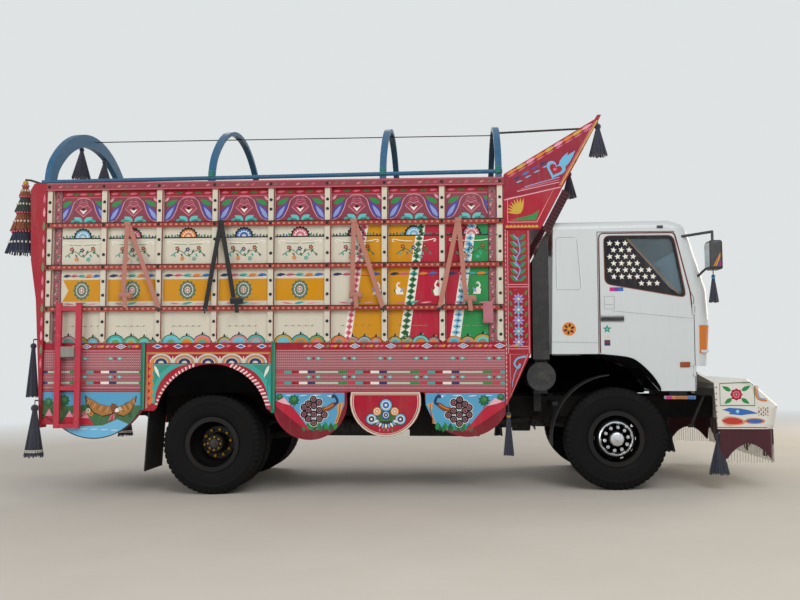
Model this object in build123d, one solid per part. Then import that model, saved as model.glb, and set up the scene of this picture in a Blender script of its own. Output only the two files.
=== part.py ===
from build123d import *
import os
from math import asin, cos, degrees, hypot, radians, sin

os.makedirs("parts", exist_ok=True)

# Frame: millimetres, X forward from the front axle, Y to the left, Z up from the road under the rear axle.
# Everything is drawn level. Last of all the whole truck turns nose down by RAKE_DEG about the rear axle
# and moves along X, so that it stands on Z = 0 with its origin under the middle of its length.

# Running gear
WHEELBASE = 4232.0
RAKE_DEG = 1.0
TYRE_RADIUS = 526.0
TYRE_WIDTH = 262.0
TREAD_WIDTH = 190.0
BEAD_RADIUS = 256.0
BEAD_WIDTH = 200.0
FRONT_WHEEL_Y = 1029.0
REAR_OUTER_Y = 1065.0
TWIN_SPACING = 315.0
RIM_WALL = 15.0
RIM_FLANGE = 288.0
DRUM_RADIUS = 205.0
SPINDLE_RADIUS = 42.0
REAR_SPINDLE_RADIUS = 52.0
RUNNING_FIT = 0.08
LOOSE_FIT = 1.0
KINGPIN_Y = 860.0
KINGPIN_RADIUS = 24.0
AXLE_EYE_RADIUS = 48.0
AXLE_EYE_HEIGHT = 110.0
STEER_ARM_X = -190.0
TIE_ROD_RADIUS = 17.0
SPRING_Y = 390.0
SPRING_WIDTH = 70.0
LEAF = 14.0

# Chassis frame
RAIL_OUTER_Y = 425.0
RAIL_FLANGE = 75.0
RAIL_SHEET = 8.0
RAIL_BOTTOM_Z = 780.0
RAIL_TOP_Z = 1010.0
RAIL_REAR_X = -6050.0
RAIL_FRONT_X = 1180.0

# Load body
RUNNER_HEIGHT = 100.0
BEARER_HEIGHT = 100.0
BEARER_WIDTH = 80.0
DECK = 40.0
WALL = 40.0
WALL_OUTER_Y = 1205.0
WALL_TOP_Z = 3330.0
BODY_REAR_X = -6064.0
BODY_FRONT_X = -1138.0
FIRST_POST_X = -6024.0
POST_PITCH = 606.0
POST_COUNT = 9
POST_WIDTH = 70.0
POST_DEPTH = 35.0
POST_BOTTOM_Z = 1605.0
SIDE_RAIL_DEPTH = 22.0
SIDE_RAIL_HEIGHT = 55.0
SIDE_RAIL_TOPS = (1993.0, 2441.0, 2896.0)
TOP_BEAM_HEIGHT = 85.0
SKIRT = 20.0
SKIRT_TOP_Z = 1600.0
ARCH_TOP_Z = 1375.0
ARCH_FOOT_Z = 912.0
ARCH_HALF_SPAN = 588.0
REAR_BATTEN_X = -4970.0
FRONT_BATTEN_X = -3570.0
BATTEN_WIDTH = 38.0
COLUMN_BOTTOM_Z = 1485.0
COLUMN_TIP_Z = 941.0
COLUMN_FRONT_X = -872.0
COLUMN_DEPTH = 60.0
PROW_FLOOR_Z = 2779.0
PROW_TIP = (-120.0, 3969.0)
PROW_KNEE = (-535.0, 3203.0)
PROW_TOE_X = -757.0
PROW_REAR_Z = 3361.0
PROW_CREST = 210.0
PROW_OUTER_Y = 1240.0
PROW_WALL = 35.0
HOOP_HALF_SPAN = 1175.0
HOOP_TOP_Z = 4140.0
HOOP_WIDTH = 70.0
HOOP_DEPTH = 45.0
REAR_HOOP_X = -6085.0
REAR_HOOP_DEPTH = 150.0
HOOP_HAUNCH_SHARE = 0.617
ROOF_TUBE_RADIUS = 22.0
WIRE_RADIUS = 6.0
STAY_RADIUS = 12.0
GATE_TOP_Z = 2150.0
GATE_THICKNESS = 50.0
GATE_SLACK = 6.0
HINGE_RADIUS = 14.0
HINGE_SHAFT_RADIUS = 6.0
HINGE_END_GAP = 1.0

# Cab
CAB_HALF_WIDTH = 1200.0
CAB_WALL = 45.0
CAB_CORNER = 140.0
CAB_ROOF_ROUND = 80.0
CAB_REAR_X = -654.0
CAB_REAR_FLOOR_Z = 1475.0
CAB_ROOF_Z = 2868.0
CAB_NOSE_X = 977.0
CAB_SILL_Z = 1095.0
CAB_TOE_X = 806.0
NOSE_UNDER_Z = 1349.0
TUNNEL_HALF_WIDTH = 420.0
TUNNEL_TOP_Z = 1420.0
TUNNEL_FRONT_X = 850.0
DOOR_REAR_X = -173.0
DOOR_FRONT_X = 800.0
DOOR_TOP_Z = 2744.0
DOOR_SLACK = 4.0
DOOR_HINGE_X = 794.0
DOOR_HINGE_INSET = 4.0
DOOR_HINGE_ZS = (1300.0, 1930.0)
GLASS = 6.0
TILT_X = 900.0
TILT_Z = 1280.0
TILT_PIN_RADIUS = 16.0
TILT_EAR = 24.0
SEAT_Y = 560.0
STEERING_WHEEL_RADIUS = 225.0

# Bumper
BUMPER_REAR_X = 984.0
BUMPER_NOSE_X = 1645.0
BUMPER_HALF_WIDTH = 1200.0
BUMPER_WALL = 25.0
BUMPER_LOW_Z = 710.0
BUMPER_TOP_Z = 1197.0
BUMPER_CORNER = 120.0
WING_REAR_X = 822.0
WING_REAR_Z = 1290.0

# Hanging ornaments
ORNAMENT_X = -6430.0
ORNAMENT_Y = 1000.0
ORNAMENT_RADIUS = 200.0
ORNAMENT_LENGTH = 820.0
ORNAMENT_TIERS = ((70.0, 150.0), (110.0, 335.0), (150.0, 540.0))

SEAT = 0.3
REAR_AXLE_X = -WHEELBASE * cos(radians(RAKE_DEG))
FRONT_AXLE_Z = TYRE_RADIUS + WHEELBASE * sin(radians(RAKE_DEG))
RUNNER_TOP_Z = RAIL_TOP_Z + RUNNER_HEIGHT
DECK_UNDER_Z = RUNNER_TOP_Z + BEARER_HEIGHT
FLOOR_Z = DECK_UNDER_Z + DECK
WALL_INNER_Y = WALL_OUTER_Y - WALL
POST_OUTER_Y = WALL_OUTER_Y + POST_DEPTH
SIDE_RAIL_OUTER_Y = POST_OUTER_Y + SIDE_RAIL_DEPTH
SKIRT_OUTER_Y = WALL_OUTER_Y + SKIRT
BEAM_BOTTOM_Z = WALL_TOP_Z - TOP_BEAM_HEIGHT
REAR_INNER_Y = REAR_OUTER_Y - TWIN_SPACING
TWIN_MIDDLE_Y = REAR_OUTER_Y - TWIN_SPACING / 2
BODY_LENGTH = BODY_FRONT_X - BODY_REAR_X
HOOP_RISE = HOOP_TOP_Z - WALL_TOP_Z
DOOR_HINGE_Y = CAB_HALF_WIDTH - DOOR_HINGE_INSET


def box(x0, x1, y0, y1, z0, z1):
    """A block between two X, two Y and two Z values."""
    block = Box(x1 - x0, y1 - y0, z1 - z0)
    return Pos((x0 + x1) / 2, (y0 + y1) / 2, (z0 + z1) / 2) * block


def rod(start, end, radius):
    """A round bar from one point to another."""
    start, end = Vector(*start), Vector(*end)
    plane = Plane(origin=start, z_dir=end - start)
    return plane * Cylinder(radius, (end - start).length, align=(Align.CENTER, Align.CENTER, Align.MIN))


def face_from(steps):
    """A closed face in local coordinates: a step is a corner (a, b) or a round stretch (via, to)."""
    edges = []
    here = steps[0]
    for step in [*steps[1:], steps[0]]:
        if isinstance(step[0], tuple):
            edges.append(ThreePointArc(here, step[0], step[1]))
            here = step[1]
        else:
            if hypot(step[0] - here[0], step[1] - here[1]) > 1e-6:
                edges.append(Line(here, step))
            here = step
    return make_face(edges)


def side_plate(steps, y0, y1):
    """An outline in X and Z, given thickness between two Y values."""
    return Pos(0, y1, 0) * extrude(Plane.XZ * face_from(steps), y1 - y0, dir=(0, -1, 0))


def cross_plate(steps, x0, x1):
    """An outline in Y and Z, given thickness between two X values."""
    return Pos(x0, 0, 0) * extrude(Plane.YZ * face_from(steps), x1 - x0, dir=(1, 0, 0))


def turned(steps):
    """A solid of revolution about the Y axis, from an outline in radius and Y."""
    return revolve(face_from(steps), Axis.Y)


def mirrored(shape):
    """The same piece on the other side of the truck."""
    return mirror(shape, Plane.XZ)


def both(shape):
    """A piece, or a list of them, with its mirror image, as one list."""
    shapes = shape if isinstance(shape, list) else [shape]
    return shapes + [mirrored(one) for one in shapes]


def basket_arch(half_span, rise, haunch, foot_z):
    """Three-centred arch in Y and Z: steps from its right foot over the top to its left foot."""
    crown = (half_span**2 + rise**2 - 2 * half_span * haunch) / (2 * (rise - haunch))
    haunch_y = half_span - haunch
    crown_z = foot_z + rise - crown
    lean = hypot(haunch_y, foot_z - crown_z)
    meet = (haunch_y * crown / lean, crown_z + (foot_z - crown_z) * crown / lean)
    half_turn = asin((meet[1] - foot_z) / haunch) / 2
    via = (haunch_y + haunch * cos(half_turn), foot_z + haunch * sin(half_turn))
    return [
        (-half_span, foot_z),
        ((-via[0], via[1]), (-meet[0], meet[1])),
        ((0, foot_z + rise), meet),
        (via, (half_span, foot_z)),
    ]


# Wheels, drawn about the Y axis with the road side of the truck at minus Y
def tyre():
    half, tread, bead = TYRE_WIDTH / 2, TREAD_WIDTH / 2, BEAD_WIDTH / 2
    shoulder = (TYRE_RADIUS - 18, -half + 15)
    wall = ((TYRE_RADIUS + RIM_FLANGE) / 2, -half)
    lip = RIM_FLANGE + 2
    right = [(BEAD_RADIUS, -bead), (lip, -bead), (wall, shoulder), (TYRE_RADIUS, -tread)]
    left = [(TYRE_RADIUS, tread), (shoulder[0], -shoulder[1])]
    left += [((wall[0], half), (lip, bead)), (BEAD_RADIUS, bead)]
    return turned(right + left)


def rim_barrel():
    """The rim that the tyre sits on, with a flange outside each bead."""
    outer = BEAD_RADIUS - SEAT
    edge, bead = BEAD_WIDTH / 2 + 14, BEAD_WIDTH / 2 + SEAT
    inner = outer - RIM_WALL
    return turned([
        (inner, -edge), (RIM_FLANGE, -edge), (RIM_FLANGE, -bead), (outer, -bead),
        (outer, bead), (RIM_FLANGE, bead), (RIM_FLANGE, edge), (inner, edge),
    ])


FRONT_HUB_INNER_Y = 965.0
FRONT_HUB_CAP_Y = 1172.0
FRONT_DISC_Y = 75.0
HAND_HOLES = 10
HAND_HOLE_RADIUS = 19.0
HAND_HOLE_CIRCLE = 215.0
DISC_SHEET = 14.0
DRUM_SHEET = 18.0


def front_rim():
    """Right front wheel about its own centre: rim, bulged disc with hand holes, hub, cap and brake drum."""
    inside = FRONT_WHEEL_Y - FRONT_HUB_INNER_Y
    cap = FRONT_WHEEL_Y - FRONT_HUB_CAP_Y
    lip = BEAD_RADIUS - RIM_WALL
    back = -FRONT_DISC_Y + DISC_SHEET
    disc = turned([(60, -FRONT_DISC_Y), (188, -FRONT_DISC_Y), (lip, -10), (lip, 4), (180, back), (60, back)])
    hub = turned([(0, cap), (62, cap), (76, cap + 14), (92, -FRONT_DISC_Y), (92, inside), (0, inside)])
    room = DRUM_RADIUS - DRUM_SHEET
    edge = inside + 10
    drum = turned([(80, 12), (DRUM_RADIUS, 12), (DRUM_RADIUS, edge), (room, edge), (room, 26), (80, 26)])
    wheel = rim_barrel() + disc + hub + drum
    radius = SPINDLE_RADIUS + RUNNING_FIT
    bore = turned([(0, -40), (radius, -40), (radius, inside + 20), (0, inside + 20)])
    hole = Pos(HAND_HOLE_CIRCLE, -30, 0) * Rot(90, 0, 0) * Cylinder(HAND_HOLE_RADIUS, 60)
    return wheel - bore - [Rot(0, i * 360 / HAND_HOLES, 0) * hole for i in range(HAND_HOLES)]


REAR_HUB_INNER_Y = 640.0
REAR_HUB_CAP_Y = 1075.0
REAR_SPINDLE_END_Y = 1000.0


def rear_rims():
    """Right twin wheels about the middle between them: two dished wheels back to back, hub and drum."""
    lip = BEAD_RADIUS - RIM_WALL
    offset = TWIN_SPACING / 2
    dish = turned([(90, -14), (175, -14), (lip, -offset + 52), (lip, -offset + 70), (168, 0), (90, 0)])
    outer = Pos(0, -offset, 0) * rim_barrel() + dish
    inner = mirrored(outer)
    inside = TWIN_MIDDLE_Y - REAR_HUB_INNER_Y
    cap = TWIN_MIDDLE_Y - REAR_HUB_CAP_Y
    hub = turned([(0, cap), (88, cap), (100, cap + 12), (112, -30), (112, inside), (0, inside)])
    room = DRUM_RADIUS - DRUM_SHEET
    edge = inside - 20
    drum = turned([(100, 40), (DRUM_RADIUS, 40), (DRUM_RADIUS, edge), (room, edge), (room, 56), (100, 56)])
    end = TWIN_MIDDLE_Y - REAR_SPINDLE_END_Y - 4
    radius = REAR_SPINDLE_RADIUS + RUNNING_FIT
    bore = turned([(0, end), (radius, end), (radius, inside + 10), (0, inside + 10)])
    return outer + inner + hub + drum - bore


def at_front_wheel(shape):
    return Pos(0, -FRONT_WHEEL_Y, FRONT_AXLE_Z) * shape


def at_rear_wheel(shape, y):
    return Pos(REAR_AXLE_X, -y, TYRE_RADIUS) * shape


FRONT_RIM = at_front_wheel(front_rim())
FRONT_TYRE = at_front_wheel(tyre())
REAR_RIMS = at_rear_wheel(rear_rims(), TWIN_MIDDLE_Y)
REAR_TYRES = [at_rear_wheel(tyre(), y) for y in (REAR_OUTER_Y, REAR_INNER_Y)]

# Front axle: forged beam, dropped between the springs, with an eye for each kingpin
BEAM_HALF_X = 45.0
BEAM_DROP = 80.0
BEAM_DEPTH = 90.0
SPRING_SEAT = 22.0


def front_axle():
    top = FRONT_AXLE_Z + BEAM_DEPTH / 2
    low = FRONT_AXLE_Z - BEAM_DEPTH / 2
    right = [(-KINGPIN_Y, top), (-KINGPIN_Y, low), (-640, low), (-500, low - BEAM_DROP)]
    left = [(500, low - BEAM_DROP), (640, low), (KINGPIN_Y, low), (KINGPIN_Y, top), (640, top)]
    outline = right + left + [(500, top - BEAM_DROP), (-500, top - BEAM_DROP), (-640, top)]
    beam = cross_plate(outline, -BEAM_HALF_X, BEAM_HALF_X)
    pocket = box(22, 60, -470, 470, low - BEAM_DROP + 20, top - BEAM_DROP - 20)
    beam -= [pocket, mirror(pocket, Plane.YZ)]
    seats = both(box(-70, 70, -SPRING_Y - 45, -SPRING_Y + 45, top - BEAM_DROP, top - BEAM_DROP + SPRING_SEAT))
    clear = AXLE_EYE_HEIGHT / 2 + 20
    ends = both(Pos(0, -KINGPIN_Y, FRONT_AXLE_Z) * Cylinder(AXLE_EYE_RADIUS, 2 * clear))
    outside = both(box(-100, 100, -KINGPIN_Y - 100, -KINGPIN_Y, low - 50, top + 50))
    eyes = both(Pos(0, -KINGPIN_Y, FRONT_AXLE_Z) * Cylinder(AXLE_EYE_RADIUS, AXLE_EYE_HEIGHT))
    bores = both(Pos(0, -KINGPIN_Y, FRONT_AXLE_Z) * Cylinder(KINGPIN_RADIUS + RUNNING_FIT, 3 * clear))
    return beam - outside - ends + eyes + seats - bores


STEER_EAR = 34.0
STEER_PIN_RADIUS = 12.0
KNUCKLE_INNER_Y = 920.0


def knuckle():
    """Right steering knuckle: two ears and the kingpin, backplate, spindle and a rearward arm."""
    gap = AXLE_EYE_HEIGHT / 2 + 1
    ear = Pos(0, -KINGPIN_Y, FRONT_AXLE_Z + gap + STEER_EAR / 2) * Cylinder(AXLE_EYE_RADIUS, STEER_EAR)
    low_ear = Pos(0, -KINGPIN_Y, FRONT_AXLE_Z - gap - STEER_EAR / 2) * Cylinder(AXLE_EYE_RADIUS, STEER_EAR)
    pin = Pos(0, -KINGPIN_Y, FRONT_AXLE_Z) * Cylinder(KINGPIN_RADIUS, 2 * gap + 2)
    tall = gap + STEER_EAR
    web = box(-45, 45, -KNUCKLE_INNER_Y - 20, -KNUCKLE_INNER_Y, FRONT_AXLE_Z - tall, FRONT_AXLE_Z + tall)
    bridge = box(-36, 36, -KNUCKLE_INNER_Y - 5, -KINGPIN_Y, FRONT_AXLE_Z + gap, FRONT_AXLE_Z + tall)
    low_bridge = box(-36, 36, -KNUCKLE_INNER_Y - 5, -KINGPIN_Y, FRONT_AXLE_Z - tall, FRONT_AXLE_Z - gap)
    plate_y = -KNUCKLE_INNER_Y - 14
    plate = rod((0, plate_y, FRONT_AXLE_Z), (0, plate_y - 8, FRONT_AXLE_Z), DRUM_RADIUS - 12)
    spindle = rod((0, -KNUCKLE_INNER_Y, FRONT_AXLE_Z), (0, -1062, FRONT_AXLE_Z), SPINDLE_RADIUS)
    arm_z = FRONT_AXLE_Z - gap - STEER_EAR / 2
    arm = rod((0, -KINGPIN_Y, arm_z), (STEER_ARM_X, -KINGPIN_Y, arm_z), 15)
    eye = Pos(STEER_ARM_X, -KINGPIN_Y, arm_z) * Cylinder(26, 32)
    stud = Pos(STEER_ARM_X, -KINGPIN_Y, arm_z - 36) * Cylinder(STEER_PIN_RADIUS, 50)
    return ear + low_ear + pin + web + bridge + low_bridge + plate + spindle + arm + eye + stud


def tie_rod():
    z = FRONT_AXLE_Z - AXLE_EYE_HEIGHT / 2 - 1 - STEER_EAR / 2 - 40
    bar = rod((STEER_ARM_X, -KINGPIN_Y, z), (STEER_ARM_X, KINGPIN_Y, z), TIE_ROD_RADIUS)
    eyes = [Pos(STEER_ARM_X, y, z) * Cylinder(27, 40) for y in (-KINGPIN_Y, KINGPIN_Y)]
    bores = [
        Pos(STEER_ARM_X, -KINGPIN_Y, z) * Cylinder(STEER_PIN_RADIUS + RUNNING_FIT, 60),
        Pos(STEER_ARM_X, KINGPIN_Y, z) * Cylinder(STEER_PIN_RADIUS + LOOSE_FIT, 60),
    ]
    return bar + eyes - bores


PINION_X = 330.0
REAR_PAD = 80.0


def rear_axle():
    """Banjo housing, tubes and spindles, with the propeller shaft on its flange."""
    centre = Pos(REAR_AXLE_X, 0, TYRE_RADIUS)
    banjo = centre * Rot(0, 90, 0) * Cylinder(190, 210)
    nose = centre * Pos(200, 0, 0) * Rot(0, 90, 0) * Cone(130, 70, 260)
    tube_end = REAR_HUB_INNER_Y - 6
    tubes = rod((REAR_AXLE_X, -tube_end, TYRE_RADIUS), (REAR_AXLE_X, tube_end, TYRE_RADIUS), 72)
    end = REAR_SPINDLE_END_Y
    spindles = rod((REAR_AXLE_X, -end, TYRE_RADIUS), (REAR_AXLE_X, end, TYRE_RADIUS), REAR_SPINDLE_RADIUS)
    pad = Box(140, 90, REAR_PAD, align=(Align.CENTER, Align.CENTER, Align.MIN))
    pads = both(Pos(REAR_AXLE_X, -SPRING_Y, TYRE_RADIUS) * pad)
    pinion = (REAR_AXLE_X + PINION_X, 0, TYRE_RADIUS)
    shaft = rod(pinion, (GEARBOX_REAR_X - SEAT, 0, SHAFT_FRONT_Z), 52)
    flange = rod((pinion[0] - 20, 0, TYRE_RADIUS), (pinion[0] + 40, 0, TYRE_RADIUS + 5), 85)
    trim = box(GEARBOX_REAR_X - SEAT, GEARBOX_REAR_X + 100, -100, 100, 500, 1000)
    return banjo + nose + tubes + spindles + pads + shaft + flange - trim


ENGINE_REAR_X = -800.0
ENGINE_FRONT_X = 150.0
ENGINE_HALF_WIDTH = 325.0
ENGINE_LOW_Z = 665.0
ENGINE_TOP_Z = 1290.0
GEARBOX_REAR_X = -1650.0
SHAFT_FRONT_Z = 820.0


def engine_block():
    """Engine and gearbox as one plain mass."""
    half = ENGINE_HALF_WIDTH
    block = box(ENGINE_REAR_X, ENGINE_FRONT_X, -half, half, ENGINE_LOW_Z, ENGINE_TOP_Z)
    bell = rod((ENGINE_REAR_X, 0, SHAFT_FRONT_Z), (ENGINE_REAR_X - 200, 0, SHAFT_FRONT_Z), 230)
    gearbox = box(GEARBOX_REAR_X, ENGINE_REAR_X - 150, -190, 190, SHAFT_FRONT_Z - 180, SHAFT_FRONT_Z + 140)
    fan = rod((ENGINE_FRONT_X, 0, 1000), (ENGINE_FRONT_X + 120, 0, 1000), 60)
    return block + bell + gearbox + fan


def leaf_spring(middle_x, seat_z, eye_z, half_length, leaves):
    """Stepped pack of curved leaves, its longest leaf on top with a rolled eye at each end."""
    rise = eye_z - seat_z
    radius = (half_length**2 + rise**2) / (2 * rise)
    centre_z = seat_z + radius
    pack = None
    for i in range(leaves):
        inner, outer = radius + i * LEAF, radius + (i + 1) * LEAF
        turn = asin(half_length * (1 - 0.16 * i) / radius)
        a, b = sin(turn), cos(turn)
        leaf = side_plate([
            (-inner * a, -inner * b), ((0, -inner), (inner * a, -inner * b)),
            (outer * a, -outer * b), ((0, -outer), (-outer * a, -outer * b)),
        ], -SPRING_Y - SPRING_WIDTH / 2, -SPRING_Y + SPRING_WIDTH / 2)
        pack = leaf if pack is None else pack + leaf
    pack = Pos(middle_x, 0, centre_z) * pack
    for side in (-1, 1):
        end = (middle_x + side * half_length, -SPRING_Y, eye_z)
        pack += Pos(*end) * Rot(90, 0, 0) * Cylinder(30, SPRING_WIDTH)
    clamp_z = seat_z - leaves * LEAF
    for x in (middle_x - 50, middle_x + 50):
        pack += box(x - 12, x + 12, -SPRING_Y - 44, -SPRING_Y + 44, clamp_z, seat_z + 18)
    return pack


FRONT_SPRING_HALF = 640.0
REAR_SPRING_HALF = 700.0
FRONT_LEAVES = 4
REAR_LEAVES = 7
SPRING_EYE_Z = RAIL_BOTTOM_Z - 42


def spring_seats():
    """Top of the longest leaf at the middle of the front and the rear spring."""
    front = FRONT_AXLE_Z + BEAM_DEPTH / 2 - BEAM_DROP + SPRING_SEAT + FRONT_LEAVES * LEAF
    rear = TYRE_RADIUS + REAR_PAD + REAR_LEAVES * LEAF
    return front, rear


# Chassis frame: two channel rails, cross members, spring hangers and the cab's carriers
END_PLATE = 12.0
CROSS_MEMBER_XS = (-5900.0, -5150.0, -4650.0, -3800.0, -3100.0, -2300.0, 420.0, 1120.0)


def channel():
    """Right rail, a channel open towards the middle."""
    inner = RAIL_OUTER_Y - RAIL_FLANGE
    full = box(RAIL_REAR_X, RAIL_FRONT_X, -RAIL_OUTER_Y, -inner, RAIL_BOTTOM_Z, RAIL_TOP_Z)
    hollow = box(
        RAIL_REAR_X - 10, RAIL_FRONT_X + 10, -RAIL_OUTER_Y + RAIL_SHEET, -inner + 10,
        RAIL_BOTTOM_Z + RAIL_SHEET, RAIL_TOP_Z - RAIL_SHEET,
    )
    return full - hollow


def hanger(x):
    """Cheeks under the right rail that hold a spring eye."""
    low, high = SPRING_EYE_Z - 34, RAIL_BOTTOM_Z
    wide = SPRING_WIDTH / 2 + 12
    bolt = Pos(x, -SPRING_Y, SPRING_EYE_Z) * Rot(90, 0, 0) * Cylinder(33, 2 * wide)
    block = box(x - 38, x + 38, -SPRING_Y - wide, -SPRING_Y + wide, low, high)
    gap = SPRING_WIDTH / 2 + SEAT
    room = box(x - 60, x + 60, -SPRING_Y - gap, -SPRING_Y + gap, low - 40, high - 10)
    return (block + bolt) - room


def tilt_bracket():
    """Right front cab carrier: two upright cheeks with the tilt pin between them."""
    middle = TUNNEL_HALF_WIDTH - 30
    inner, outer = middle - TILT_EAR / 2 - 2, middle + TILT_EAR / 2 + 2
    steps = [(TILT_X - 60, RAIL_TOP_Z), (TILT_X + 60, RAIL_TOP_Z), (TILT_X + 28, TILT_Z)]
    steps += [((TILT_X, TILT_Z + 28), (TILT_X - 28, TILT_Z))]
    cheeks = [side_plate(steps, -outer - 12, -outer), side_plate(steps, -inner, -inner + 12)]
    pin = rod((TILT_X, -outer - 12, TILT_Z), (TILT_X, -inner + 12, TILT_Z), TILT_PIN_RADIUS)
    foot = box(TILT_X - 60, TILT_X + 60, -outer - 12, -inner + 12, RAIL_TOP_Z, RAIL_TOP_Z + 25)
    return cheeks[0] + cheeks[1] + pin + foot


REAR_CARRIER_X = -600.0


def rear_carrier():
    """Portal behind the engine on which the back of the cab rests."""
    back, front, high = REAR_CARRIER_X - 30, REAR_CARRIER_X + 30, CAB_REAR_FLOOR_Z - SEAT
    legs = both(box(back, front, -RAIL_OUTER_Y, -RAIL_OUTER_Y + RAIL_FLANGE, RAIL_TOP_Z, high))
    top = box(back, front, -RAIL_OUTER_Y, RAIL_OUTER_Y, high - 80, high)
    return legs[0] + legs[1] + top


def chassis_frame():
    right = channel()
    eyes = [(0, FRONT_SPRING_HALF), (REAR_AXLE_X, REAR_SPRING_HALF)]
    for middle, half in eyes:
        for side in (-1, 1):
            right += hanger(middle + side * half)
    right += tilt_bracket()
    frame = right + mirrored(right)
    web = RAIL_OUTER_Y - RAIL_SHEET
    for x in CROSS_MEMBER_XS:
        beam = box(x - 35, x + 35, -web, web, RAIL_BOTTOM_Z + 30, RAIL_TOP_Z - 30)
        beam -= box(x - 27, x + 45, -web + 90, web - 90, RAIL_BOTTOM_Z + 38, RAIL_TOP_Z - 38)
        frame += beam
    low, high = RAIL_BOTTOM_Z + 10, RAIL_TOP_Z - 10
    end = box(RAIL_REAR_X - END_PLATE, RAIL_REAR_X, -RAIL_OUTER_Y, RAIL_OUTER_Y, low, high)
    return frame + end + rear_carrier()


RADIATOR_X = 650.0
RADIATOR_HALF_WIDTH = 340.0


def radiator():
    core = box(RADIATOR_X, RADIATOR_X + 80, -RADIATOR_HALF_WIDTH, RADIATOR_HALF_WIDTH, 730, 1360)
    for z in range(790, 1310, 40):
        core -= box(RADIATOR_X + 68, RADIATOR_X + 90, -300, 300, z, z + 20)
    web = RAIL_OUTER_Y - RAIL_SHEET
    feet = both(box(RADIATOR_X + 20, RADIATOR_X + 60, -web, -RADIATOR_HALF_WIDTH, 820, 860))
    return core + feet


TANK_Y = (470.0, 1010.0)
TANK_Z = (560.0, 980.0)
TANK_X = (-2950.0, -1750.0)
BATTERY_X = (-2150.0, -1400.0)


def chassis_boxes():
    """Fuel tank on the left and battery box on the right, each on two brackets."""
    tank = box(*TANK_X, *TANK_Y, *TANK_Z)
    tank = fillet(tank.edges().filter_by(Axis.X), 90)
    battery = box(*BATTERY_X, -900, -TANK_Y[0], 600, TANK_Z[1])
    for x in (TANK_X[0] + 200, TANK_X[1] - 260):
        tank += box(x, x + 60, RAIL_OUTER_Y, TANK_Y[0] + 20, 800, 960)
    for x in (BATTERY_X[0] + 120, BATTERY_X[1] - 180):
        battery += box(x, x + 60, -TANK_Y[0] - 20, -RAIL_OUTER_Y, 800, 960)
    return [tank, battery]


EXHAUST_Y = 290.0
EXHAUST_Z = 660.0
EXHAUST_STRAP_XS = (-3280.0, -2620.0)


def exhaust():
    """Silencer under the right rail with its pipe to the engine and a tail to the rear."""
    y, z = -EXHAUST_Y, EXHAUST_Z
    silencer = rod((-3350, y, z), (-2500, y, z), 110)
    pipe = rod((-2510, y, z), (-1700, y, z), 38)
    rise = rod((-1700, y, z), (-820, y, 760), 38)
    tail = rod((-3340, y, z), (-3600, y, z), 38)
    top = RAIL_BOTTOM_Z + 60
    straps = [box(x, x + 40, y - 25, y + 25, z + 90, top) for x in EXHAUST_STRAP_XS]
    arms = [box(x, x + 40, -RAIL_OUTER_Y + RAIL_SHEET, y + 25, top - 40, top) for x in EXHAUST_STRAP_XS]
    trimmed = rise - box(ENGINE_REAR_X - SEAT, ENGINE_REAR_X + 200, -400, 0, 500, 1000)
    return silencer + pipe + trimmed + tail + straps + arms


GUARD_RADIUS = 655.0
GUARD_SHEET = 8.0
GUARD_STAY_RISE = 330.0
FLAP_BEHIND_AXLE = 653.0
FLAP_SHEET = 12.0
FLAP_LEAN = 60.0
FLAP_LOW_Z = 240.0


def mudguards():
    """Arched guards behind the front wheels and rubber flaps behind the rear ones."""
    turns = [radians(angle) for angle in (96, 141, 186)]
    inner, outer = GUARD_RADIUS, GUARD_RADIUS + GUARD_SHEET
    near = [(inner * cos(turn), inner * sin(turn)) for turn in turns]
    far = [(outer * cos(turn), outer * sin(turn)) for turn in turns]
    guard = side_plate([near[0], (near[1], near[2]), far[2], (far[1], far[0])], -1185, -900)
    guard = Pos(0, 0, FRONT_AXLE_Z) * guard
    stay_z = FRONT_AXLE_Z + GUARD_STAY_RISE
    stay_x = -GUARD_RADIUS * cos(asin(GUARD_STAY_RISE / GUARD_RADIUS))
    guard += box(stay_x - 60, stay_x - 2, -930, -RAIL_OUTER_Y, stay_z, stay_z + 40)
    top_x = REAR_AXLE_X - FLAP_BEHIND_AXLE
    low_x = top_x - FLAP_LEAN
    steps = [(top_x, DECK_UNDER_Z), (top_x - FLAP_SHEET, DECK_UNDER_Z)]
    steps += [(low_x - FLAP_SHEET, FLAP_LOW_Z), (low_x, FLAP_LOW_Z)]
    return both(guard) + both(side_plate(steps, -1196, -640))


# Bumper: a faceted welded box, open below and behind, with two wings over the step and a lamp each side
BUMPER_BROW = (1354.0, BUMPER_TOP_Z + 20)
BUMPER_NOSE = (BUMPER_NOSE_X, 954.0)
BUMPER_CHIN = (1605.0, 732.0)
BUMPER_LIP_X = 1590.0
BUMPER_OUTLINE = [
    (BUMPER_REAR_X, BUMPER_TOP_Z), BUMPER_BROW, BUMPER_NOSE,
    BUMPER_CHIN, (BUMPER_LIP_X, BUMPER_LOW_Z), (BUMPER_REAR_X + 28, BUMPER_LOW_Z),
]
LAMP_Y = 860.0
LAMP_Z = 850.0
LAMP_RADIUS = 85.0


def bumper_block(inset):
    """The bumper's outer form, or its hollow when inset."""
    steps = BUMPER_OUTLINE
    if inset:
        steps = [
            (BUMPER_REAR_X - 20, BUMPER_TOP_Z - inset), (BUMPER_BROW[0] - inset / 2, BUMPER_BROW[1] - inset),
            (BUMPER_NOSE[0] - inset - 6, BUMPER_NOSE[1]), (BUMPER_CHIN[0] - inset, BUMPER_CHIN[1]),
            (BUMPER_LIP_X - inset, BUMPER_LOW_Z - 20), (BUMPER_REAR_X - 20, BUMPER_LOW_Z - 20),
        ]
    half = BUMPER_HALF_WIDTH - inset
    block = side_plate(steps, -half, half)
    edges = [e for e in block.edges() if abs(abs(e.center().Y) - half) < 1 and e.center().X > 1400]
    return fillet(edges, BUMPER_CORNER - inset)


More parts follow.
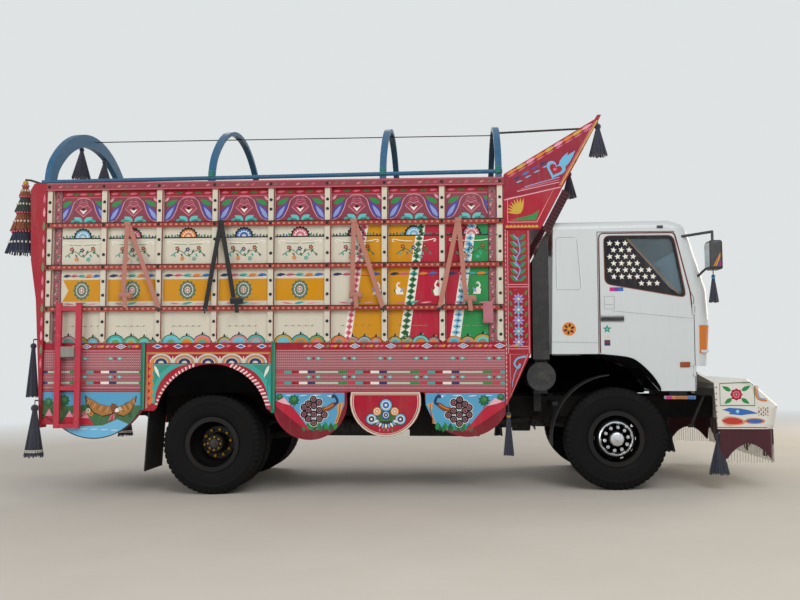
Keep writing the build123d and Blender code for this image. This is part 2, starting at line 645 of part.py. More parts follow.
def bumper():
    block = bumper_block(0) - bumper_block(BUMPER_WALL)
    inside = BUMPER_HALF_WIDTH - BUMPER_WALL
    rib = box(RAIL_FRONT_X, RAIL_FRONT_X + 16, -inside, inside, RAIL_BOTTOM_Z, BUMPER_TOP_Z - 10)
    joint_x, sheet = BUMPER_REAR_X + 4, 20
    steps = [(WING_REAR_X, WING_REAR_Z), (joint_x, BUMPER_TOP_Z)]
    steps += [(joint_x, BUMPER_TOP_Z - sheet), (WING_REAR_X, WING_REAR_Z - sheet)]
    wing = side_plate(steps, -BUMPER_HALF_WIDTH + 10, -TUNNEL_HALF_WIDTH - 50)
    holes = both(rod((1400, -LAMP_Y, LAMP_Z), (1700, -LAMP_Y, LAMP_Z), LAMP_RADIUS))
    return block + rib + both(wing) - holes


def headlamps():
    """Round lamps let into the bumper's front."""
    lamp = rod((1540, -LAMP_Y, LAMP_Z), (1628, -LAMP_Y, LAMP_Z), LAMP_RADIUS - SEAT)
    return both(lamp)


CLOTH = 12.0
CLOTH_LOW_Z = 400.0
CLOTH_ARC_Z = 560.0
CLOTH_INSET = 6.0
CLOTH_REAR_X = 1030.0


def valance_block(inset, rear_x, low, high):
    """Upright block with rounded front corners, set in from the bumper's sides and lip."""
    half = BUMPER_HALF_WIDTH - inset
    block = box(rear_x, BUMPER_LIP_X - inset, -half, half, low, high)
    corners = [edge for edge in block.edges().filter_by(Axis.Z) if edge.center().X > rear_x + 1]
    return fillet(corners, BUMPER_CORNER - inset)


def bumper_skirt():
    """Cloth valance hung round the bumper's lower edge, each side scooped out in an arc."""
    top = BUMPER_LOW_Z - SEAT
    low = CLOTH_LOW_Z - 20
    half = BUMPER_HALF_WIDTH
    cloth = valance_block(CLOTH_INSET, CLOTH_REAR_X, CLOTH_LOW_Z, top)
    cloth -= valance_block(CLOTH_INSET + CLOTH, CLOTH_REAR_X - 30, low, top + 10)
    cloth -= side_plate([(1100, low), ((1320, CLOTH_ARC_Z), (1540, low))], -half, half)
    for y in (-600, 0, 600):
        cloth -= cross_plate([(y - 260, low), ((y, CLOTH_ARC_Z), (y + 260, low))], 1500, 1600)
    return cloth


# Air intake behind the cab, on an air cleaner beside the right rail
INTAKE_REAR_X = -843.0
INTAKE_FRONT_X = -672.0
INTAKE_LOW_Z = 1420.0
INTAKE_OUTER_Y = 1130.0
INTAKE_INNER_Y = 840.0
INTAKE_RIBS = 8
INTAKE_REAR_TOP_Z = 2457.0
INTAKE_FRONT_TOP_Z = 2760.0
INTAKE_SHEET = 25.0


def intake_side(low_z, drop):
    """Side view of the duct from low_z to its raked top, lowered by drop."""
    front, rear = (INTAKE_FRONT_X, INTAKE_FRONT_TOP_Z - drop), (INTAKE_REAR_X, INTAKE_REAR_TOP_Z - drop)
    return [(INTAKE_REAR_X, low_z), (INTAKE_FRONT_X, low_z), front, rear]


def intake_duct():
    duct = side_plate(intake_side(INTAKE_LOW_Z, 0), -INTAKE_OUTER_Y, -INTAKE_INNER_Y)
    pitch = (INTAKE_FRONT_X - INTAKE_REAR_X - 16) / (INTAKE_RIBS - 1)
    slope = (INTAKE_FRONT_TOP_Z - INTAKE_REAR_TOP_Z) / (INTAKE_FRONT_X - INTAKE_REAR_X)
    for i in range(INTAKE_RIBS):
        x = INTAKE_REAR_X + i * pitch
        top = INTAKE_REAR_TOP_Z + i * pitch * slope - 20
        duct += box(x, x + 12, -INTAKE_OUTER_Y - 9, -INTAKE_OUTER_Y, INTAKE_LOW_Z + 100, top)
    middle = (INTAKE_REAR_X + INTAKE_FRONT_X) / 2
    back, front = INTAKE_REAR_X + INTAKE_SHEET, INTAKE_FRONT_X - INTAKE_SHEET
    mouth = box(back, front, -INTAKE_OUTER_Y + INTAKE_SHEET, -INTAKE_INNER_Y + INTAKE_SHEET, 2350, 2600)
    throat = mouth & side_plate(intake_side(2300, INTAKE_SHEET), -INTAKE_OUTER_Y, 0)
    cleaner = rod((middle, -RAIL_OUTER_Y - 60, 1240), (middle, -INTAKE_OUTER_Y + 20, 1240), 150)
    neck = box(middle - 60, middle + 60, -INTAKE_OUTER_Y + 60, -INTAKE_INNER_Y - 30, 1350, INTAKE_LOW_Z)
    foot = box(middle - 40, middle + 40, -RAIL_OUTER_Y - 160, -RAIL_OUTER_Y, 850, 1140)
    shelf = box(middle - 70, middle + 70, -INTAKE_OUTER_Y + 120, -RAIL_OUTER_Y, 1060, 1100)
    return duct - throat + cleaner + neck + foot + shelf


# Load floor: two runners on the rails, cross bearers and the boards
BEARER_COUNT = 11


def load_floor():
    front, rear = BODY_FRONT_X, BODY_REAR_X
    floor = box(rear, front - WALL, -WALL_INNER_Y, WALL_INNER_Y, DECK_UNDER_Z, FLOOR_Z)
    floor += both(box(rear + 30, front, -RAIL_OUTER_Y, -RAIL_OUTER_Y + RAIL_FLANGE, RAIL_TOP_Z, RUNNER_TOP_Z))
    pitch = (BODY_LENGTH - BEARER_WIDTH - 60) / (BEARER_COUNT - 1)
    for i in range(BEARER_COUNT):
        x = rear + 30 + i * pitch
        floor += box(x, x + BEARER_WIDTH, -WALL_INNER_Y, WALL_INNER_Y, RUNNER_TOP_Z, DECK_UNDER_Z)
    return floor


PLANK_GROOVES = (1700.0, 2160.0, 2620.0, 3080.0)


def side_wall():
    """Right wall of boards, with a shadow groove inside between boards."""
    wall = box(BODY_REAR_X, BODY_FRONT_X, -WALL_OUTER_Y, -WALL_INNER_Y, DECK_UNDER_Z, WALL_TOP_Z)
    for z in PLANK_GROOVES:
        wall -= box(BODY_REAR_X - 1, BODY_FRONT_X + 1, -WALL_INNER_Y - 8, -WALL_INNER_Y + 1, z, z + 10)
    return wall


def wall_posts():
    """Uprights bolted outside the boards, each cut to a shallow point below."""
    posts = []
    for i in range(POST_COUNT):
        x = FIRST_POST_X + i * POST_PITCH
        left, right, foot = x - POST_WIDTH / 2, x + POST_WIDTH / 2, POST_BOTTOM_Z + 25
        steps = [(left, BEAM_BOTTOM_Z), (right, BEAM_BOTTOM_Z), (right, foot), (x, POST_BOTTOM_Z), (left, foot)]
        posts += both(side_plate(steps, -POST_OUTER_Y, -WALL_OUTER_Y))
    return posts


def wall_rails():
    """Three long rails over the posts and the deep beam along the top of each wall."""
    rails = both(box(BODY_REAR_X, BODY_FRONT_X, -SIDE_RAIL_OUTER_Y, -WALL_OUTER_Y, BEAM_BOTTOM_Z, WALL_TOP_Z))
    for top in SIDE_RAIL_TOPS:
        low = top - SIDE_RAIL_HEIGHT
        rails += both(box(BODY_REAR_X, BODY_FRONT_X, -SIDE_RAIL_OUTER_Y, -POST_OUTER_Y, low, top))
    return rails


def headboard():
    top = PROW_FLOOR_Z + 60
    return box(BODY_FRONT_X - WALL, BODY_FRONT_X, -WALL_INNER_Y, WALL_INNER_Y, DECK_UNDER_Z, top)


def front_columns():
    steps = [
        (BODY_FRONT_X, PROW_FLOOR_Z), (COLUMN_FRONT_X, PROW_FLOOR_Z), (COLUMN_FRONT_X, COLUMN_BOTTOM_Z),
        (BODY_FRONT_X + 12, COLUMN_TIP_Z), (BODY_FRONT_X, COLUMN_TIP_Z),
    ]
    return both(side_plate(steps, -WALL_INNER_Y - COLUMN_DEPTH, -WALL_INNER_Y))


def prow_face(rear_x, top_z):
    """Side view of the prow's inside: floor, knee and raked front, carried up to top_z."""
    lean = (PROW_TIP[0] - PROW_KNEE[0]) / (PROW_TIP[1] - PROW_KNEE[1])
    top_x = PROW_TIP[0] + lean * (top_z - PROW_TIP[1])
    floor = [(rear_x, PROW_FLOOR_Z), (PROW_TOE_X, PROW_FLOOR_Z)]
    return face_from([*floor, PROW_KNEE, (top_x, top_z), (rear_x, top_z)])


def prow():
    """Overhanging prow, open above and behind: floor, raked front with an arched crest, two sides."""
    half = PROW_OUTER_Y - PROW_WALL
    top = PROW_TIP[1] + PROW_CREST
    solid = Pos(0, half, 0) * extrude(Plane.XZ * prow_face(BODY_FRONT_X, top), 2 * half, dir=(0, -1, 0))
    beyond = prow_face(BODY_FRONT_X - 2 * PROW_WALL, top + 2 * PROW_WALL)
    inside = offset(beyond, -PROW_WALL, kind=Kind.INTERSECTION)
    hollow = Pos(0, half + 1, 0) * extrude(Plane.XZ * inside, 2 * half + 2, dir=(0, -1, 0))
    crest = cross_plate([
        (-PROW_OUTER_Y, PROW_FLOOR_Z), (PROW_OUTER_Y, PROW_FLOOR_Z), (PROW_OUTER_Y, PROW_TIP[1]),
        ((0, top), (-PROW_OUTER_Y, PROW_TIP[1])),
    ], BODY_FRONT_X, PROW_TIP[0] + PROW_CREST)
    outline = [(BODY_FRONT_X, PROW_FLOOR_Z), (PROW_TOE_X, PROW_FLOOR_Z), PROW_KNEE, PROW_TIP]
    outline += [(BODY_FRONT_X, PROW_REAR_Z)]
    sides = both(side_plate(outline, -PROW_OUTER_Y, -half))
    return ((solid - hollow) & crest) + sides


FRAME_INNER_Y = 1125.0
FRAME_OUTER_Y = 1255.0
REAR_SILL_Z = 1000.0
REAR_POST_LOW_Z = 700.0
GATE_HINGE_Z = FLOOR_Z
GATE_OUTER_X = BODY_REAR_X - 6 - GATE_THICKNESS
GATE_HINGE_X = GATE_OUTER_X - HINGE_RADIUS
GATE_HINGE_YS = (-900.0, -300.0, 300.0, 900.0)
HINGE_LENGTH = 80.0


def rear_frame():
    """Bulged corner posts, header and sill round the rear opening, with half of each gate hinge."""
    steps = [
        (BODY_REAR_X, WALL_TOP_Z), (-6200, WALL_TOP_Z), (-6242, 3260), (-6221, 2496), (-6154, 2063),
        (-6110, 1300), (-6085, REAR_POST_LOW_Z), (BODY_REAR_X, REAR_POST_LOW_Z),
    ]
    posts = both(side_plate(steps, -FRAME_OUTER_Y, -FRAME_INNER_Y))
    header = box(-6200, BODY_REAR_X, -FRAME_INNER_Y, FRAME_INNER_Y, WALL_TOP_Z - 140, WALL_TOP_Z)
    sill = box(GATE_OUTER_X, BODY_REAR_X, -FRAME_INNER_Y, FRAME_INNER_Y, REAR_SILL_Z, FLOOR_Z - 16)
    frame = posts[0] + posts[1] + header + sill
    for y in GATE_HINGE_YS:
        end = y + HINGE_LENGTH
        frame += box(GATE_HINGE_X - 10, GATE_OUTER_X + 1, y, end, FLOOR_Z - 90, GATE_HINGE_Z)
        frame += rod((GATE_HINGE_X, y, GATE_HINGE_Z), (GATE_HINGE_X, end, GATE_HINGE_Z), HINGE_RADIUS)
        start = y - HINGE_END_GAP - HINGE_LENGTH
        frame += rod((GATE_HINGE_X, start, GATE_HINGE_Z), (GATE_HINGE_X, y, GATE_HINGE_Z), HINGE_SHAFT_RADIUS)
    return frame


GATE_RAILS = (1320.0, 1700.0, 2070.0)


def tailgate():
    """Drop gate: boards framed by three rails, with the other half of each hinge."""
    half = FRAME_INNER_Y - GATE_SLACK
    boards_x, low = GATE_OUTER_X + 14, FLOOR_Z + GATE_SLACK
    gate = box(boards_x, GATE_OUTER_X + GATE_THICKNESS, -half, half, low, GATE_TOP_Z)
    for z in GATE_RAILS:
        gate += box(GATE_OUTER_X, GATE_OUTER_X + 20, -half, half, z - 35, z + 35)
    for y in (-half + 40, 0, half - 40):
        gate += box(GATE_OUTER_X, GATE_OUTER_X + 20, y - 40, y + 40, FLOOR_Z + 20, GATE_TOP_Z)
    for y in GATE_HINGE_YS:
        start, end = y - HINGE_END_GAP - HINGE_LENGTH, y - HINGE_END_GAP
        gate += box(GATE_HINGE_X - 8, GATE_OUTER_X + 16, start, end, GATE_HINGE_Z, GATE_HINGE_Z + 90)
        gate += rod((GATE_HINGE_X, start, GATE_HINGE_Z), (GATE_HINGE_X, end, GATE_HINGE_Z), HINGE_RADIUS)
        bore = HINGE_SHAFT_RADIUS + RUNNING_FIT
        gate -= rod((GATE_HINGE_X, start - 2, GATE_HINGE_Z), (GATE_HINGE_X, end + 2, GATE_HINGE_Z), bore)
    return gate


# Side skirts: rear boat-bottomed panel, wheel arch panel and three hanging scallops
def side_skirts():
    outer, inner = -SKIRT_OUTER_Y, -WALL_OUTER_Y
    split = 1.0
    rear = side_plate([
        (BODY_REAR_X, SKIRT_TOP_Z), (REAR_BATTEN_X - split, SKIRT_TOP_Z), (REAR_BATTEN_X - split, 890),
        ((-5290, 625), (-5840, 697)), (BODY_REAR_X, 830),
    ], outer, inner)
    left, right = REAR_AXLE_X - ARCH_HALF_SPAN, REAR_AXLE_X + ARCH_HALF_SPAN
    arch = side_plate([
        (REAR_BATTEN_X + split, SKIRT_TOP_Z), (FRONT_BATTEN_X - split, SKIRT_TOP_Z), (FRONT_BATTEN_X - split, 862),
        (right, ARCH_FOOT_Z), ((REAR_AXLE_X, ARCH_TOP_Z), (left, ARCH_FOOT_Z)),
        (left - 30, 880), (REAR_BATTEN_X + split, 880),
    ], outer, inner)
    front = side_plate([
        (FRONT_BATTEN_X + split, SKIRT_TOP_Z), (BODY_FRONT_X, SKIRT_TOP_Z), (BODY_FRONT_X, 860),
        ((-1631, 632), (-1975, 1060)), (-1995, 1085), (-2023, 1085),
        ((-2384, 618), (-2745, 1085)), (-2775, 1085), (-2795, 1060),
        ((-3040, 607), (FRONT_BATTEN_X + split, 1050)),
    ], outer, inner)
    return both(rear) + both(arch) + both(front)


def side_battens():
    """Green laths over the joints between the skirt panels."""
    laths = []
    half = BATTEN_WIDTH / 2
    for x, low in ((REAR_BATTEN_X, 890), (FRONT_BATTEN_X, 862)):
        laths += both(box(x - half, x + half, -SKIRT_OUTER_Y - 20, -SKIRT_OUTER_Y, low, POST_BOTTOM_Z))
    return laths


LADDER_XS = (-5880.0, -5661.0)
LADDER_TOP_Z = 2030.0
LADDER_LOW_Z = 697.0
LADDER_RUNGS = (720.0, 1120.0, 1540.0, 1965.0)
LADDER_DEPTH = 38.0


def side_ladders():
    """Ladder frame at the rear of each side, on the lowest rail above and on blocks below."""
    inner, outer = -SIDE_RAIL_OUTER_Y, -SIDE_RAIL_OUTER_Y - LADDER_DEPTH
    ladder = None
    for x in LADDER_XS:
        upright = box(x - 30, x + 30, outer, inner, LADDER_LOW_Z, LADDER_TOP_Z)
        ladder = upright if ladder is None else ladder + upright
        for z in LADDER_RUNGS[1:3]:
            ladder += box(x - 25, x + 25, inner, -SKIRT_OUTER_Y, z - 25, z + 25)
    for z in LADDER_RUNGS:
        ladder += box(LADDER_XS[0], LADDER_XS[1], outer + 6, inner - 4, z - 22, z + 22)
    return both(ladder)


# Roof hoops: x of the hoop, its radial depth
HOOPS = [(REAR_HOOP_X, REAR_HOOP_DEPTH), (-4270.0, HOOP_DEPTH), (-2415.0, HOOP_DEPTH), (-1190.0, HOOP_DEPTH)]


def roof_hoops():
    """Four hoops standing on the walls, joined along each side by a tube."""
    span = HOOP_HALF_SPAN + HOOP_DEPTH / 2
    haunch = HOOP_RISE * HOOP_HAUNCH_SHARE
    hoops = None
    for x, depth in HOOPS:
        outer = basket_arch(span, HOOP_RISE, haunch, WALL_TOP_Z)
        inner = basket_arch(span - depth, HOOP_RISE - depth, haunch - depth, WALL_TOP_Z)
        hoop = cross_plate(outer, x - HOOP_WIDTH / 2, x + HOOP_WIDTH / 2)
        hoop -= cross_plate(inner, x - HOOP_WIDTH, x + HOOP_WIDTH)
        hoops = hoop if hoops is None else hoops + hoop
    tube_y = HOOP_HALF_SPAN + 14
    for y in (-tube_y, tube_y):
        hoops += rod((-6146, y, WALL_TOP_Z + 27), (-1150, y, WALL_TOP_Z + 74), ROOF_TUBE_RADIUS)
    return hoops


def ridge_pole(front):
    """Wire under the hoops along the middle, and a stay from the front hoop to the crest of the prow."""
    z = HOOP_TOP_Z - HOOP_DEPTH - WIRE_RADIUS - SEAT
    first, last = HOOPS[0][0] + HOOP_WIDTH / 2 + SEAT, HOOPS[-1][0] + HOOP_WIDTH / 2
    wire = rod((first, 0, z), (last, 0, z), WIRE_RADIUS)
    crest = (PROW_TIP[0] + PROW_WALL, 0, PROW_TIP[1] + PROW_CREST - 2 * STAY_RADIUS)
    stay = rod((last + SEAT, 0, HOOP_TOP_Z - HOOP_DEPTH / 2), crest, STAY_RADIUS) - front
    return [wire, stay]


# Tie-down straps: x at the top rail, x and z of the slanting leg's foot, x and z of the wound leg's foot
STRAPS = [
    (-5156.0, -4800.0, 1960.0, -5190.0, 2120.0),
    (-4138.0, -4301.0, 1945.0, -3990.0, 2060.0),
    (-2716.0, -2403.0, 1950.0, -2730.0, 2110.0),
    (-1617.0, -1815.0, 1950.0, -1543.0, 2070.0),
]
STRAP_WIDTH = 48.0
STRAP_THICKNESS = 5.0
STRAP_ROLL = 38.0


def webbing(x0, z0, x1, z1):
    """A flat strip on the face of the rails between two points."""
    length = hypot(x1 - x0, z1 - z0)
    a, b = STRAP_WIDTH / 2 * (z1 - z0) / length, STRAP_WIDTH / 2 * (x1 - x0) / length
    steps = [(x0 - a, z0 + b), (x0 + a, z0 - b), (x1 + a, z1 - b), (x1 - a, z1 + b)]
    return side_plate(steps, -SIDE_RAIL_OUTER_Y - STRAP_THICKNESS, -SIDE_RAIL_OUTER_Y)


def straps():
    """Each strap hangs from the top rail as two legs, one hooked low and one wound into a bundle."""
    pieces = []
    for top_x, foot_x, foot_z, wound_x, wound_z in STRAPS:
        top_z = SIDE_RAIL_TOPS[2]
        strap = webbing(top_x, top_z, foot_x, foot_z) + webbing(top_x, top_z, wound_x, wound_z)
        y, z = -SIDE_RAIL_OUTER_Y - 35, wound_z - 20
        strap += rod((wound_x - 30, y, z), (wound_x + 110, y, z), STRAP_ROLL)
        pieces += both(strap)
    return pieces


def tassel(x, y, top_z, low_z, head, hem, cord=40.0):
    """A hanging tassel: cord, round head and a flared skirt."""
    flare_z = top_z - 1.9 * head
    string = rod((x, y, top_z - head), (x, y, top_z + cord), 9)
    ball = Pos(x, y, top_z - 1.2 * head) * Sphere(head)
    flare = Pos(x, y, (flare_z + low_z) / 2) * Cone(hem, head * 0.55, flare_z - low_z)
    return string + ball + flare


# Tassels of the rear corner posts: x, y, top z, low z, head radius, hem radius
REAR_TASSELS = [(-6198.0, 1190.0, 1610.0, 1014.0, 34.0, 62.0), (-6112.0, 1300.0, 960.0, 390.0, 42.0, 100.0)]
HOOP_TASSEL_Y = 340.0
TASSEL_HOOK = 10.0


def tassels(hoops, frame, columns, front, nose, skirt):
    """Tassels on the right, each trimmed to what carries it, and their mirror images."""
    x, y, top, low, head, hem = REAR_TASSELS[0]
    inner = tassel(x, -y, top, low, head, hem)
    inner += rod((x, -y, top + 30), (x + 120, -y, top + 30), TASSEL_HOOK)
    x, y, top, low, head, hem = REAR_TASSELS[1]
    outer = tassel(x, -y, top, low, head, hem)
    outer += rod((x, -y, top + 30), (x + 30, -y, top + 30), TASSEL_HOOK)
    outer += rod((x + 30, -y, top + 30), (x + 30, -FRAME_OUTER_Y + 1, top + 30), TASSEL_HOOK)
    hung = tassel(REAR_HOOP_X, -HOOP_TASSEL_Y, HOOP_TOP_Z - 190, HOOP_TOP_Z - 580, 30, 110, 120)
    column_y = -WALL_INNER_Y - COLUMN_DEPTH / 2
    column = tassel(BODY_FRONT_X + 30, column_y, COLUMN_TIP_Z - 61, 425, 26, 52, 120)
    corner_top = BUMPER_LOW_Z - 40 - SEAT
    corner = tassel(BUMPER_REAR_X + 50, -BUMPER_HALF_WIDTH + 60, corner_top, 240, 32, 100)
    tip = tassel(PROW_TIP[0] - 23, -PROW_OUTER_Y + 30, PROW_TIP[1] - 89, PROW_TIP[1] - 429, 20, 92)
    pieces = both(inner - frame) + both(outer - frame) + both(hung - hoops)
    for columns_side in columns:
        column -= columns_side
    return pieces + both(column) + both(corner - nose - skirt) + both(tip - front)


def rear_ornaments(frame):
    """Tiered bead ornaments on arms behind the rear header."""
    x, y = ORNAMENT_X, -ORNAMENT_Y
    tiers = [(0, 0), (14, 0)]
    for radius, drop in ORNAMENT_TIERS:
        tiers += [(radius, -drop), (radius - 10, -drop - 25)]
    tiers += [(ORNAMENT_RADIUS, -ORNAMENT_LENGTH), (0, -ORNAMENT_LENGTH)]
    body = Pos(x, y, WALL_TOP_Z + 70) * Rot(90, 0, 0) * turned(tiers)
    hook = WALL_TOP_Z + 90
    arm = rod((-6150, y, WALL_TOP_Z + 16), (x, y, hook), 16) + Pos(x, y, hook) * Sphere(22)
    return both(body + arm - frame)


# Jaw for a tow pin behind the frame
JAW_REACH = 178.0
JAW_PIN_RADIUS = 20.0
JAW_LOW_Z = 850.0
JAW_TOP_Z = 940.0
JAW_EAR = 25.0
JAW_HALF = 60.0
JAW_PIN_X = RAIL_REAR_X - END_PLATE - JAW_REACH


def tow_jaw():
    """Bolted plate with two ears, bored for an upright tow pin."""
    face = RAIL_REAR_X - END_PLATE
    plate = box(face - 20, face, -130, 130, JAW_LOW_Z - 35, JAW_TOP_Z + 35)
    block = box(JAW_PIN_X - JAW_HALF + 10, face - 10, -JAW_HALF, JAW_HALF, JAW_LOW_Z, JAW_TOP_Z)
    low, high = JAW_LOW_Z + JAW_EAR, JAW_TOP_Z - JAW_EAR
    throat = box(JAW_PIN_X - JAW_HALF, face - JAW_REACH + 50, -JAW_HALF, JAW_HALF, low, high)
    bore = rod((JAW_PIN_X, 0, JAW_LOW_Z - 10), (JAW_PIN_X, 0, JAW_TOP_Z + 10), JAW_PIN_RADIUS)
    return plate + block - throat - bore


# Cab: one volume gives the outer form, the hollow, the doors and the lamps
CAB_OUTLINE = [
    (CAB_REAR_X, CAB_REAR_FLOOR_Z), (DOOR_REAR_X, CAB_REAR_FLOOR_Z), (241.0, 1330.0), (439.0, CAB_SILL_Z),
    (CAB_TOE_X, CAB_SILL_Z), (CAB_TOE_X + 6, NOSE_UNDER_Z), (945.0, NOSE_UNDER_Z),
    (CAB_NOSE_X, 1826.0), (960.0, 2131.0), (790.0, 2690.0), (690.0, 2830.0),
    (560.0, CAB_ROOF_Z), (-627.0, CAB_ROOF_Z - 14),
]


def cab_volume(inset):
    """The cab's form, moved inwards by inset (or outwards if it is negative)."""
    face = face_from(CAB_OUTLINE)
    if inset:
        face = offset(face, -inset, kind=Kind.INTERSECTION)
    half = CAB_HALF_WIDTH - inset
    block = Pos(0, half, 0) * extrude(Plane.XZ * face, 2 * half, dir=(0, -1, 0))
    sides = [edge for edge in block.edges() if abs(abs(edge.center().Y) - half) < 1]
    front = [edge for edge in sides if edge.center().X > 860 and edge.center().Z > NOSE_UNDER_Z + 60]
    block = fillet(front, CAB_CORNER - inset)
    tunnel_half, tunnel_top = TUNNEL_HALF_WIDTH + inset, TUNNEL_TOP_Z + inset
    return block - box(CAB_REAR_X - 200, TUNNEL_FRONT_X + inset, -tunnel_half, tunnel_half, 900, tunnel_top)


WINDOW = [(-96.0, 2691.0), (598.0, 2691.0), (712.0, 2068.0), (-90.0, 2212.0)]
DOOR_FRONT_TOP = (608.0, DOOR_TOP_Z)
DOOR_BELT = (770.0, 2110.0)


def door_zone(slack):
    """Everything inside the door's outline on the right side, grown by slack."""
    rear, front, top = DOOR_REAR_X - slack, DOOR_FRONT_X + slack, DOOR_TOP_Z + slack
    steps = [
        (rear, 900), (rear, top), (DOOR_FRONT_TOP[0] + slack, top),
        (DOOR_BELT[0] + slack, DOOR_BELT[1]), (front, DOOR_BELT[1] - 60), (front, 900),
    ]
    return side_plate(steps, -CAB_HALF_WIDTH - 50, -CAB_HALF_WIDTH + CAB_WALL)


HINGE_PIN = 6.0
HINGE_KNUCKLE = 13.0
HINGE_HALF = 30.0
HINGE_CAP = 24.0
HINGE_ROOM = 5.0


def hinge_stack(radius, low, high):
    """Upright cylinders about the right door's hinge axis, from low to high about each hinge's middle."""
    x, y = DOOR_HINGE_X, -DOOR_HINGE_Y
    return [rod((x, y, z + low), (x, y, z + high), radius) for z in DOOR_HINGE_ZS]


def window_block(shrink, y0, y1):
    face = face_from(WINDOW)
    face = offset(face, -shrink, kind=Kind.INTERSECTION) if shrink else face
    block = Pos(0, y1, 0) * extrude(Plane.XZ * face, y1 - y0, dir=(0, -1, 0))
    return fillet(block.edges().filter_by(Axis.Y), 45)


SCREEN_HALF = 1020.0
SCREEN_LOW = (945.0, 2180.0)
SCREEN_HIGH = (812.0, 2618.0)
LAMP_ZONE = (850.0, 1000.0, 1040.0, 1250.0, 1483.0, 1770.0)
GRILLE_HALF = 640.0
GRILLE_Z = (1420.0, 1720.0)


def screen_steps(front, back):
    """Raked strip of the windscreen between two depths measured forward from the cab's front line."""
    (low_x, low_z), (high_x, high_z) = SCREEN_LOW, SCREEN_HIGH
    return [(low_x + front, low_z), (high_x + front, high_z), (high_x + back, high_z), (low_x + back, low_z)]


def cab_shell(outer, hollow):
    shell = outer - hollow
    shell -= both(door_zone(DOOR_SLACK))
    shell -= side_plate(screen_steps(80, -90), -SCREEN_HALF, SCREEN_HALF)
    shell -= box(900, 1050, -GRILLE_HALF, GRILLE_HALF, *GRILLE_Z)
    x0, x1, y0, y1, z0, z1 = LAMP_ZONE
    shell -= both(box(x0, x1, -y1, -y0, z0, z1) - cab_volume(20))
    ear_y = TUNNEL_HALF_WIDTH - 30
    top = NOSE_UNDER_Z + 20
    steps = [(TILT_X - 36, top), (TILT_X - 30, TILT_Z)]
    steps += [((TILT_X, TILT_Z - 30), (TILT_X + 30, TILT_Z)), (TILT_X + 36, top)]
    ear = side_plate(steps, -ear_y - TILT_EAR / 2, -ear_y + TILT_EAR / 2)
    ear -= rod((TILT_X, -ear_y - 40, TILT_Z), (TILT_X, -ear_y + 40, TILT_Z), TILT_PIN_RADIUS + RUNNING_FIT)
    reach = HINGE_HALF + 1 + HINGE_CAP
    shell -= both(hinge_stack(HINGE_KNUCKLE + HINGE_ROOM, -HINGE_HALF - 0.5, HINGE_HALF + 0.5))
    caps = hinge_stack(HINGE_KNUCKLE, HINGE_HALF + 1, reach)
    caps += hinge_stack(HINGE_KNUCKLE, -reach, -HINGE_HALF - 1)
    shell += both(caps + hinge_stack(HINGE_PIN, -reach, reach))
    step = box(488, CAB_TOE_X - 8, -CAB_HALF_WIDTH, -CAB_HALF_WIDTH + 190, CAB_SILL_Z - 82, CAB_SILL_Z - 52)
    hang = box(560, 740, -CAB_HALF_WIDTH + 120, -CAB_HALF_WIDTH + 150, CAB_SILL_Z - 60, CAB_SILL_Z + 5)
    return shell + both(ear) + both(step + hang)


def door(outer, hollow):
    """Right door: the wall inside the door outline, with its window cut and a pull handle outside."""
    leaf = (outer - hollow) & door_zone(-DOOR_SLACK)
    leaf -= window_block(0, -CAB_HALF_WIDTH - 60, -CAB_HALF_WIDTH + 60)
    leaf -= box(-150, 90, -CAB_HALF_WIDTH - 1, -CAB_HALF_WIDTH + 14, 1800, 1870)
    room = HINGE_KNUCKLE + HINGE_ROOM
    reach = HINGE_HALF + 1 + HINGE_CAP + 2
    leaf -= hinge_stack(room, HINGE_HALF, reach) + hinge_stack(room, -reach, -HINGE_HALF)
    leaf += hinge_stack(HINGE_KNUCKLE, -HINGE_HALF, HINGE_HALF)
    leaf -= hinge_stack(HINGE_PIN + RUNNING_FIT, -reach, reach)
    grip = box(-140, 80, -CAB_HALF_WIDTH - 12, -CAB_HALF_WIDTH - 2, 1826, 1848)
    posts = [box(x, x + 26, -CAB_HALF_WIDTH - 10, -CAB_HALF_WIDTH + 16, 1828, 1846) for x in (-140, 54)]
    return leaf + grip + posts


def door_glass():
    return window_block(SEAT, -CAB_HALF_WIDTH + 16, -CAB_HALF_WIDTH + 16 + GLASS)


def windscreen():
    face = face_from(screen_steps(-18, -18 - GLASS - 1))
    face = offset(face, -SEAT, kind=Kind.INTERSECTION)
    half = SCREEN_HALF - SEAT
    return Pos(0, half, 0) * extrude(Plane.XZ * face, 2 * half, dir=(0, -1, 0))


GRILLE_BARS = 6


def front_grille(outer):
    """Slatted panel let into the cab's nose."""
    half = GRILLE_HALF - SEAT
    low, high = GRILLE_Z[0] + SEAT, GRILLE_Z[1] - SEAT
    panel = (outer - cab_volume(30)) & box(900, 1050, -half, half, low, high)
    pitch = (high - low - 30) / GRILLE_BARS
    for i in range(GRILLE_BARS):
        z = low + 30 + i * pitch
        panel -= box(880, 1050, -half + 30, half - 30, z, z + pitch * 0.55)
    return panel


def corner_lamps():
    x0, x1, y0, y1, z0, z1 = LAMP_ZONE
    skin = cab_volume(-5) - cab_volume(20 - SEAT)
    return both(skin & box(x0 + SEAT, x1, -y1, -y0 - SEAT, z0 + SEAT, z1 - SEAT))


CUSHION_Z = 1590.0
WHEEL_HUB = (520.0, 1960.0)
WHEEL_RAKE = 35.0
COLUMN_LENGTH = 300.0


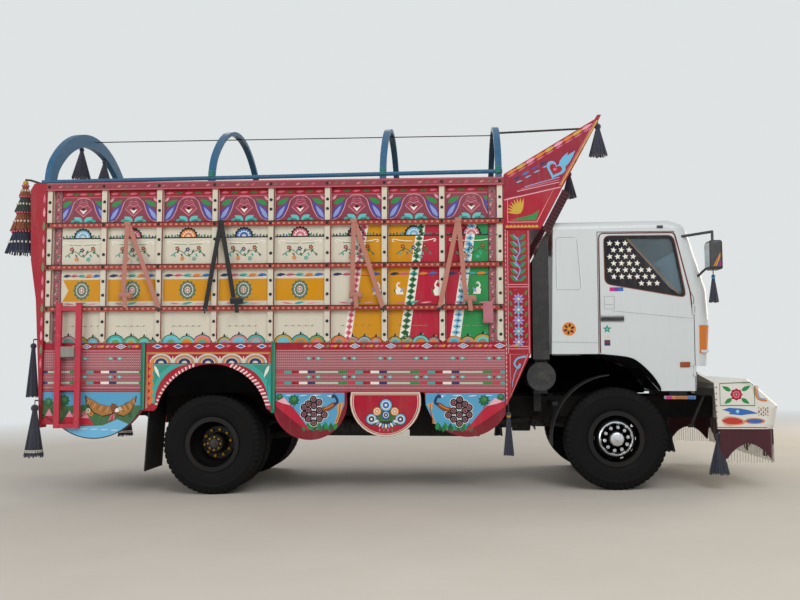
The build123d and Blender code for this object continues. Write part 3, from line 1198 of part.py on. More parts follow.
def seats(room):
    """Two seats and the bunk behind them, each resting on the cab floor."""
    pieces = []
    for side in (-1, 1):
        y = side * SEAT_Y
        pedestal = box(-60, 330, y - 170, y + 170, 1000, CUSHION_Z) & room
        cushion = fillet(box(-110, 400, y - 250, y + 250, CUSHION_Z, CUSHION_Z + 120).edges(), 35)
        back = fillet(box(-170, -50, y - 240, y + 240, CUSHION_Z + 80, CUSHION_Z + 830).edges(), 35)
        pieces.append(pedestal + cushion + back)
    bunk = box(CAB_REAR_X + 60, -260, -1080, 1080, 1000, CUSHION_Z + 110) & room
    return pieces + [bunk]


def dashboard(room):
    """Dashboard across the cab with the steering column and wheel before the right seat."""
    steps = [(650, 1600), (960, 1600), (960, 2090), (840, 2090), (690, 2000), (620, 1860)]
    board = side_plate(steps, -1148, 1148) & room
    tilt = Pos(WHEEL_HUB[0], -SEAT_Y, WHEEL_HUB[1]) * Rot(0, -WHEEL_RAKE, 0)
    wheel = tilt * Torus(STEERING_WHEEL_RADIUS, 15)
    hub = tilt * Cylinder(38, 34)
    spoke = Pos(STEERING_WHEEL_RADIUS / 2, 0, 0) * Box(STEERING_WHEEL_RADIUS, 34, 12)
    spokes = [tilt * Rot(0, 0, angle) * spoke for angle in (0, 120, 240)]
    x, z, lean = WHEEL_HUB[0], WHEEL_HUB[1], radians(WHEEL_RAKE)
    foot = (x + COLUMN_LENGTH * sin(lean), -SEAT_Y, z - COLUMN_LENGTH * cos(lean))
    column = rod((x, -SEAT_Y, z), foot, 32)
    return board + wheel + hub + spokes + column


MIRROR_REACH = 150.0
MIRROR_Y = CAB_HALF_WIDTH + MIRROR_REACH
MIRROR_X = 960.0
MIRROR_LOW_Z = 2322.0
MIRROR_TOP_Z = 2620.0


def mirrors(skin):
    """Mirror heads on bent arms from the front corners of the cab."""
    head = box(905, 1040, -MIRROR_Y - 95, -MIRROR_Y + 95, MIRROR_LOW_Z, MIRROR_TOP_Z)
    head = fillet(head.edges(), 28)
    elbow = (MIRROR_X, -MIRROR_Y, MIRROR_TOP_Z + 95)
    arm = rod((MIRROR_X, -MIRROR_Y, MIRROR_TOP_Z - 20), elbow, 14) + Pos(*elbow) * Sphere(14)
    arm += rod(elbow, (690, -CAB_HALF_WIDTH + 20, 2690), 14)
    arm += rod((MIRROR_X, -MIRROR_Y, 2400), (820, -CAB_HALF_WIDTH + 80, 2240), 12)
    return both(head + (arm - skin))


def mirror_tassels():
    return both(tassel(MIRROR_X, -MIRROR_Y, MIRROR_LOW_Z - 40 - SEAT, 1990, 20, 46))


def cab_pieces():
    outer = cab_volume(0)
    sides = [e for e in outer.edges() if abs(abs(e.center().Y) - CAB_HALF_WIDTH) < 1]
    outer = fillet([e for e in sides if e.center().Z > CAB_ROOF_Z - 25], CAB_ROOF_ROUND)
    hollow = cab_volume(CAB_WALL)
    room = cab_volume(CAB_WALL + SEAT)
    leaf = door(outer, hollow)
    glass = door_glass()
    return {
        "cab_shell": cab_shell(outer, hollow),
        "door_right": leaf,
        "door_glass_right": glass,
        "windscreen": windscreen(),
        "front_grille": front_grille(outer),
        "corner_lamps": corner_lamps(),
        "seats": seats(room),
        "dashboard": dashboard(room),
        "mirrors": mirrors(outer),
        "mirror_tassels": mirror_tassels(),
    }


def springs():
    front, rear = spring_seats()
    pieces = both(leaf_spring(0, front, SPRING_EYE_Z, FRONT_SPRING_HALF, FRONT_LEAVES))
    return pieces + both(leaf_spring(REAR_AXLE_X, rear, SPRING_EYE_Z, REAR_SPRING_HALF, REAR_LEAVES))


def hung_pieces(carriers):
    """What hangs on other pieces, trimmed to them."""
    return {
        "ridge_pole": ridge_pole(carriers["prow"]),
        "rear_ornaments": rear_ornaments(carriers["rear_frame"]),
        "tassels": tassels(
            carriers["roof_hoops"], carriers["rear_frame"], carriers["front_columns"],
            carriers["prow"], carriers["bumper"], carriers["bumper_skirt"],
        ),
    }


pieces = {
    "chassis_frame": chassis_frame(),
    "tow_jaw": tow_jaw(),
    "engine_block": engine_block(),
    "radiator": radiator(),
    "front_axle": front_axle(),
    "rear_axle": rear_axle(),
    "leaf_springs": springs(),
    "chassis_boxes": chassis_boxes(),
    "exhaust": exhaust(),
    "mudguards": mudguards(),
    "bumper": bumper(),
    "headlamps": headlamps(),
    "bumper_skirt": bumper_skirt(),
    "intake_duct": intake_duct(),
    "load_floor": load_floor(),
    "side_walls": both(side_wall()),
    "wall_posts": wall_posts(),
    "wall_rails": wall_rails(),
    "headboard": headboard(),
    "front_columns": front_columns(),
    "prow": prow(),
    "rear_frame": rear_frame(),
    "tailgate": tailgate(),
    "side_skirts": side_skirts(),
    "side_battens": side_battens(),
    "side_ladders": side_ladders(),
    "roof_hoops": roof_hoops(),
    "straps": straps(),
    "knuckle_right": knuckle(),
    "tie_rod": tie_rod(),
    "front_rim_right": FRONT_RIM,
    "front_tyre_right": FRONT_TYRE,
    "rear_rims_right": REAR_RIMS,
    "rear_tyres_right": REAR_TYRES,
    **cab_pieces(),
}
pieces.update(hung_pieces(pieces))
for node in [name for name in pieces if name.endswith("_right")]:
    shape = pieces[node]
    other = [mirrored(one) for one in shape] if isinstance(shape, list) else mirrored(shape)
    pieces[node.replace("_right", "_left")] = other


def stand(shape):
    """Turns a piece nose down about the rear axle, so that both axles' tyres touch Z = 0."""
    return Pos(REAR_AXLE_X, 0, TYRE_RADIUS) * Rot(0, RAKE_DEG, 0) * Pos(-REAR_AXLE_X, 0, -TYRE_RADIUS) * shape


standing = {}
for node, shape in pieces.items():
    solids = []
    for one in shape if isinstance(shape, list) else [shape]:
        solids += one.solids()
    standing[node] = [stand(solid) for solid in solids]
rear_x = min(solid.bounding_box().min.X for solid in standing["rear_ornaments"])
front_x = max(solid.bounding_box().max.X for solid in standing["bumper"])
middle_x = (rear_x + front_x) / 2
print("row X is body X plus", round(-middle_x, 3))
for node, solids in standing.items():
    centred = [Pos(-middle_x, 0, 0) * solid for solid in solids]
    export_step(centred[0] if len(centred) == 1 else Compound(children=centred), f"parts/{node}.step")
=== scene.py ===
"""Finishes a decorated cargo truck over its CAD frame: paintings, wheels, cab, soft goods and a studio."""

import random
from math import atan2, cos, hypot, pi, radians, sin

import bmesh
import bpy
from mathutils import Matrix, Vector


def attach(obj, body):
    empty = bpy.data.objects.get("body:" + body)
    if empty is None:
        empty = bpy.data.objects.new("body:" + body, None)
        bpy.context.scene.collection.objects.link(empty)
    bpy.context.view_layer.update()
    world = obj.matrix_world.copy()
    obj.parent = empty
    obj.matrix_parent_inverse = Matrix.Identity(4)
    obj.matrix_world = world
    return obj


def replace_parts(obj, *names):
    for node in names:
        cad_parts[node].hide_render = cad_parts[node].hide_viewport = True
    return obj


bl_info = {
    "name": "Decorated Cargo Truck",
    "version": (1, 0, 0),
    "blender": (4, 5, 0),
    "location": "3D View > Sidebar > Truck",
    "description": "Builds the finish of a decorated cargo truck piece by piece over its CAD frame",
    "category": "Object",
}

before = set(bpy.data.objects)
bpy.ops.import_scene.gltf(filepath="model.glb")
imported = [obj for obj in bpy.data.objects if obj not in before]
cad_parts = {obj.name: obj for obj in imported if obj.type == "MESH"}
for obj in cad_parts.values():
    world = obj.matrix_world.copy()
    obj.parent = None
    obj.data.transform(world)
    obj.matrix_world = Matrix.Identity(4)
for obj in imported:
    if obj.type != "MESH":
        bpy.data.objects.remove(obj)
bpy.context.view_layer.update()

# Body frame: millimetres, x forward from the front axle, z up from the road under the rear axle.
# The truck stands turned nose down by RAKE about the rear axle, with its origin moved along by SHIFT.
RAKE = radians(1.0)
WHEELBASE = 4232.0
TYRE_RADIUS = 526.0
REAR_AXLE_X = -WHEELBASE * cos(RAKE)
FRONT_AXLE_Z = TYRE_RADIUS + WHEELBASE * sin(RAKE)
SHIFT = 2471.106

WALL_Y = 1205.0
SKIRT_Y = 1225.0
POST_Y = 1240.0
RAIL_Y = 1262.0
PROW_Y = 1240.0
CAB_Y = 1200.0
FIRST_POST = -6024.0
POST_PITCH = 606.0
POSTS = 9
STRIP_END = -5889.0
RAIL_TOPS = (1993.0, 2441.0, 2896.0)

# How far paint stands off its board, each coat over the last, and each later shape over its neighbours
LIFT = 1.2
COAT = 0.3
LATER = 0.025
LATER_ROUND = 11
# How far in the inner corners of a star lie
STAR_WAIST = 0.45
HANDS = ((1, "right"), (-1, "left"))

PALETTE = {
    "crimson": "9c1028", "maroon": "8a2f45", "rose": "d4697f", "pink": "e39aa6", "rail": "98302a",
    "orange": "d97b2c", "ochre": "cc8c00", "gold": "c9a23c", "brown": "7a4526", "sand": "d3975a",
    "cream": "d3ccba", "white": "ebe7dc", "grey": "8f9490", "black": "15151a",
    "teal": "35a79d", "turquoise": "5fc4c0", "green": "1f8a47", "leaf": "2c6e3c",
    "sky": "6cb3d6", "blue": "2f6cb5", "navy": "22305f", "purple": "4c4796", "lilac": "8f9bd0",
}


def linear(value):
    return value / 12.92 if value <= 0.04045 else ((value + 0.055) / 1.055) ** 2.4


def tint(name):
    """A palette name, six hex digits or three linear values as linear red, green, blue and one."""
    if not isinstance(name, str):
        return (*name, 1.0)
    digits = PALETTE.get(name, name)
    return tuple(linear(int(digits[i:i + 2], 16) / 255) for i in (0, 2, 4)) + (1.0,)


def place(x, y, z):
    """Body millimetres to the frame's metres."""
    dx, dz = x - REAR_AXLE_X, z - TYRE_RADIUS
    ahead = REAR_AXLE_X + dx * cos(RAKE) + dz * sin(RAKE) + SHIFT
    return Vector((ahead, y, TYRE_RADIUS - dx * sin(RAKE) + dz * cos(RAKE))) / 1000


class TruckSettings(bpy.types.PropertyGroup):
    wear: bpy.props.FloatProperty(
        name="Wear", description="How faded and dusty the paint is", default=0.5, min=0.0, max=1.0,
        subtype="FACTOR")
    cab_colour: bpy.props.FloatVectorProperty(
        name="Cab paint", description="Paint of the cab and doors", default=tint("cdd2d3")[:3],
        subtype="COLOR")
    rail_colour: bpy.props.FloatVectorProperty(
        name="Rail paint", description="Enamel of the long rails", default=tint("rail")[:3], subtype="COLOR")
    frame_colour: bpy.props.FloatVectorProperty(
        name="Frame paint", description="Enamel of the body frame and prow", default=tint("crimson")[:3],
        subtype="COLOR")
    hoop_colour: bpy.props.FloatVectorProperty(
        name="Hoop paint", description="Enamel of the roof hoops", default=tint("2a5f82")[:3],
        subtype="COLOR")
    yarn_colour: bpy.props.FloatVectorProperty(
        name="Tassel yarn", description="Yarn of the hanging tassels", default=tint("1c1f36")[:3],
        subtype="COLOR")
    strands: bpy.props.IntProperty(
        name="Tassel strands", description="Strands of yarn in each tassel", default=64, min=12, max=120)
    lugs: bpy.props.IntProperty(
        name="Shoulder lugs", description="Lugs round each shoulder of a tyre", default=54, min=20, max=80)
    bolt_size: bpy.props.FloatProperty(
        name="Bolt head", description="Radius of the bolt heads on the posts", default=0.017, unit="LENGTH")


# Materials
def feed(tree, node, inputs):
    """Gives a node its inputs; an input is a value or another node's output."""
    for key, value in inputs.items():
        if isinstance(value, bpy.types.NodeSocket):
            tree.links.new(value, node.inputs[key])
        else:
            node.inputs[key].default_value = value


def add(tree, kind, inputs=None, **settings):
    """A new node with its settings and inputs."""
    made = tree.nodes.new(kind)
    for key, value in settings.items():
        setattr(made, key, value)
    feed(tree, made, inputs or {})
    return made


def blend_colours(tree, fac, first, second, mode="MIX"):
    made = add(tree, "ShaderNodeMix", {0: fac, 6: first, 7: second}, data_type="RGBA", blend_type=mode)
    return made.outputs[2]


def spread(tree, value, low, high, to_low, to_high):
    """A value stretched from one range to another and held inside it."""
    made = add(tree, "ShaderNodeMapRange", {0: value, 1: low, 2: high, 3: to_low, 4: to_high})
    return made.outputs[0]


def reckon(tree, operation, first, second=0.5):
    """The result of one arithmetic node."""
    return add(tree, "ShaderNodeMath", {0: first, 1: second}, operation=operation).outputs[0]


def noise(tree, where, scale, detail=5.0, rough=0.6, stretch=None):
    if stretch:
        where = add(tree, "ShaderNodeMapping", {"Vector": where, "Scale": stretch}).outputs[0]
    inputs = {"Vector": where, "Scale": scale, "Detail": detail, "Roughness": rough}
    return add(tree, "ShaderNodeTexNoise", inputs).outputs[0]


def material(name):
    """An empty node material: the tree, its shader, and the object's own coordinates."""
    made = bpy.data.materials.new(name)
    made.use_nodes = True
    tree = made.node_tree
    tree.nodes.clear()
    shader = add(tree, "ShaderNodeBsdfPrincipled")
    tree.links.new(shader.outputs[0], add(tree, "ShaderNodeOutputMaterial").inputs[0])
    return made, tree, shader, add(tree, "ShaderNodeTexCoord").outputs["Object"]


def bump(tree, shader, height, strength, distance):
    made = add(tree, "ShaderNodeBump", {"Height": height, "Strength": strength, "Distance": distance})
    tree.links.new(made.outputs[0], shader.inputs["Normal"])


# Where painted shade darkens the cab's paint, in metres: between its doors, under its floor and behind its
# nose
CAB_INSIDE_Y = 1.15
CAB_FLOOR_Z = 1.415
CAB_NOSE_X = 3.22


def cab_shade_mask(tree, where):
    """Mask of painted shade: one under the cab's floor and between its doors, nought on its outer skin."""
    x, y, z = add(tree, "ShaderNodeSeparateXYZ", {0: where}).outputs
    inner = reckon(tree, "LESS_THAN", reckon(tree, "ABSOLUTE", y), CAB_INSIDE_Y)
    low = reckon(tree, "LESS_THAN", z, CAB_FLOOR_Z)
    behind = reckon(tree, "LESS_THAN", x, CAB_NOSE_X)
    return reckon(tree, "MULTIPLY", reckon(tree, "MULTIPLY", inner, low), behind)


# How much of the paint is washed out and how much is dusty at full wear
WASHED_OUT = 0.16
DUSTY = 0.34


def painted(name, colour, wear, rough=0.42, coat=0.0, under="5a4a3c", chips=0.5, dust="9c8c74",
            underside=False):
    """Brushed enamel, faded, dusty, chipped and with brush marks; no colour means the mesh's own colours;
    underside adds painted shade under the cab.
    """
    made, tree, shader, where = material(name)
    if colour is None:
        base = add(tree, "ShaderNodeAttribute", attribute_name="paint").outputs["Color"]
    else:
        base = tint(colour)
    faded = noise(tree, where, 2.2)
    washed = blend_colours(tree, spread(tree, faded, 0.35, 0.8, 0.0, WASHED_OUT * wear), base, tint("a8988a"))
    streaks = noise(tree, where, 3.0, 6.0, 0.7, (5.0, 5.0, 0.6))
    dusty = blend_colours(tree, spread(tree, streaks, 0.5, 0.8, 0.0, DUSTY * wear), washed, tint(dust))
    fine = noise(tree, where, 55.0, 8.0, 0.72)
    shade = blend_colours(tree, spread(tree, fine, 0.66 - 0.05 * chips, 0.7, 0.0, chips), dusty, tint(under))
    # Painted shade: the cab's paint turns near black under its floor, between its doors and behind its nose
    if underside:
        shade = blend_colours(tree, cab_shade_mask(tree, where), shade, tint("111214"))
    grime = reckon(tree, "ADD", streaks, fine)
    roughness = spread(tree, grime, 0.7, 1.4, rough, min(rough + 0.3, 1.0))
    feed(tree, shader, {"Base Color": shade, "Roughness": roughness, "Specular IOR Level": 0.15,
                        "Coat Weight": coat, "Coat Roughness": 0.12})
    brushed = noise(tree, where, 40.0, 4.0, 0.6, (1.0, 1.0, 0.25))
    bump(tree, shader, reckon(tree, "ADD", brushed, fine), 0.12, 0.002)
    return made


def patchy(name, colour, dirt, patch, spots, rough, grain, more):
    """A plain stuff, dirty in patches; spots and rough spread the patches' noise over colour and roughness.

    With no grain the patches themselves are the bump.
    """
    made, tree, shader, where = material(name)
    patches = noise(tree, where, *patch)
    shade = blend_colours(tree, spread(tree, patches, *spots), tint(colour), tint(dirt))
    feed(tree, shader, {"Base Color": shade, "Roughness": spread(tree, patches, *rough), **more})
    scale, strength, distance = grain
    bump(tree, shader, noise(tree, where, scale) if scale else patches, strength, distance)
    return made


def rubber(name, colour, dust, rough=0.75, dusty=0.5, shine=0.5):
    """Matt rubber, dustier in patches, with a fine grain."""
    roughness = (0.3, 0.8, rough - 0.15, rough + 0.15)
    return patchy(name, colour, dust, (6.0, 6.0, 0.65), (0.4, 0.75, 0.03, dusty), roughness,
                  (180.0, 0.25, 0.001), {"Specular IOR Level": shine})


def metal(name, colour, rough=0.3, dirt="2a241e", dirty=0.5, metallic=1.0):
    """Bare or plated metal with dirt in patches and small scratches."""
    roughness = (0.3, 0.75, rough, min(rough + 0.35, 1.0))
    return patchy(name, colour, dirt, (22.0, 6.0, 0.7), (0.48, 0.72, 0.0, dirty), roughness,
                  (90.0, 0.1, 0.001), {"Metallic": metallic})


# The heights in metres between which the deck goes from its underside, darkened with painted shade, to bare
# boards
DECK_SHADE_HEIGHTS = (1.19, 1.2)


def timber(name):
    """Bare boards: grain along the truck, grey where trodden, with dark seams and painted shade on the
    underside.
    """
    made, tree, shader, where = material(name)
    grain = noise(tree, where, 9.0, 8.0, 0.7, (0.5, 8.0, 8.0))
    shade = blend_colours(tree, grain, tint("5f4228"), tint("a07a4e"))
    trodden = noise(tree, where, 3.0)
    worn = blend_colours(tree, spread(tree, trodden, 0.45, 0.8, 0.0, 0.6), shade, tint("8b8375"))
    height = add(tree, "ShaderNodeSeparateXYZ", {0: where}).outputs[2]
    seams = add(tree, "ShaderNodeTexWave", {"Vector": where, "Scale": 1.25},
                bands_direction="Y").outputs["Fac"]
    lined = blend_colours(tree, spread(tree, seams, 0.0, 0.03, 0.8, 0.0), worn, tint("2a2018"))
    # Painted shade: below these heights the boards turn near black
    under = blend_colours(tree, spread(tree, height, *DECK_SHADE_HEIGHTS, 1.0, 0.0), lined, tint("15120f"))
    feed(tree, shader, {"Base Color": under, "Roughness": spread(tree, grain, 0.2, 0.8, 0.85, 0.65)})
    bump(tree, shader, grain, 0.4, 0.004)
    return made


def cloth(name, colour, thread, second, sheen=0.3):
    """Woven cloth: crossed threads in bump and in painted shade, a soft sheen and fading."""
    made, tree, shader, where = material(name)
    wave = {"Vector": where, "Scale": thread / 20, "Distortion": 1.5}
    warp, weft = (add(tree, "ShaderNodeTexWave", wave, bands_direction=way).outputs["Fac"]
                  for way in ("X", "Z"))
    weave = reckon(tree, "ADD", warp, weft)
    fade = noise(tree, where, 7.0)
    shade = blend_colours(tree, spread(tree, fade, 0.3, 0.8, 0.0, 0.5), tint(colour), tint(second))
    # Painted shade between the crossed threads: the weave darkens the colour towards black
    lit = blend_colours(tree, spread(tree, weave, 0.4, 1.6, 0.0, 0.35), shade, tint("black"))
    roughness = spread(tree, fade, 0.2, 0.8, 0.8, 0.95)
    feed(tree, shader, {"Base Color": lit, "Roughness": roughness, "Sheen Weight": sheen})
    bump(tree, shader, weave, 0.3, 0.001)
    return made


def glass(name, colour, see_through, rough=0.04):
    """Pane or lens: tinted and clear, with a film of dust that dulls it in patches."""
    return patchy(name, colour, "a8a090", (5.0, 6.0, 0.7), (0.5, 0.85, 0.0, 0.3),
                  (0.45, 0.8, rough, rough + 0.25),
                  (None, 0.02, 0.002), {"Transmission Weight": see_through, "IOR": 1.45})


def plastic(name, colour, rough=0.4, grain=120.0):
    return patchy(name, colour, "6d665c", (12.0,), (0.45, 0.8, 0.0, 0.35), (0.3, 0.8, rough, rough + 0.25),
                  (grain, 0.15, 0.001), {})


FINISHES = {}


def make_finishes(look):
    """Every finish of the truck, by name."""
    wear = look.wear
    FINISHES.update({
        "artwork": painted("Hand painting", None, wear, 0.38, 0.05, "6b5a48", 0.35),
        "frame_red": painted("Frame enamel", look.frame_colour, wear, 0.4, 0.1, "c9a9a0", 0.9),
        "rail_red": painted("Rail enamel", look.rail_colour, wear, 0.4, 0.1, "d8b8a8", 0.9),
        "cream": painted("Cream enamel", "cream", wear, 0.42, 0.1, "8a7660", 0.6),
        "green": painted("Green enamel", "0c7660", wear, 0.42, 0.1),
        "ladder": painted("Ladder enamel", "b92f45", wear, 0.45, 0.05, "e3c9bd", 0.9),
        "hoop": painted("Hoop enamel", look.hoop_colour, wear, 0.4, 0.15, "a9c3c8", 0.9),
        # The cab's paint carries painted shade under its floor and between its doors
        "cab": painted("Cab paint", look.cab_colour, 0.5 * wear, 0.28, 0.5, "8b8f90", 0.15, underside=True),
        "bumper": painted("Bumper enamel", "dedbd2", 0.7 * wear, 0.32, 0.3, "8b7a66", 0.5),
        "black": painted("Chassis black", "111113", wear, 0.5, 0.0, "4a3a2e", 0.4, "3c362f"),
        "rim": painted("Rim black", "08080a", 0.3 * wear, 0.35, 0.25, "2c2722", 0.25, "1e1b18"),
        "iron": metal("Cast iron", "3a3835", 0.55, "17120e", 0.7, 0.4),
        "axle": metal("Greasy iron", "232325", 0.5, "3f352a", 0.6, 0.3),
        "chrome": metal("Chrome", "d9dadd", 0.08, "3b352d", 0.55),
        "brass": metal("Brass nuts", "b58a2e", 0.3, "3a2a14", 0.6),
        "steel": metal("Dark steel", "4a4846", 0.4, "2a211a", 0.6, 0.8),
        "steel_bright": metal("Bright chain", "b9b4a8", 0.25, "4a4238", 0.4),
        "mirror_glass": metal("Mirror glass", "c8d2d8", 0.03, "8a8478", 0.15),
        "tyre": rubber("Tyre rubber", "08080a", "332e28", 0.8, 0.2, 0.15),
        "flap": rubber("Rubber sheet", "0b0b0d", "3a342d", 0.7, 0.25),
        # Near-black finish for boards and flares that stand in for the shade inside arches and behind the cab
        "shade": rubber("Shadow board", "030304", "0b0a09", 0.95, 0.1, 0.05),
        "duct": plastic("Duct plastic", "16171a", 0.42, 60.0),
        "grille": plastic("Grille plastic", "121214", 0.3),
        "dash": plastic("Dashboard plastic", "232427", 0.6, 300.0),
        "mirror": plastic("Mirror shell", "2a2b30", 0.3),
        "white_band": plastic("White wraps", "d8d4c8", 0.6),
        "gold_band": plastic("Yellow wraps", "c99a2a", 0.5),
        "blue_band": plastic("Blue wraps", "3fa3d8", 0.5),
        "rose_bead": plastic("Rose beads", "c8566e", 0.35),
        "amber": glass("Amber lens", "f08a12", 0.35, 0.08),
        "amber_dark": glass("Side marker lens", "a04a10", 0.2, 0.1),
        "clear": glass("Lamp glass", "e6eaee", 0.8, 0.03),
        "window": glass("Window glass", "9fb3bd", 0.85, 0.03),
        "deck": timber("Deck boards"),
        "yarn": cloth("Tassel yarn", look.yarn_colour, 1500.0, "3a3c46", 0.5),
        "yarn_rust": cloth("Rust yarn", "8a4326", 1500.0, "c07a3a"),
        "yarn_green": cloth("Green yarn", "1d4a34", 1500.0, "5c2330"),
        "yarn_navy": cloth("Navy yarn", "1f2a4a", 1500.0, "3f4a66"),
        "strap_pink": cloth("Pink webbing", "c8806f", 1200.0, "a98a78"),
        "strap_black": cloth("Black webbing", "18181b", 1200.0, "3d3a36"),
        "seat": cloth("Cushion cloth", "6d2430", 700.0, "3d1a20", 0.4),
        "maroon_cloth": cloth("Maroon cloth", "400c1a", 900.0, "5c2430"),
        "grey_cloth": cloth("Grey rag", "9a968e", 900.0, "6f6a62"),
        "pink_cloth": cloth("Pink rag", "c4627a", 900.0, "b9b4a8"),
        "teal_cloth": cloth("Teal wraps", "1f8a82", 900.0, "2f6f6a"),
    })


# The CAD nodes of each finish
NODE_FINISHES = {
    "black": "chassis_frame tow_jaw chassis_boxes",
    "iron": "engine_block radiator exhaust",
    "axle": "front_axle rear_axle leaf_springs knuckle_right knuckle_left tie_rod",
    "flap": "mudguards",
    "bumper": "bumper",
    "clear": "headlamps",
    "duct": "intake_duct",
    "deck": "load_floor headboard",
    "cream": "side_walls wall_posts",
    "rail_red": "wall_rails",
    "frame_red": "front_columns prow rear_frame tailgate side_skirts",
    "green": "side_battens",
    "ladder": "side_ladders",
    "hoop": "roof_hoops",
    "steel": "ridge_pole",
    "rim": "front_rim_right front_rim_left rear_rims_right rear_rims_left",
    "cab": "cab_shell door_right door_left",
    "window": "door_glass_right door_glass_left windscreen",
    "grille": "front_grille",
    "amber": "corner_lamps",
    "dash": "dashboard",
    "mirror": "mirrors",
    "tyre": "front_tyre_right front_tyre_left rear_tyres_right rear_tyres_left",
    "strap_pink": "straps",
    "yarn": "tassels mirror_tassels rear_ornaments",
    "maroon_cloth": "bumper_skirt",
    "seat": "seats",
}


def stand(name, data):
    """An object of the data, put into the scene."""
    made = bpy.data.objects.new(name, data)
    bpy.context.collection.objects.link(made)
    return made


def piece(name, points, faces, finish, body, smooth=True):
    """A mesh object of the truck from points in metres, with its finish, riding on a body."""
    mesh = bpy.data.meshes.new(name)
    mesh.from_pydata([tuple(p) for p in points], [], [tuple(f) for f in faces])
    mesh.validate()
    mesh.materials.append(FINISHES[finish])
    if smooth:
        mesh.shade_smooth()
    made = stand(name, mesh)
    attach(made, body)
    return made


# Flat painting
def ring_points(x, z, rx, rz=None, start=0.0, end=360.0, steps=14):
    """Points on a round or oval line; a full turn doesn't repeat its first point."""
    rz = rx if rz is None else rz
    count = steps if abs(end - start) >= 360 else steps + 1
    turns = [radians(start + (end - start) * i / steps) for i in range(count)]
    return [(x + rx * cos(t), z + rz * sin(t)) for t in turns]


def smooth_line(points, steps=5):
    """A smooth line through the points."""
    ends = [points[0], *points, points[-1]]
    line = []
    for i in range(1, len(ends) - 2):
        a, b, c, d = (Vector(ends[i + k]) for k in (-1, 0, 1, 2))
        for k in range(steps):
            t = k / steps
            line.append(tuple(0.5 * (2 * b + (c - a) * t + (2 * a - 5 * b + 4 * c - d) * t**2
                                     + (3 * b - a - 3 * c + d) * t**3)))
    return line + [tuple(points[-1])]


def three_point_arc(first, via, last, steps=20):
    """Points on the circle through three points, from the first to the last."""
    (ax, az), (bx, bz), (cx, cz) = first, via, last
    d = 2 * (ax * (bz - cz) + bx * (cz - az) + cx * (az - bz))
    ux = ((ax**2 + az**2) * (bz - cz) + (bx**2 + bz**2) * (cz - az) + (cx**2 + cz**2) * (az - bz)) / d
    uz = ((ax**2 + az**2) * (cx - bx) + (bx**2 + bz**2) * (ax - cx) + (cx**2 + cz**2) * (bx - ax)) / d
    radius = hypot(ax - ux, az - uz)
    turns = [atan2(z - uz, x - ux) for x, z in (first, via, last)]
    sweep = (turns[2] - turns[0]) % (2 * pi)
    if (turns[1] - turns[0]) % (2 * pi) > sweep:
        sweep -= 2 * pi
    return [(ux + radius * cos(turns[0] + sweep * i / steps), uz + radius * sin(turns[0] + sweep * i / steps))
            for i in range(steps + 1)]


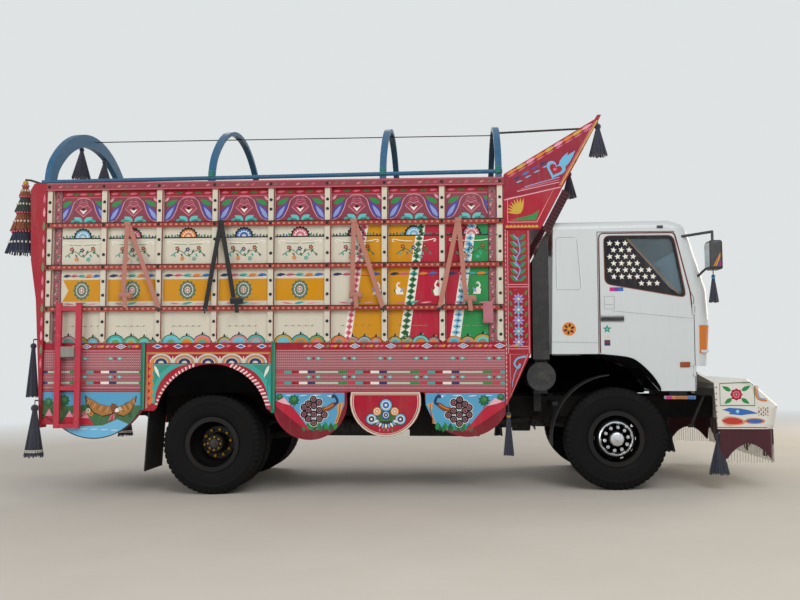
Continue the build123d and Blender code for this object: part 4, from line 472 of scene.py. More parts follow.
class Canvas:
    """Flat painted shapes on one plane, in body millimetres; a side plane is painted on both sides."""

    def __init__(self, name, origin, across, up, bodies=("chassis",), slot="wall_paint", mirror=True,
                 base=LIFT):
        self.name, self.bodies, self.slot, self.mirror, self.base = name, bodies, slot, mirror, base
        self.origin = Vector(origin)
        self.across, self.up = Vector(across).normalized(), Vector(up).normalized()
        self.normal = self.across.cross(self.up)
        self.raised = 0
        self.shapes = []

    @classmethod
    def side(cls, name, y, **more):
        return cls(name, (0, -y, 0), (1, 0, 0), (0, 0, 1), **more)

    def fill(self, outline, colour, coat=1):
        """One shape; each coat lies over the one before, each later shape a little over its neighbours."""
        area = sum(a[0] * b[1] - b[0] * a[1] for a, b in zip(outline, [*outline[1:], outline[0]]))
        lift = COAT * (coat + self.raised) + LATER * (len(self.shapes) % LATER_ROUND)
        self.shapes.append((outline if area > 0 else outline[::-1], colour, lift))

    def band(self, x0, x1, z0, z1, colour, coat=1):
        self.fill([(x0, z0), (x1, z0), (x1, z1), (x0, z1)], colour, coat)

    def disc(self, x, z, rx, colour, coat=2, rz=None, steps=14):
        self.fill(ring_points(x, z, rx, rz, steps=steps), colour, coat)

    def dome(self, x, z, radius, colour, coat=2, height=None, steps=12):
        self.fill(ring_points(x, z, radius, height, 0, 180, steps), colour, coat)

    def lozenge(self, x, z, half_x, half_z, colour, coat=2):
        self.fill([(x - half_x, z), (x, z - half_z), (x + half_x, z), (x, z + half_z)], colour, coat)

    def lozenges(self, x, z, coat, *sizes):
        """Lozenges one inside the other, each a coat higher."""
        for step, (half_x, half_z, colour) in enumerate(sizes):
            self.lozenge(x, z, half_x, half_z, colour, coat + step)

    def leaf(self, x0, z0, x1, z1, width, colour, coat=2):
        """A pointed leaf from its foot to its tip."""
        foot, along = Vector((x0, z0)), Vector((x1 - x0, z1 - z0))
        out = Vector((-along.y, along.x)).normalized() * width / 2
        widths = ((0.2, 0.75), (0.45, 1.0), (0.75, 0.6))
        right = [tuple(foot + along * t + out * w) for t, w in widths]
        left = [tuple(foot + along * t - out * w) for t, w in widths[::-1]]
        self.fill([(x0, z0), *right, (x1, z1), *left], colour, coat)

    def line(self, points, width, colour, coat=3, closed=False, taper=False):
        """A brush stroke of even width, or one that thins to its end."""
        points = [Vector(p) for p in points]
        count = len(points)
        sides = []
        for i, p in enumerate(points):
            before = points[i - 1] if i or closed else p
            after = points[(i + 1) % count] if i < count - 1 or closed else p
            run = after - before
            out = Vector((-run.y, run.x)).normalized() * width / 2
            out *= 1 - 0.85 * i / count if taper else 1
            sides.append((tuple(p + out), tuple(p - out)))
        for i in range(count if closed else count - 1):
            a, b = sides[i], sides[(i + 1) % count]
            self.fill([a[1], b[1], b[0], a[0]], colour, coat)

    def star(self, x, z, radius, colour, coat=2, tips=5, turn=90.0):
        points = []
        for i in range(2 * tips):
            reach = radius if i % 2 == 0 else radius * STAR_WAIST
            angle = radians(turn + i * 180 / tips)
            points.append((x + reach * cos(angle), z + reach * sin(angle)))
        self.fill(points, colour, coat)

    def petals(self, x, z, radius, count, colour, coat=2, width=None, start=0.0, span=360.0, inner=0.25):
        """Leaves that point away from one spot, all round it or over a span of degrees."""
        width = width or radius * 3.2 / count
        steps = count if span >= 360 else count - 1
        for i in range(count):
            angle = radians(start + span * i / steps)
            a, b = cos(angle), sin(angle)
            foot = (x + inner * radius * a, z + inner * radius * b)
            self.leaf(*foot, x + radius * a, z + radius * b, width, colour, coat)

    def dashes(self, x0, x1, z, length, pitch, height, colour, coat=3):
        count = int((x1 - x0) / pitch)
        for i in range(count):
            x = x0 + (i + 0.5) * (x1 - x0) / count
            self.band(x - length / 2, x + length / 2, z - height / 2, z + height / 2, colour, coat)

    def make(self):
        """One painted mesh for each body."""
        sides = [1, -1] if self.mirror else [1]
        for index, body in enumerate(self.bodies):
            points, faces, colours = [], [], []
            for side in sides if len(self.bodies) == 1 else [sides[index]]:
                for outline, colour, height in self.shapes:
                    start = len(points)
                    lift = self.normal * (self.base + height)
                    for u, v in outline:
                        spot = self.origin + self.across * u + self.up * v + lift
                        points.append(place(spot.x, side * spot.y, spot.z))
                    face = list(range(start, len(points)))
                    faces.append(face if side == 1 else face[::-1])
                    colours.append(tint(colour))
            name = self.name if len(self.bodies) == 1 else f"{self.name}_{body}"
            painting = piece(name, points, faces, "artwork", body, smooth=False)
            layer = painting.data.color_attributes.new("paint", "FLOAT_COLOR", "CORNER")
            for face, colour in zip(painting.data.polygons, colours):
                for corner in face.loop_indices:
                    layer.data[corner].color = colour


def bays():
    """The clear width between each two posts, with its number."""
    for i in range(POSTS - 1):
        left = FIRST_POST + i * POST_PITCH + 35
        yield i, left if i else STRIP_END, left + POST_PITCH - 70


def paint_bell_bay(art, x0, x1):
    """Top row: a bell arch over a diamond, dark and green leaves at its sides and teal leaves below."""
    middle = (x0 + x1) / 2
    art.band(x0 - 35, x1 + 35, 2890, 3178, "84384a", 1)
    art.band(x0 - 35, x1 + 35, 3172, 3182, "b5606e", 2)
    for i in range(5):
        x = x0 + 60 + i * (x1 - x0 - 120) / 4
        art.leaf(x - 45, 3210, x + 45, 3216, 26, "leaf" if i % 2 else "rose", 2)
    for side in (-1, 1):
        def at(dx, z):
            return (middle + side * dx, z)
        for foot, tip, width, shade, coat in (
                ((262, 2905), (128, 3110), 96, "purple", 2), ((255, 2925), (165, 3060), 44, "lilac", 3),
                ((250, 3075), (125, 3140), 52, "green", 3), ((262, 3120), (215, 3170), 30, "pink", 3)):
            art.leaf(*at(*foot), *at(*tip), width, shade, coat)
        arch = smooth_line([at(262, 2903), at(190, 2935), at(140, 3020), at(105, 3120), at(52, 3162),
                            at(0, 3170)])
        art.line(arch, 10, "cf8f98", 4)
        art.line([(x + side * 14, z - 6) for x, z in arch[4:-6]], 5, "navy", 4)
        art.leaf(*at(8, 2904), *at(104, 2962), 66, "turquoise", 4)
        art.leaf(*at(30, 2904), *at(96, 2926), 26, "2f8a80", 5)
        art.leaf(*at(140, 2902), *at(88, 2934), 34, "teal", 4)
        art.line([at(0, 2966), at(92, 3048), at(40, 3092), at(0, 3070)], 7, "cf8f98", 4)
        art.line([at(0, 2990), at(60, 3046), at(0, 3046)], 6, "a8304a", 5)
        for step, shade in enumerate(("rose", "cf8f98", "b5606e")):
            wave = [at(4, 3100 + 22 * step), at(30, 3112 + 20 * step), at(62 - 14 * step, 3092 + 24 * step)]
            art.line(smooth_line(wave), 5, shade, 4)
    art.lozenge(middle, 3040, 92, 80, "9a3c52", 3)
    art.fill([(middle - 42, 3044), (middle, 2992), (middle + 42, 3044), (middle, 3030)], "white", 6)
    art.disc(middle, 3046, 18, "black", 7, steps=10)


FAN_COLOURS = ("sky", "rose", "orange", "blue", "rose", "maroon", "sky", "rose")


def paint_fan_bay(art, index, x0, x1):
    """Second row: a half-rosette on a black line with leafy bits, a white ribbon and a small flourish."""
    middle = (x0 + x1) / 2
    colour = FAN_COLOURS[index % len(FAN_COLOURS)]
    ground = 2733
    art.band(x0, x1, ground - 11, ground + 3, "black", 3)
    art.dome(middle, ground, 99, "black", 3)
    for i in range(9):
        angle = radians(10 + 20 * i)
        art.disc(middle + 96 * cos(angle), ground + 96 * sin(angle), 13, "black", 3, steps=8)
    for radius, shade, coat in ((82, colour, 4), (58, "white", 5), (50, colour, 6), (24, "cream", 7)):
        art.dome(middle, ground + 3, radius, shade, coat)
    art.petals(middle, ground + 3, 78, 7, "white", 5, 10, 12, 156, 0.45)
    for side in (-1, 1):
        for reach, height, shade in ((112, 40, "green"), (138, 26, "blue"), (172, 34, "leaf"),
                                     (208, 22, "navy"), (240, 26, "leaf")):
            x = middle + side * reach
            art.leaf(x, ground, x + side * 12, ground + height, 20, shade, 4)
        ribbon = ((15, 2668), (120, 2672), (215, 2690), (228, 2672), (205, 2664))
        art.line(smooth_line([(middle + side * reach, z) for reach, z in ribbon]), 9, "white", 5)
        art.line([(middle + side * 15, 2657), (middle + side * 150, 2660)], 6, "leaf", 4)
    stem = ((-190, 2530), (-90, 2588), (0, 2530), (90, 2588), (190, 2536))
    art.line(smooth_line([(middle + x, z) for x, z in stem]), 7, "1d4a34", 4)
    for step in range(9):
        x = middle - 160 + step * 40
        rise = 46 if step % 2 else -40
        art.leaf(x, 2558, x + 24, 2558 + rise, 22, ("teal", "leaf", "5d7268")[step % 3], 5)
    for x, z, shade in ((-118, 2612, "maroon"), (-4, 2600, "navy"), (116, 2616, "8c1a2c"),
                        (-62, 2502, "orange"), (66, 2500, "teal")):
        art.petals(middle + x, z, 27, 5, shade, 6, 20)
        art.disc(middle + x, z, 7, "gold", 7, steps=6)


def paint_wavy_strip(art, x0, x1, low, high):
    """A strip of many-coloured waves under a black edge."""
    count = 5
    pitch = (x1 - x0) / count
    for i in range(count):
        x = x0 + (i + 0.5) * pitch
        art.leaf(x - pitch * 0.5, low + 12, x + pitch * 0.5, (low + high) / 2, (high - low) * 0.8,
                 ("navy", "rose", "teal", "orange", "blue")[i], 4)
    art.line(smooth_line([(x0, low + 6), ((x0 + x1) / 2 - 60, low + 14), ((x0 + x1) / 2 + 60, low),
                          (x1, low + 10)]), 5, "black", 5)


def paint_medallion(art, x, z):
    """A dotted oval medallion."""
    for rx, shade, coat in ((86, "5d7268", 4), (62, "cfc9b4", 5), (54, "5d7268", 6)):
        art.disc(x, z, rx, shade, coat, rx + 12, 20)
    art.disc(x, z, 30, "cream", 7, 36, 20)
    for i in range(12):
        angle = radians(30 * i)
        art.disc(x + 84 * cos(angle), z + 96 * sin(angle), 11, "leaf", 5, steps=6)
        art.disc(x + 56 * cos(angle), z + 68 * sin(angle), 6, "white", 7, steps=6)
    art.petals(x, z, 30, 6, "crimson", 8, 12)
    art.disc(x, z, 9, "white", 9, steps=8)


# The bays that are ochre; the harlequin fields take up the rest of that row
OCHRE_BAYS = 5
MEDALLION_Z = 2165


def paint_ochre_bay(art, index, x0, x1):
    """Third row: a wavy strip, an ochre field with its medallion and a pale strip with a teal leaf."""
    middle = (x0 + x1) / 2
    paint_wavy_strip(art, x0 + 15, x1 - 15, 2306, 2350)
    low, high = 2046, 2281
    left = [(x0 + 2, high), (x0 + 2, low)]
    if index == 0:
        left = [(x0 + 8, high), (x0 + 70, MEDALLION_Z), (x0 + 8, low)]
    if index < OCHRE_BAYS:
        art.fill(left + [(x1 - 2, low), (x1 - 2, high)], "ochre", 3)
        paint_medallion(art, middle, MEDALLION_Z)
    art.leaf(middle - 60, 2012, middle + 60, 2034, 26, "teal", 4)
    art.leaf(middle + 70, 2014, middle + 190, 2024, 16, "pink", 4)
    art.leaf(middle - 190, 2024, middle - 75, 2014, 16, "rose", 4)


SCALLOP_SHADES = ["turquoise", "b99a3a", "c9818c", "teal", "sky", "7f8a72", "5d9a62", "orange"]


def paint_scallop_row(art, x0, x1, chance):
    """Bottom row: half-rounds of many colours with a black outline."""
    art.line([(x0 + 90, 1776), (x1 - 130, 1774)], 3, "9a937f", 3)
    for i in range(5):
        art.leaf(x0 + 110 + 70 * i, 1774, x0 + 138 + 70 * i, 1786, 9, "5d5a4c", 3)
    x, foot = x0, 1600
    while x < x1 - 60:
        radius = min(chance.choice((68, 82, 96)), (x1 - x) / 2)
        middle, top = x + radius, foot + radius * 0.85
        art.dome(middle, foot, radius + 7, "black", 3, radius * 0.85 + 9)
        for step, shade in enumerate(chance.sample(SCALLOP_SHADES, 3)):
            size = radius * (1 - 0.28 * step)
            art.dome(middle, foot, size, shade, 4 + step, size * 0.85)
        art.leaf(middle - 4, top, middle + 4, top + 38, 22, "black", 3)
        art.leaf(middle + 14, top + 4, middle + 34, top + 24, 14, "teal", 3)
        x += 2 * radius - 8


# Diagonal bands at the right end of the wall: colour, left and right edge, each as its x at the two marks
STRIPES = (
    ("rose", (-2657, -2814), (-2572, -2739)),
    ("green", (-2052, -2233), (-1967, -2128)),
    ("sky", (-1525, -1699), (-1431, -1594)),
)
STRIPE_MARKS = (2812.0, 1699.0)
STRIPE_TOP = 2841.0
STRIPE_LOW = 1600.0
HARLEQUIN_END = (-1265.0, -1265.0)


def stripe_x(edge, z):
    """Where a slanting edge stands at a height."""
    (top, low), (high_mark, low_mark) = edge, STRIPE_MARKS
    return top + (low - top) * (high_mark - z) / (high_mark - low_mark)


def slanting_field(art, left, right, shade, coat):
    """A field between two slanting edges."""
    low = [(stripe_x(edge, STRIPE_LOW), STRIPE_LOW) for edge in (left, right)]
    top = [(stripe_x(edge, STRIPE_TOP), STRIPE_TOP) for edge in (right, left)]
    art.fill(low + top, shade, coat)


def paint_harlequin(art):
    """Yellow, red and green fields parted by slanting bands of lozenges."""
    ends = [left for shade, left, right in STRIPES[1:]] + [HARLEQUIN_END]
    for stripe, end, shade in zip(STRIPES, ends, ("ochre", "b01735", "green")):
        slanting_field(art, stripe[2], end, shade, 2)
    for shade, left, right in STRIPES:
        slanting_field(art, left, right, "white", 3)
        for z in range(1640, 2830, 62):
            x0, x1 = stripe_x(left, z), stripe_x(right, z)
            middle = (x0 + x1) / 2
            art.lozenge(middle, z, (x1 - x0) * 0.44, 34, "1d6b3c" if shade == "green" else shade, 4)
            art.lozenge(middle + 3, z, (x1 - x0) * 0.16, 11, "crimson" if shade == "rose" else "black", 5)


def paint_swan(art, x, z, size, side):
    """A small white bird with a curved neck, looking to one side."""
    def at(u, v):
        return (x + side * u * size, z + v * size)
    art.fill([at(-48, -60), at(30, -60), at(42, -20), at(16, 20), at(-10, 8), at(-34, -30)], "white", 4)
    art.line(smooth_line([at(14, 0), at(26, 30), at(8, 62), at(-8, 52)]), 15 * size, "white", 5)
    art.leaf(*at(-10, -40), *at(-52, 12), 26 * size, "lilac", 5)
    art.leaf(*at(34, -50), *at(58, 0), 16 * size, "leaf", 4)
    art.leaf(*at(-6, 52), *at(-28, 46), 8 * size, "orange", 6)
    art.disc(*at(2, 58), 4 * size, "black", 7, steps=6)


WALL_FOOT = 1596
WALL_TOP = 3245


def wall_paintings():
    """Four rows of painted panels between the posts, on each side."""
    art = Canvas.side("wall_paintings", WALL_Y)
    chance = random.Random(7)
    first, last = FIRST_POST - 35, -1170.0
    art.band(first, last, 3178, WALL_TOP, "crimson", 1)
    art.band(first, last, WALL_FOOT, 2890, "cream", 1)
    for index, x0, x1 in bays():
        paint_bell_bay(art, x0, x1)
        paint_fan_bay(art, index, x0, x1)
        paint_ochre_bay(art, index, x0, x1)
        paint_scallop_row(art, x0, x1, chance)
    paint_harlequin(art)
    for x, size, side in ((-2475, 1.0, 1), (-2240, 1.0, -1), (-1560, 1.0, -1), (-1420, 1.0, 1),
                          (-1830, 1.25, -1)):
        paint_swan(art, x, MEDALLION_Z, size, side)
    for x0, x1, edge in ((-5985, -5898, -5906), (-1307, -1223, -1307)):
        art.band(x0, x1, WALL_FOOT, WALL_TOP, "94525c", 8)
        art.band(edge, edge + 8, WALL_FOOT, WALL_TOP, "black", 9)
        for i, z in enumerate(range(1626, 3236, 46)):
            x = x0 + 24 + chance.uniform(0, 34)
            art.leaf(x - 12, z - 18, x + 14, z + 20, 24, ("2f7a5a", "c98a90", "6c1626", "c9a7a0")[i % 4], 9)
            art.leaf(x + 18, z - 6, x - 4, z + 12, 12, ("c98a90", "94303f", "5d9a82", "6c1626")[i % 4], 10)
    art.make()


# Lengths and colours of one turn of the many-coloured lines, its pale length being the thinner one
WEAVE_PALE = 240
WEAVE = ((78, "teal"), (80, "crimson"), (90, "white"), (84, "navy"), (WEAVE_PALE, "b4cfb4"), (100, "green"),
         (83, "c23a50"))
WEAVE_PERIOD = sum(length for length, shade in WEAVE)
# Middle height of the skirt's top band
TOP_BAND_Z = 1562
# Width of one turn of the skirt's pattern
SKIRT_PITCH = 378


def skirt_bands(art, x0, x1, low, phase):
    """The skirt's woven-looking bands between two x values, down to low; the phase is one pair's x."""
    art.band(x0, x1, 1523, 1600, "crimson", 1)
    art.band(x0, x1, low, 1523, "ad6872", 1)
    for step, z in enumerate(range(1516, int(low) + 20, -14)):
        if min(abs(z - other) for other in (1502, 1290, 1175)) >= 12:
            shade = ("c9a39c", "4a1a24", "b8a89a", "33191e")[step % 4]
            art.dashes(x0 + (step % 2) * 9, x1, z, 10, 21, 6, shade, 2)
    for z, height in ((1502, 9), (1318, 5), (1262, 4), (1210, 4), (1150, 5)):
        art.band(x0, x1, z - height / 2, z + height / 2, "crimson", 3)
    x = phase
    while x < x1 - 60:
        if x > x0 + 80:
            for z in (1433, 1238):
                for side in (-50, 50):
                    art.lozenges(x + side, z, 4, (36, 20, "3a7f7c"), (31, 16, "turquoise"), (12, 6, "cream"))
                art.lozenge(x, z, 16, 18, "crimson", 4)
            art.lozenges(x + 60, TOP_BAND_Z, 3, (60, 27, "white"), (46, 20, "blue"), (24, 10, "white"))
            art.disc(x + 60, TOP_BAND_Z, 6, "navy", 6, steps=8)
            for spot, shade in ((-34, "rose"), (-84, "c99a8a"), (154, "5d8a5c"), (200, "rose"),
                                (236, "gold")):
                art.leaf(x + spot - 24, 1556, x + spot + 24, 1570, 26, shade, 3)
        x += SKIRT_PITCH
    for z in (1290, 1175):
        x, step = phase - 310 - 2 * WEAVE_PERIOD, 0
        while x < x1:
            length, shade = WEAVE[step % len(WEAVE)]
            start, end = max(x, x0), min(x + length, x1)
            height = 9 if length == WEAVE_PALE else 13
            if end > start:
                art.band(start, end, z - height, z + height, shade, 4)
            x, step = x + length, step + 1
    art.band(x0, x1, 1098, 1106, "crimson", 3)
    art.band(x0, x1, 1080, 1090, "crimson", 3)


def paint_tree(art, x, z, size, coat=4):
    art.line([(x, z), (x + 4, z + 90 * size)], 10 * size, "brown", coat)
    art.petals(x + 2, z + 96 * size, 62 * size, 9, "1d5a38", coat + 1, 40 * size, inner=0.1)
    art.petals(x - 4, z + 104 * size, 42 * size, 7, "leaf", coat + 2, 26 * size, start=20, inner=0.1)
    art.petals(x + 6, z + 110 * size, 26 * size, 5, "4c8a4e", coat + 3, 16 * size, start=50, inner=0.1)


def paint_hill(art, foot_left, tip, foot_right, coat=3):
    """A pink-red mountain, paler at its tip."""
    art.fill([foot_left, tip, foot_right], "b8243c", coat)
    inner = [(tip[0] + (p[0] - tip[0]) * 0.45, tip[1] + (p[1] - tip[1]) * 0.45)
             for p in (foot_left, foot_right)]
    art.fill([inner[0], tip, inner[1]], "e58fa0", coat + 1)


def paint_peacock(art, x, z, side):
    """A peacock: round tail of dark eyes, orange body and dark-blue neck; side is the way it looks."""
    def at(u, v):
        return (x + side * u, z + v)
    tail = [at(*spot) for spot in (
        (-178, -78), (-120, -120), (-120, -30), (-178, 10), (-60, -78), (-60, 8), (-118, 58), (-8, -36),
        (-178, 78), (-64, 94), (-125, 124), (-222, -32), (-222, 42))]
    for spot in tail:
        art.disc(*spot, 44, "white", 5, steps=12)
    for spot in tail:
        art.disc(*spot, 39, "black", 7, steps=10)
        art.disc(*spot, 23, "b8808a", 8, steps=10)
        art.disc(*spot, 18, "1d1d24", 9, steps=8)
        art.disc(*spot, 9, "a05562", 10, steps=6)
    art.fill([at(-40, 40), at(20, 52), at(76, 92), at(110, 96), at(104, 50), at(50, 8), at(-20, 0)], "brown",
             11)
    art.line(smooth_line([at(-10, 24), at(40, 44), at(88, 74)]), 12, "orange", 12)
    art.line(smooth_line([at(96, 70), at(128, 90), at(122, 130), at(96, 162), at(70, 150)]), 26, "navy", 12)
    art.disc(*at(82, 156), 18, "navy", 13, steps=10)
    art.leaf(*at(70, 158), *at(36, 148), 12, "white", 14)
    art.line([at(90, 172), at(104, 200)], 5, "navy", 13)
    art.disc(*at(106, 204), 7, "blue", 13, steps=6)


SKY = "559fc6"


def paint_peacock_scallop(art, outline, outer_x, inner_x, side):
    """Hanging scallop: sky, mountain at its outer end, peacock, bushes and a sandy tree at its inner end."""
    top = 1072.0
    art.fill([(outline[0][0], top)] + outline + [(outline[-1][0], top)], "7a1a28", 1)
    span = inner_x - outer_x

    def at(part, z):
        return (outer_x + span * part, z)
    art.fill([at(0, top), at(1, top), at(1, 950), at(0.93, 830), at(0.86, 745), at(0.72, 690), at(0.5, 690),
              at(0.3, 800), at(0.14, 960), at(0, 985)], SKY, 2)
    for i in range(4):
        x = outer_x + span * (0.2 + 0.2 * i)
        art.leaf(x - 50, 1046 - 8 * (i % 2), x + 50, 1050, 9, "white", 3)
    paint_tree(art, *at(0.05, 960), 0.7, 3)
    paint_tree(art, *at(0.26, 900), 1.0, 3)
    art.fill([at(0, 985), at(0.12, 1022), at(0.3, 880), at(0.46, 720), at(0.5, 668), at(0.3, 760),
              at(0, 930)], "b8243c", 5)
    art.fill([at(0.02, 985), at(0.12, 1022), at(0.22, 940), at(0.1, 962)], "e9b0b8", 6)
    paint_peacock(art, *at(0.72, 880), side)
    x = inner_x - side * 46
    art.fill([(x - 34, 960), (x + 34, 975), (x + 16, 880), (x - side * 26, 760), (x - side * 60, 750),
              (x - side * 24, 860)], "sand", 6)
    art.line(smooth_line([(x, 960), (x - side * 8, 860), (x - side * 40, 770)]), 7, "brown", 7)
    for i in range(12):
        u = outer_x + span * (0.42 + 0.04 * i)
        shade = ("leaf", "1d5a38", "green")[i % 3]
        art.leaf(u, 668 + 10 * (i % 3), u - 14 + 28 * (i % 2), 752 + 12 * (i % 3), 44, shade, 4)


def paint_bouquet(art, x, z):
    """Blue rosettes and orange flowers over a bowl of blue-white petals."""
    big = 1.35

    def rosette(u, v, size, outer, mid):
        rings = ((1.0, "black"), (0.9, outer), (0.66, "white"), (0.52, mid), (0.2, "white"))
        for step, (radius, shade) in enumerate(rings):
            art.disc(x + u * big, z + v * big, size * big * radius, shade, 4 + step, steps=12)
    for u, v in ((-60, 22), (60, 22), (-110, -10), (110, -10), (0, -90), (-70, -70), (70, -70)):
        art.leaf(x, z - 20, x + u * 1.8, z + v * 1.8, 50, "leaf", 3)
    rosette(0, 62, 52, "sky", "blue")
    rosette(-112, -46, 46, "sky", "navy")
    rosette(112, -46, 46, "sky", "navy")
    rosette(0, -14, 34, "blue", "navy")
    for side in (-1, 1):
        rosette(side * 68, 14, 38, "orange", "sand")
    for i in range(9):
        a, b = cos(radians(200 + 17.5 * i)), sin(radians(200 + 17.5 * i))
        art.leaf(x + 80 * a, z - 54 + 54 * b, x + 130 * a, z - 62 + 100 * b, 24, ("white", "sky")[i % 2], 8)
    art.fill(ring_points(x, z - 84, 105, 54, 180, 360), "black", 5)
    for i in range(4):
        art.leaf(x - 64 + 43 * i, z - 158, x - 66 + 44 * i, z - 192, 18, ("rose", "green")[i % 2], 5)


def skirt_paintings():
    """The skirts: bands, landscapes in the scallops, the wheel arch panel and the boat-shaped rear end."""
    art = Canvas.side("skirt_paintings", SKIRT_Y, slot="skirt_paint")
    skirt_bands(art, -6062, -4992, 1080, -5279 - 2 * SKIRT_PITCH)
    skirt_bands(art, -3548, -1140, 1080, -3144)
    left_scallop = three_point_arc((-3548, 1050), (-3040, 607), (-2797, 1060))
    paint_peacock_scallop(art, left_scallop, -3540, -2815, 1)
    right_scallop = three_point_arc((-1142, 866), (-1631, 634), (-1975, 1058))
    paint_peacock_scallop(art, right_scallop, -1150, -1965, -1)
    for border, shade, coat in ((0, "cream", 2), (16, "b01f38", 3), (24, "cream", 4), (30, "a81630", 5)):
        arc = three_point_arc((-2743 + border, 1080 - border), (-2384, 620 + border),
                              (-2025 - border, 1080 - border))
        art.fill(arc, shade, coat)
    art.raised = 6
    paint_bouquet(art, -2379, 862)
    art.raised = 0
    paint_arch_panel(art)
    paint_boat_end(art)
    art.make()


def paint_arch_panel(art):
    """Red panel over the rear wheels: rainbow scallops, leaf sprays, corner triangles and twisted piping."""
    left, right = -4950.0, -3590.0
    arc = three_point_arc((REAR_AXLE_X - 588, 912), (REAR_AXLE_X, 1375), (REAR_AXLE_X + 588, 912), 40)
    art.band(left, right, 1523, 1600, "crimson", 1)
    art.fill([(left, 882), (REAR_AXLE_X - 618, 882), *arc, (right, 866), (right, 1523), (left, 1523)],
             "a5142c", 1)
    for i in range(6):
        x = left + 130 + i * 225
        art.lozenges(x, TOP_BAND_Z, 3, (56, 24, "white"), (42, 17, "blue"))
        art.leaf(x + 66, 1560, x + 120, 1572, 26, "rose", 3)
    for inset, low, high, width, shade in ((14, 900, 1496, 7, "gold"), (26, 910, 1484, 5, "cream")):
        art.line([(left + inset, low), (left + inset, high), (right - inset, high), (right - inset, low)],
                 width, shade, 3)
    for i in range(5):
        x = left + 172 + i * 254
        rainbow = ((126, "cream"), (108, "grey"), (92, "orange"), (76, "cream"), (66, "navy"), (30, "cream"))
        for step, (radius, shade) in enumerate(rainbow):
            art.dome(x, 1384, radius, shade, 4 + step, radius * 0.8, 14)
        if i < 4:
            for side in (-1, 0, 1):
                art.leaf(x + 127, 1388, x + 127 + side * 44, 1462, 22, "cream", 9)
    for side in (-1, 1):
        def at(dx, z):
            return (REAR_AXLE_X + side * dx, z)
        spandrel = three_point_arc(at(606, 960), at(500, 1250), at(190, 1372))
        art.fill([at(640, 1372), at(640, 960), at(606, 960), *spandrel], "teal", 4)
        art.fill([at(628, 1364), at(628, 1130), at(560, 1270), at(440, 1364)], "2f8f7f", 5)
        art.leaf(*at(618, 1360), *at(560, 1230), 34, "white", 6)
    for i in range(1, len(arc) - 1):
        (x, z), (nx, nz) = arc[i], arc[i + 1]
        out = Vector((x - REAR_AXLE_X, z - 930)).normalized()
        if z + 40 * out.y > 1386:
            continue
        for step, shade in enumerate(("white", "rose", "crimson")):
            t = step / 3
            px, pz = x + (nx - x) * t, z + (nz - z) * t
            art.line([(px, pz), (px + out.x * 40 + 14, pz + out.y * 40)], 13, shade, 10)
    for i in range(6):
        z = 940 + i * 78
        art.leaf(left + 50, z, left + 66, z + 76, 46, "e0733f", 4)
        art.leaf(left + 84, z + 40, left + 70, z + 104, 34, "orange", 5)
    art.line([(right - 40, 900), (right - 40, 1372)], 9, "blue", 5)


def paint_boat_end(art):
    """Rear end: landscape of trees and hills with a bird over blue water, edged with a black line."""
    keel = three_point_arc((-4992, 892), (-5290, 627), (-5840, 699))
    stern = [(-6062, 834), (-5840, 699)]
    art.fill([(-6062, 1078), *stern, *keel[::-1], (-4992, 1078)], SKY, 1)
    inner = [(x - 6 if x > -5300 else x, z + 6) for x, z in keel]
    meadow = [(-5000, 940), (-5150, 925), (-5300, 900), (-5500, 945), (-5800, 930)]
    art.fill([(-6062, 990), *stern, *inner[::-1], *meadow], "3f6a42", 2)
    for i in range(22):
        x = -6040 + 47 * i
        shade = ("leaf", "4c8a4e", "2a5a3a")[i % 3]
        art.leaf(x, 800 + 9 * (i % 4), x - 16 + 32 * (i % 2), 880 + 14 * (i % 3), 44, shade, 3)
    for x, size in ((-6000, 0.9), (-5830, 1.1), (-5560, 0.7), (-5140, 0.6)):
        paint_tree(art, x, 880, size, 3)
    for x, tip in ((-5990, 900), (-5765, 880), (-5690, 915), (-5590, 860)):
        paint_hill(art, (x - 95, 730), (x, tip), (x + 95, 730), 6)
    water = [(x, z) for x, z in keel if z < 770]
    art.fill([(-5860, 712), (-5600, 716), (-5400, 724), (-5240, 790)] + water, "6fb6dc", 9)
    for i in range(5):
        art.leaf(-5760 + 110 * i, 690 - 4 * i, -5660 + 110 * i, 694 - 4 * i, 8, "white", 10)
    art.line([(-6062, 836), (-5840, 703), *keel[::-1]], 10, "black", 11)
    for x, z, shade in ((-5600, 850, "rose"), (-5560, 880, "cream"), (-5530, 846, "orange")):
        art.petals(x, z, 30, 6, shade, 10, 20)
    paint_bird(art, -5270, 850)


def paint_bird(art, x, z):
    """A brown bird with its wings spread, a white head and red legs."""
    for side, reach in ((-1, 330), (1, 235)):
        wing = [(x + side * u, z + v) for u, v in (
            (10, -6), (20, 70), (reach * 0.5, 100), (reach, 192), (reach * 0.96, 120), (reach * 0.72, 10),
            (reach * 0.4, -34))]
        art.fill(wing, "black", 12)
        middle = Vector((sum(u for u, v in wing), sum(v for u, v in wing))) / len(wing)
        art.fill([tuple(middle + (Vector(p) - middle) * 0.9) for p in wing], "a8713a", 13)
        for i in range(7):
            t = 0.2 + 0.11 * i
            foot = Vector((x + side * reach * t, z + 66 + 96 * t * t))
            tip = (foot.x + side * 26, foot.y - 66 + 30 * t)
            art.line([foot, tip], 6, "5a3216" if i % 2 else "d9a86a", 14)
    art.leaf(x - 36, z + 110, x + 40, z - 20, 84, "brown", 15)
    art.leaf(x, z + 20, x + 62, z + 58, 44, "white", 16)
    art.disc(x + 54, z + 52, 20, "c9c6c0", 17, steps=10)
    art.leaf(x + 66, z + 54, x + 100, z + 36, 14, "gold", 18)
    art.disc(x + 58, z + 57, 4, "black", 18, steps=6)
    for reach, shade in ((-70, "rose"), (-40, "b8243c"), (-10, "rose")):
        art.leaf(x - 10, z, x + reach, z - 84, 22, shade, 14)


# Solid pieces
def heading(x, y, z):
    """A direction of the body frame, turned into the row frame."""
    return (place(x, y, z) - place(0, 0, 0)).normalized()


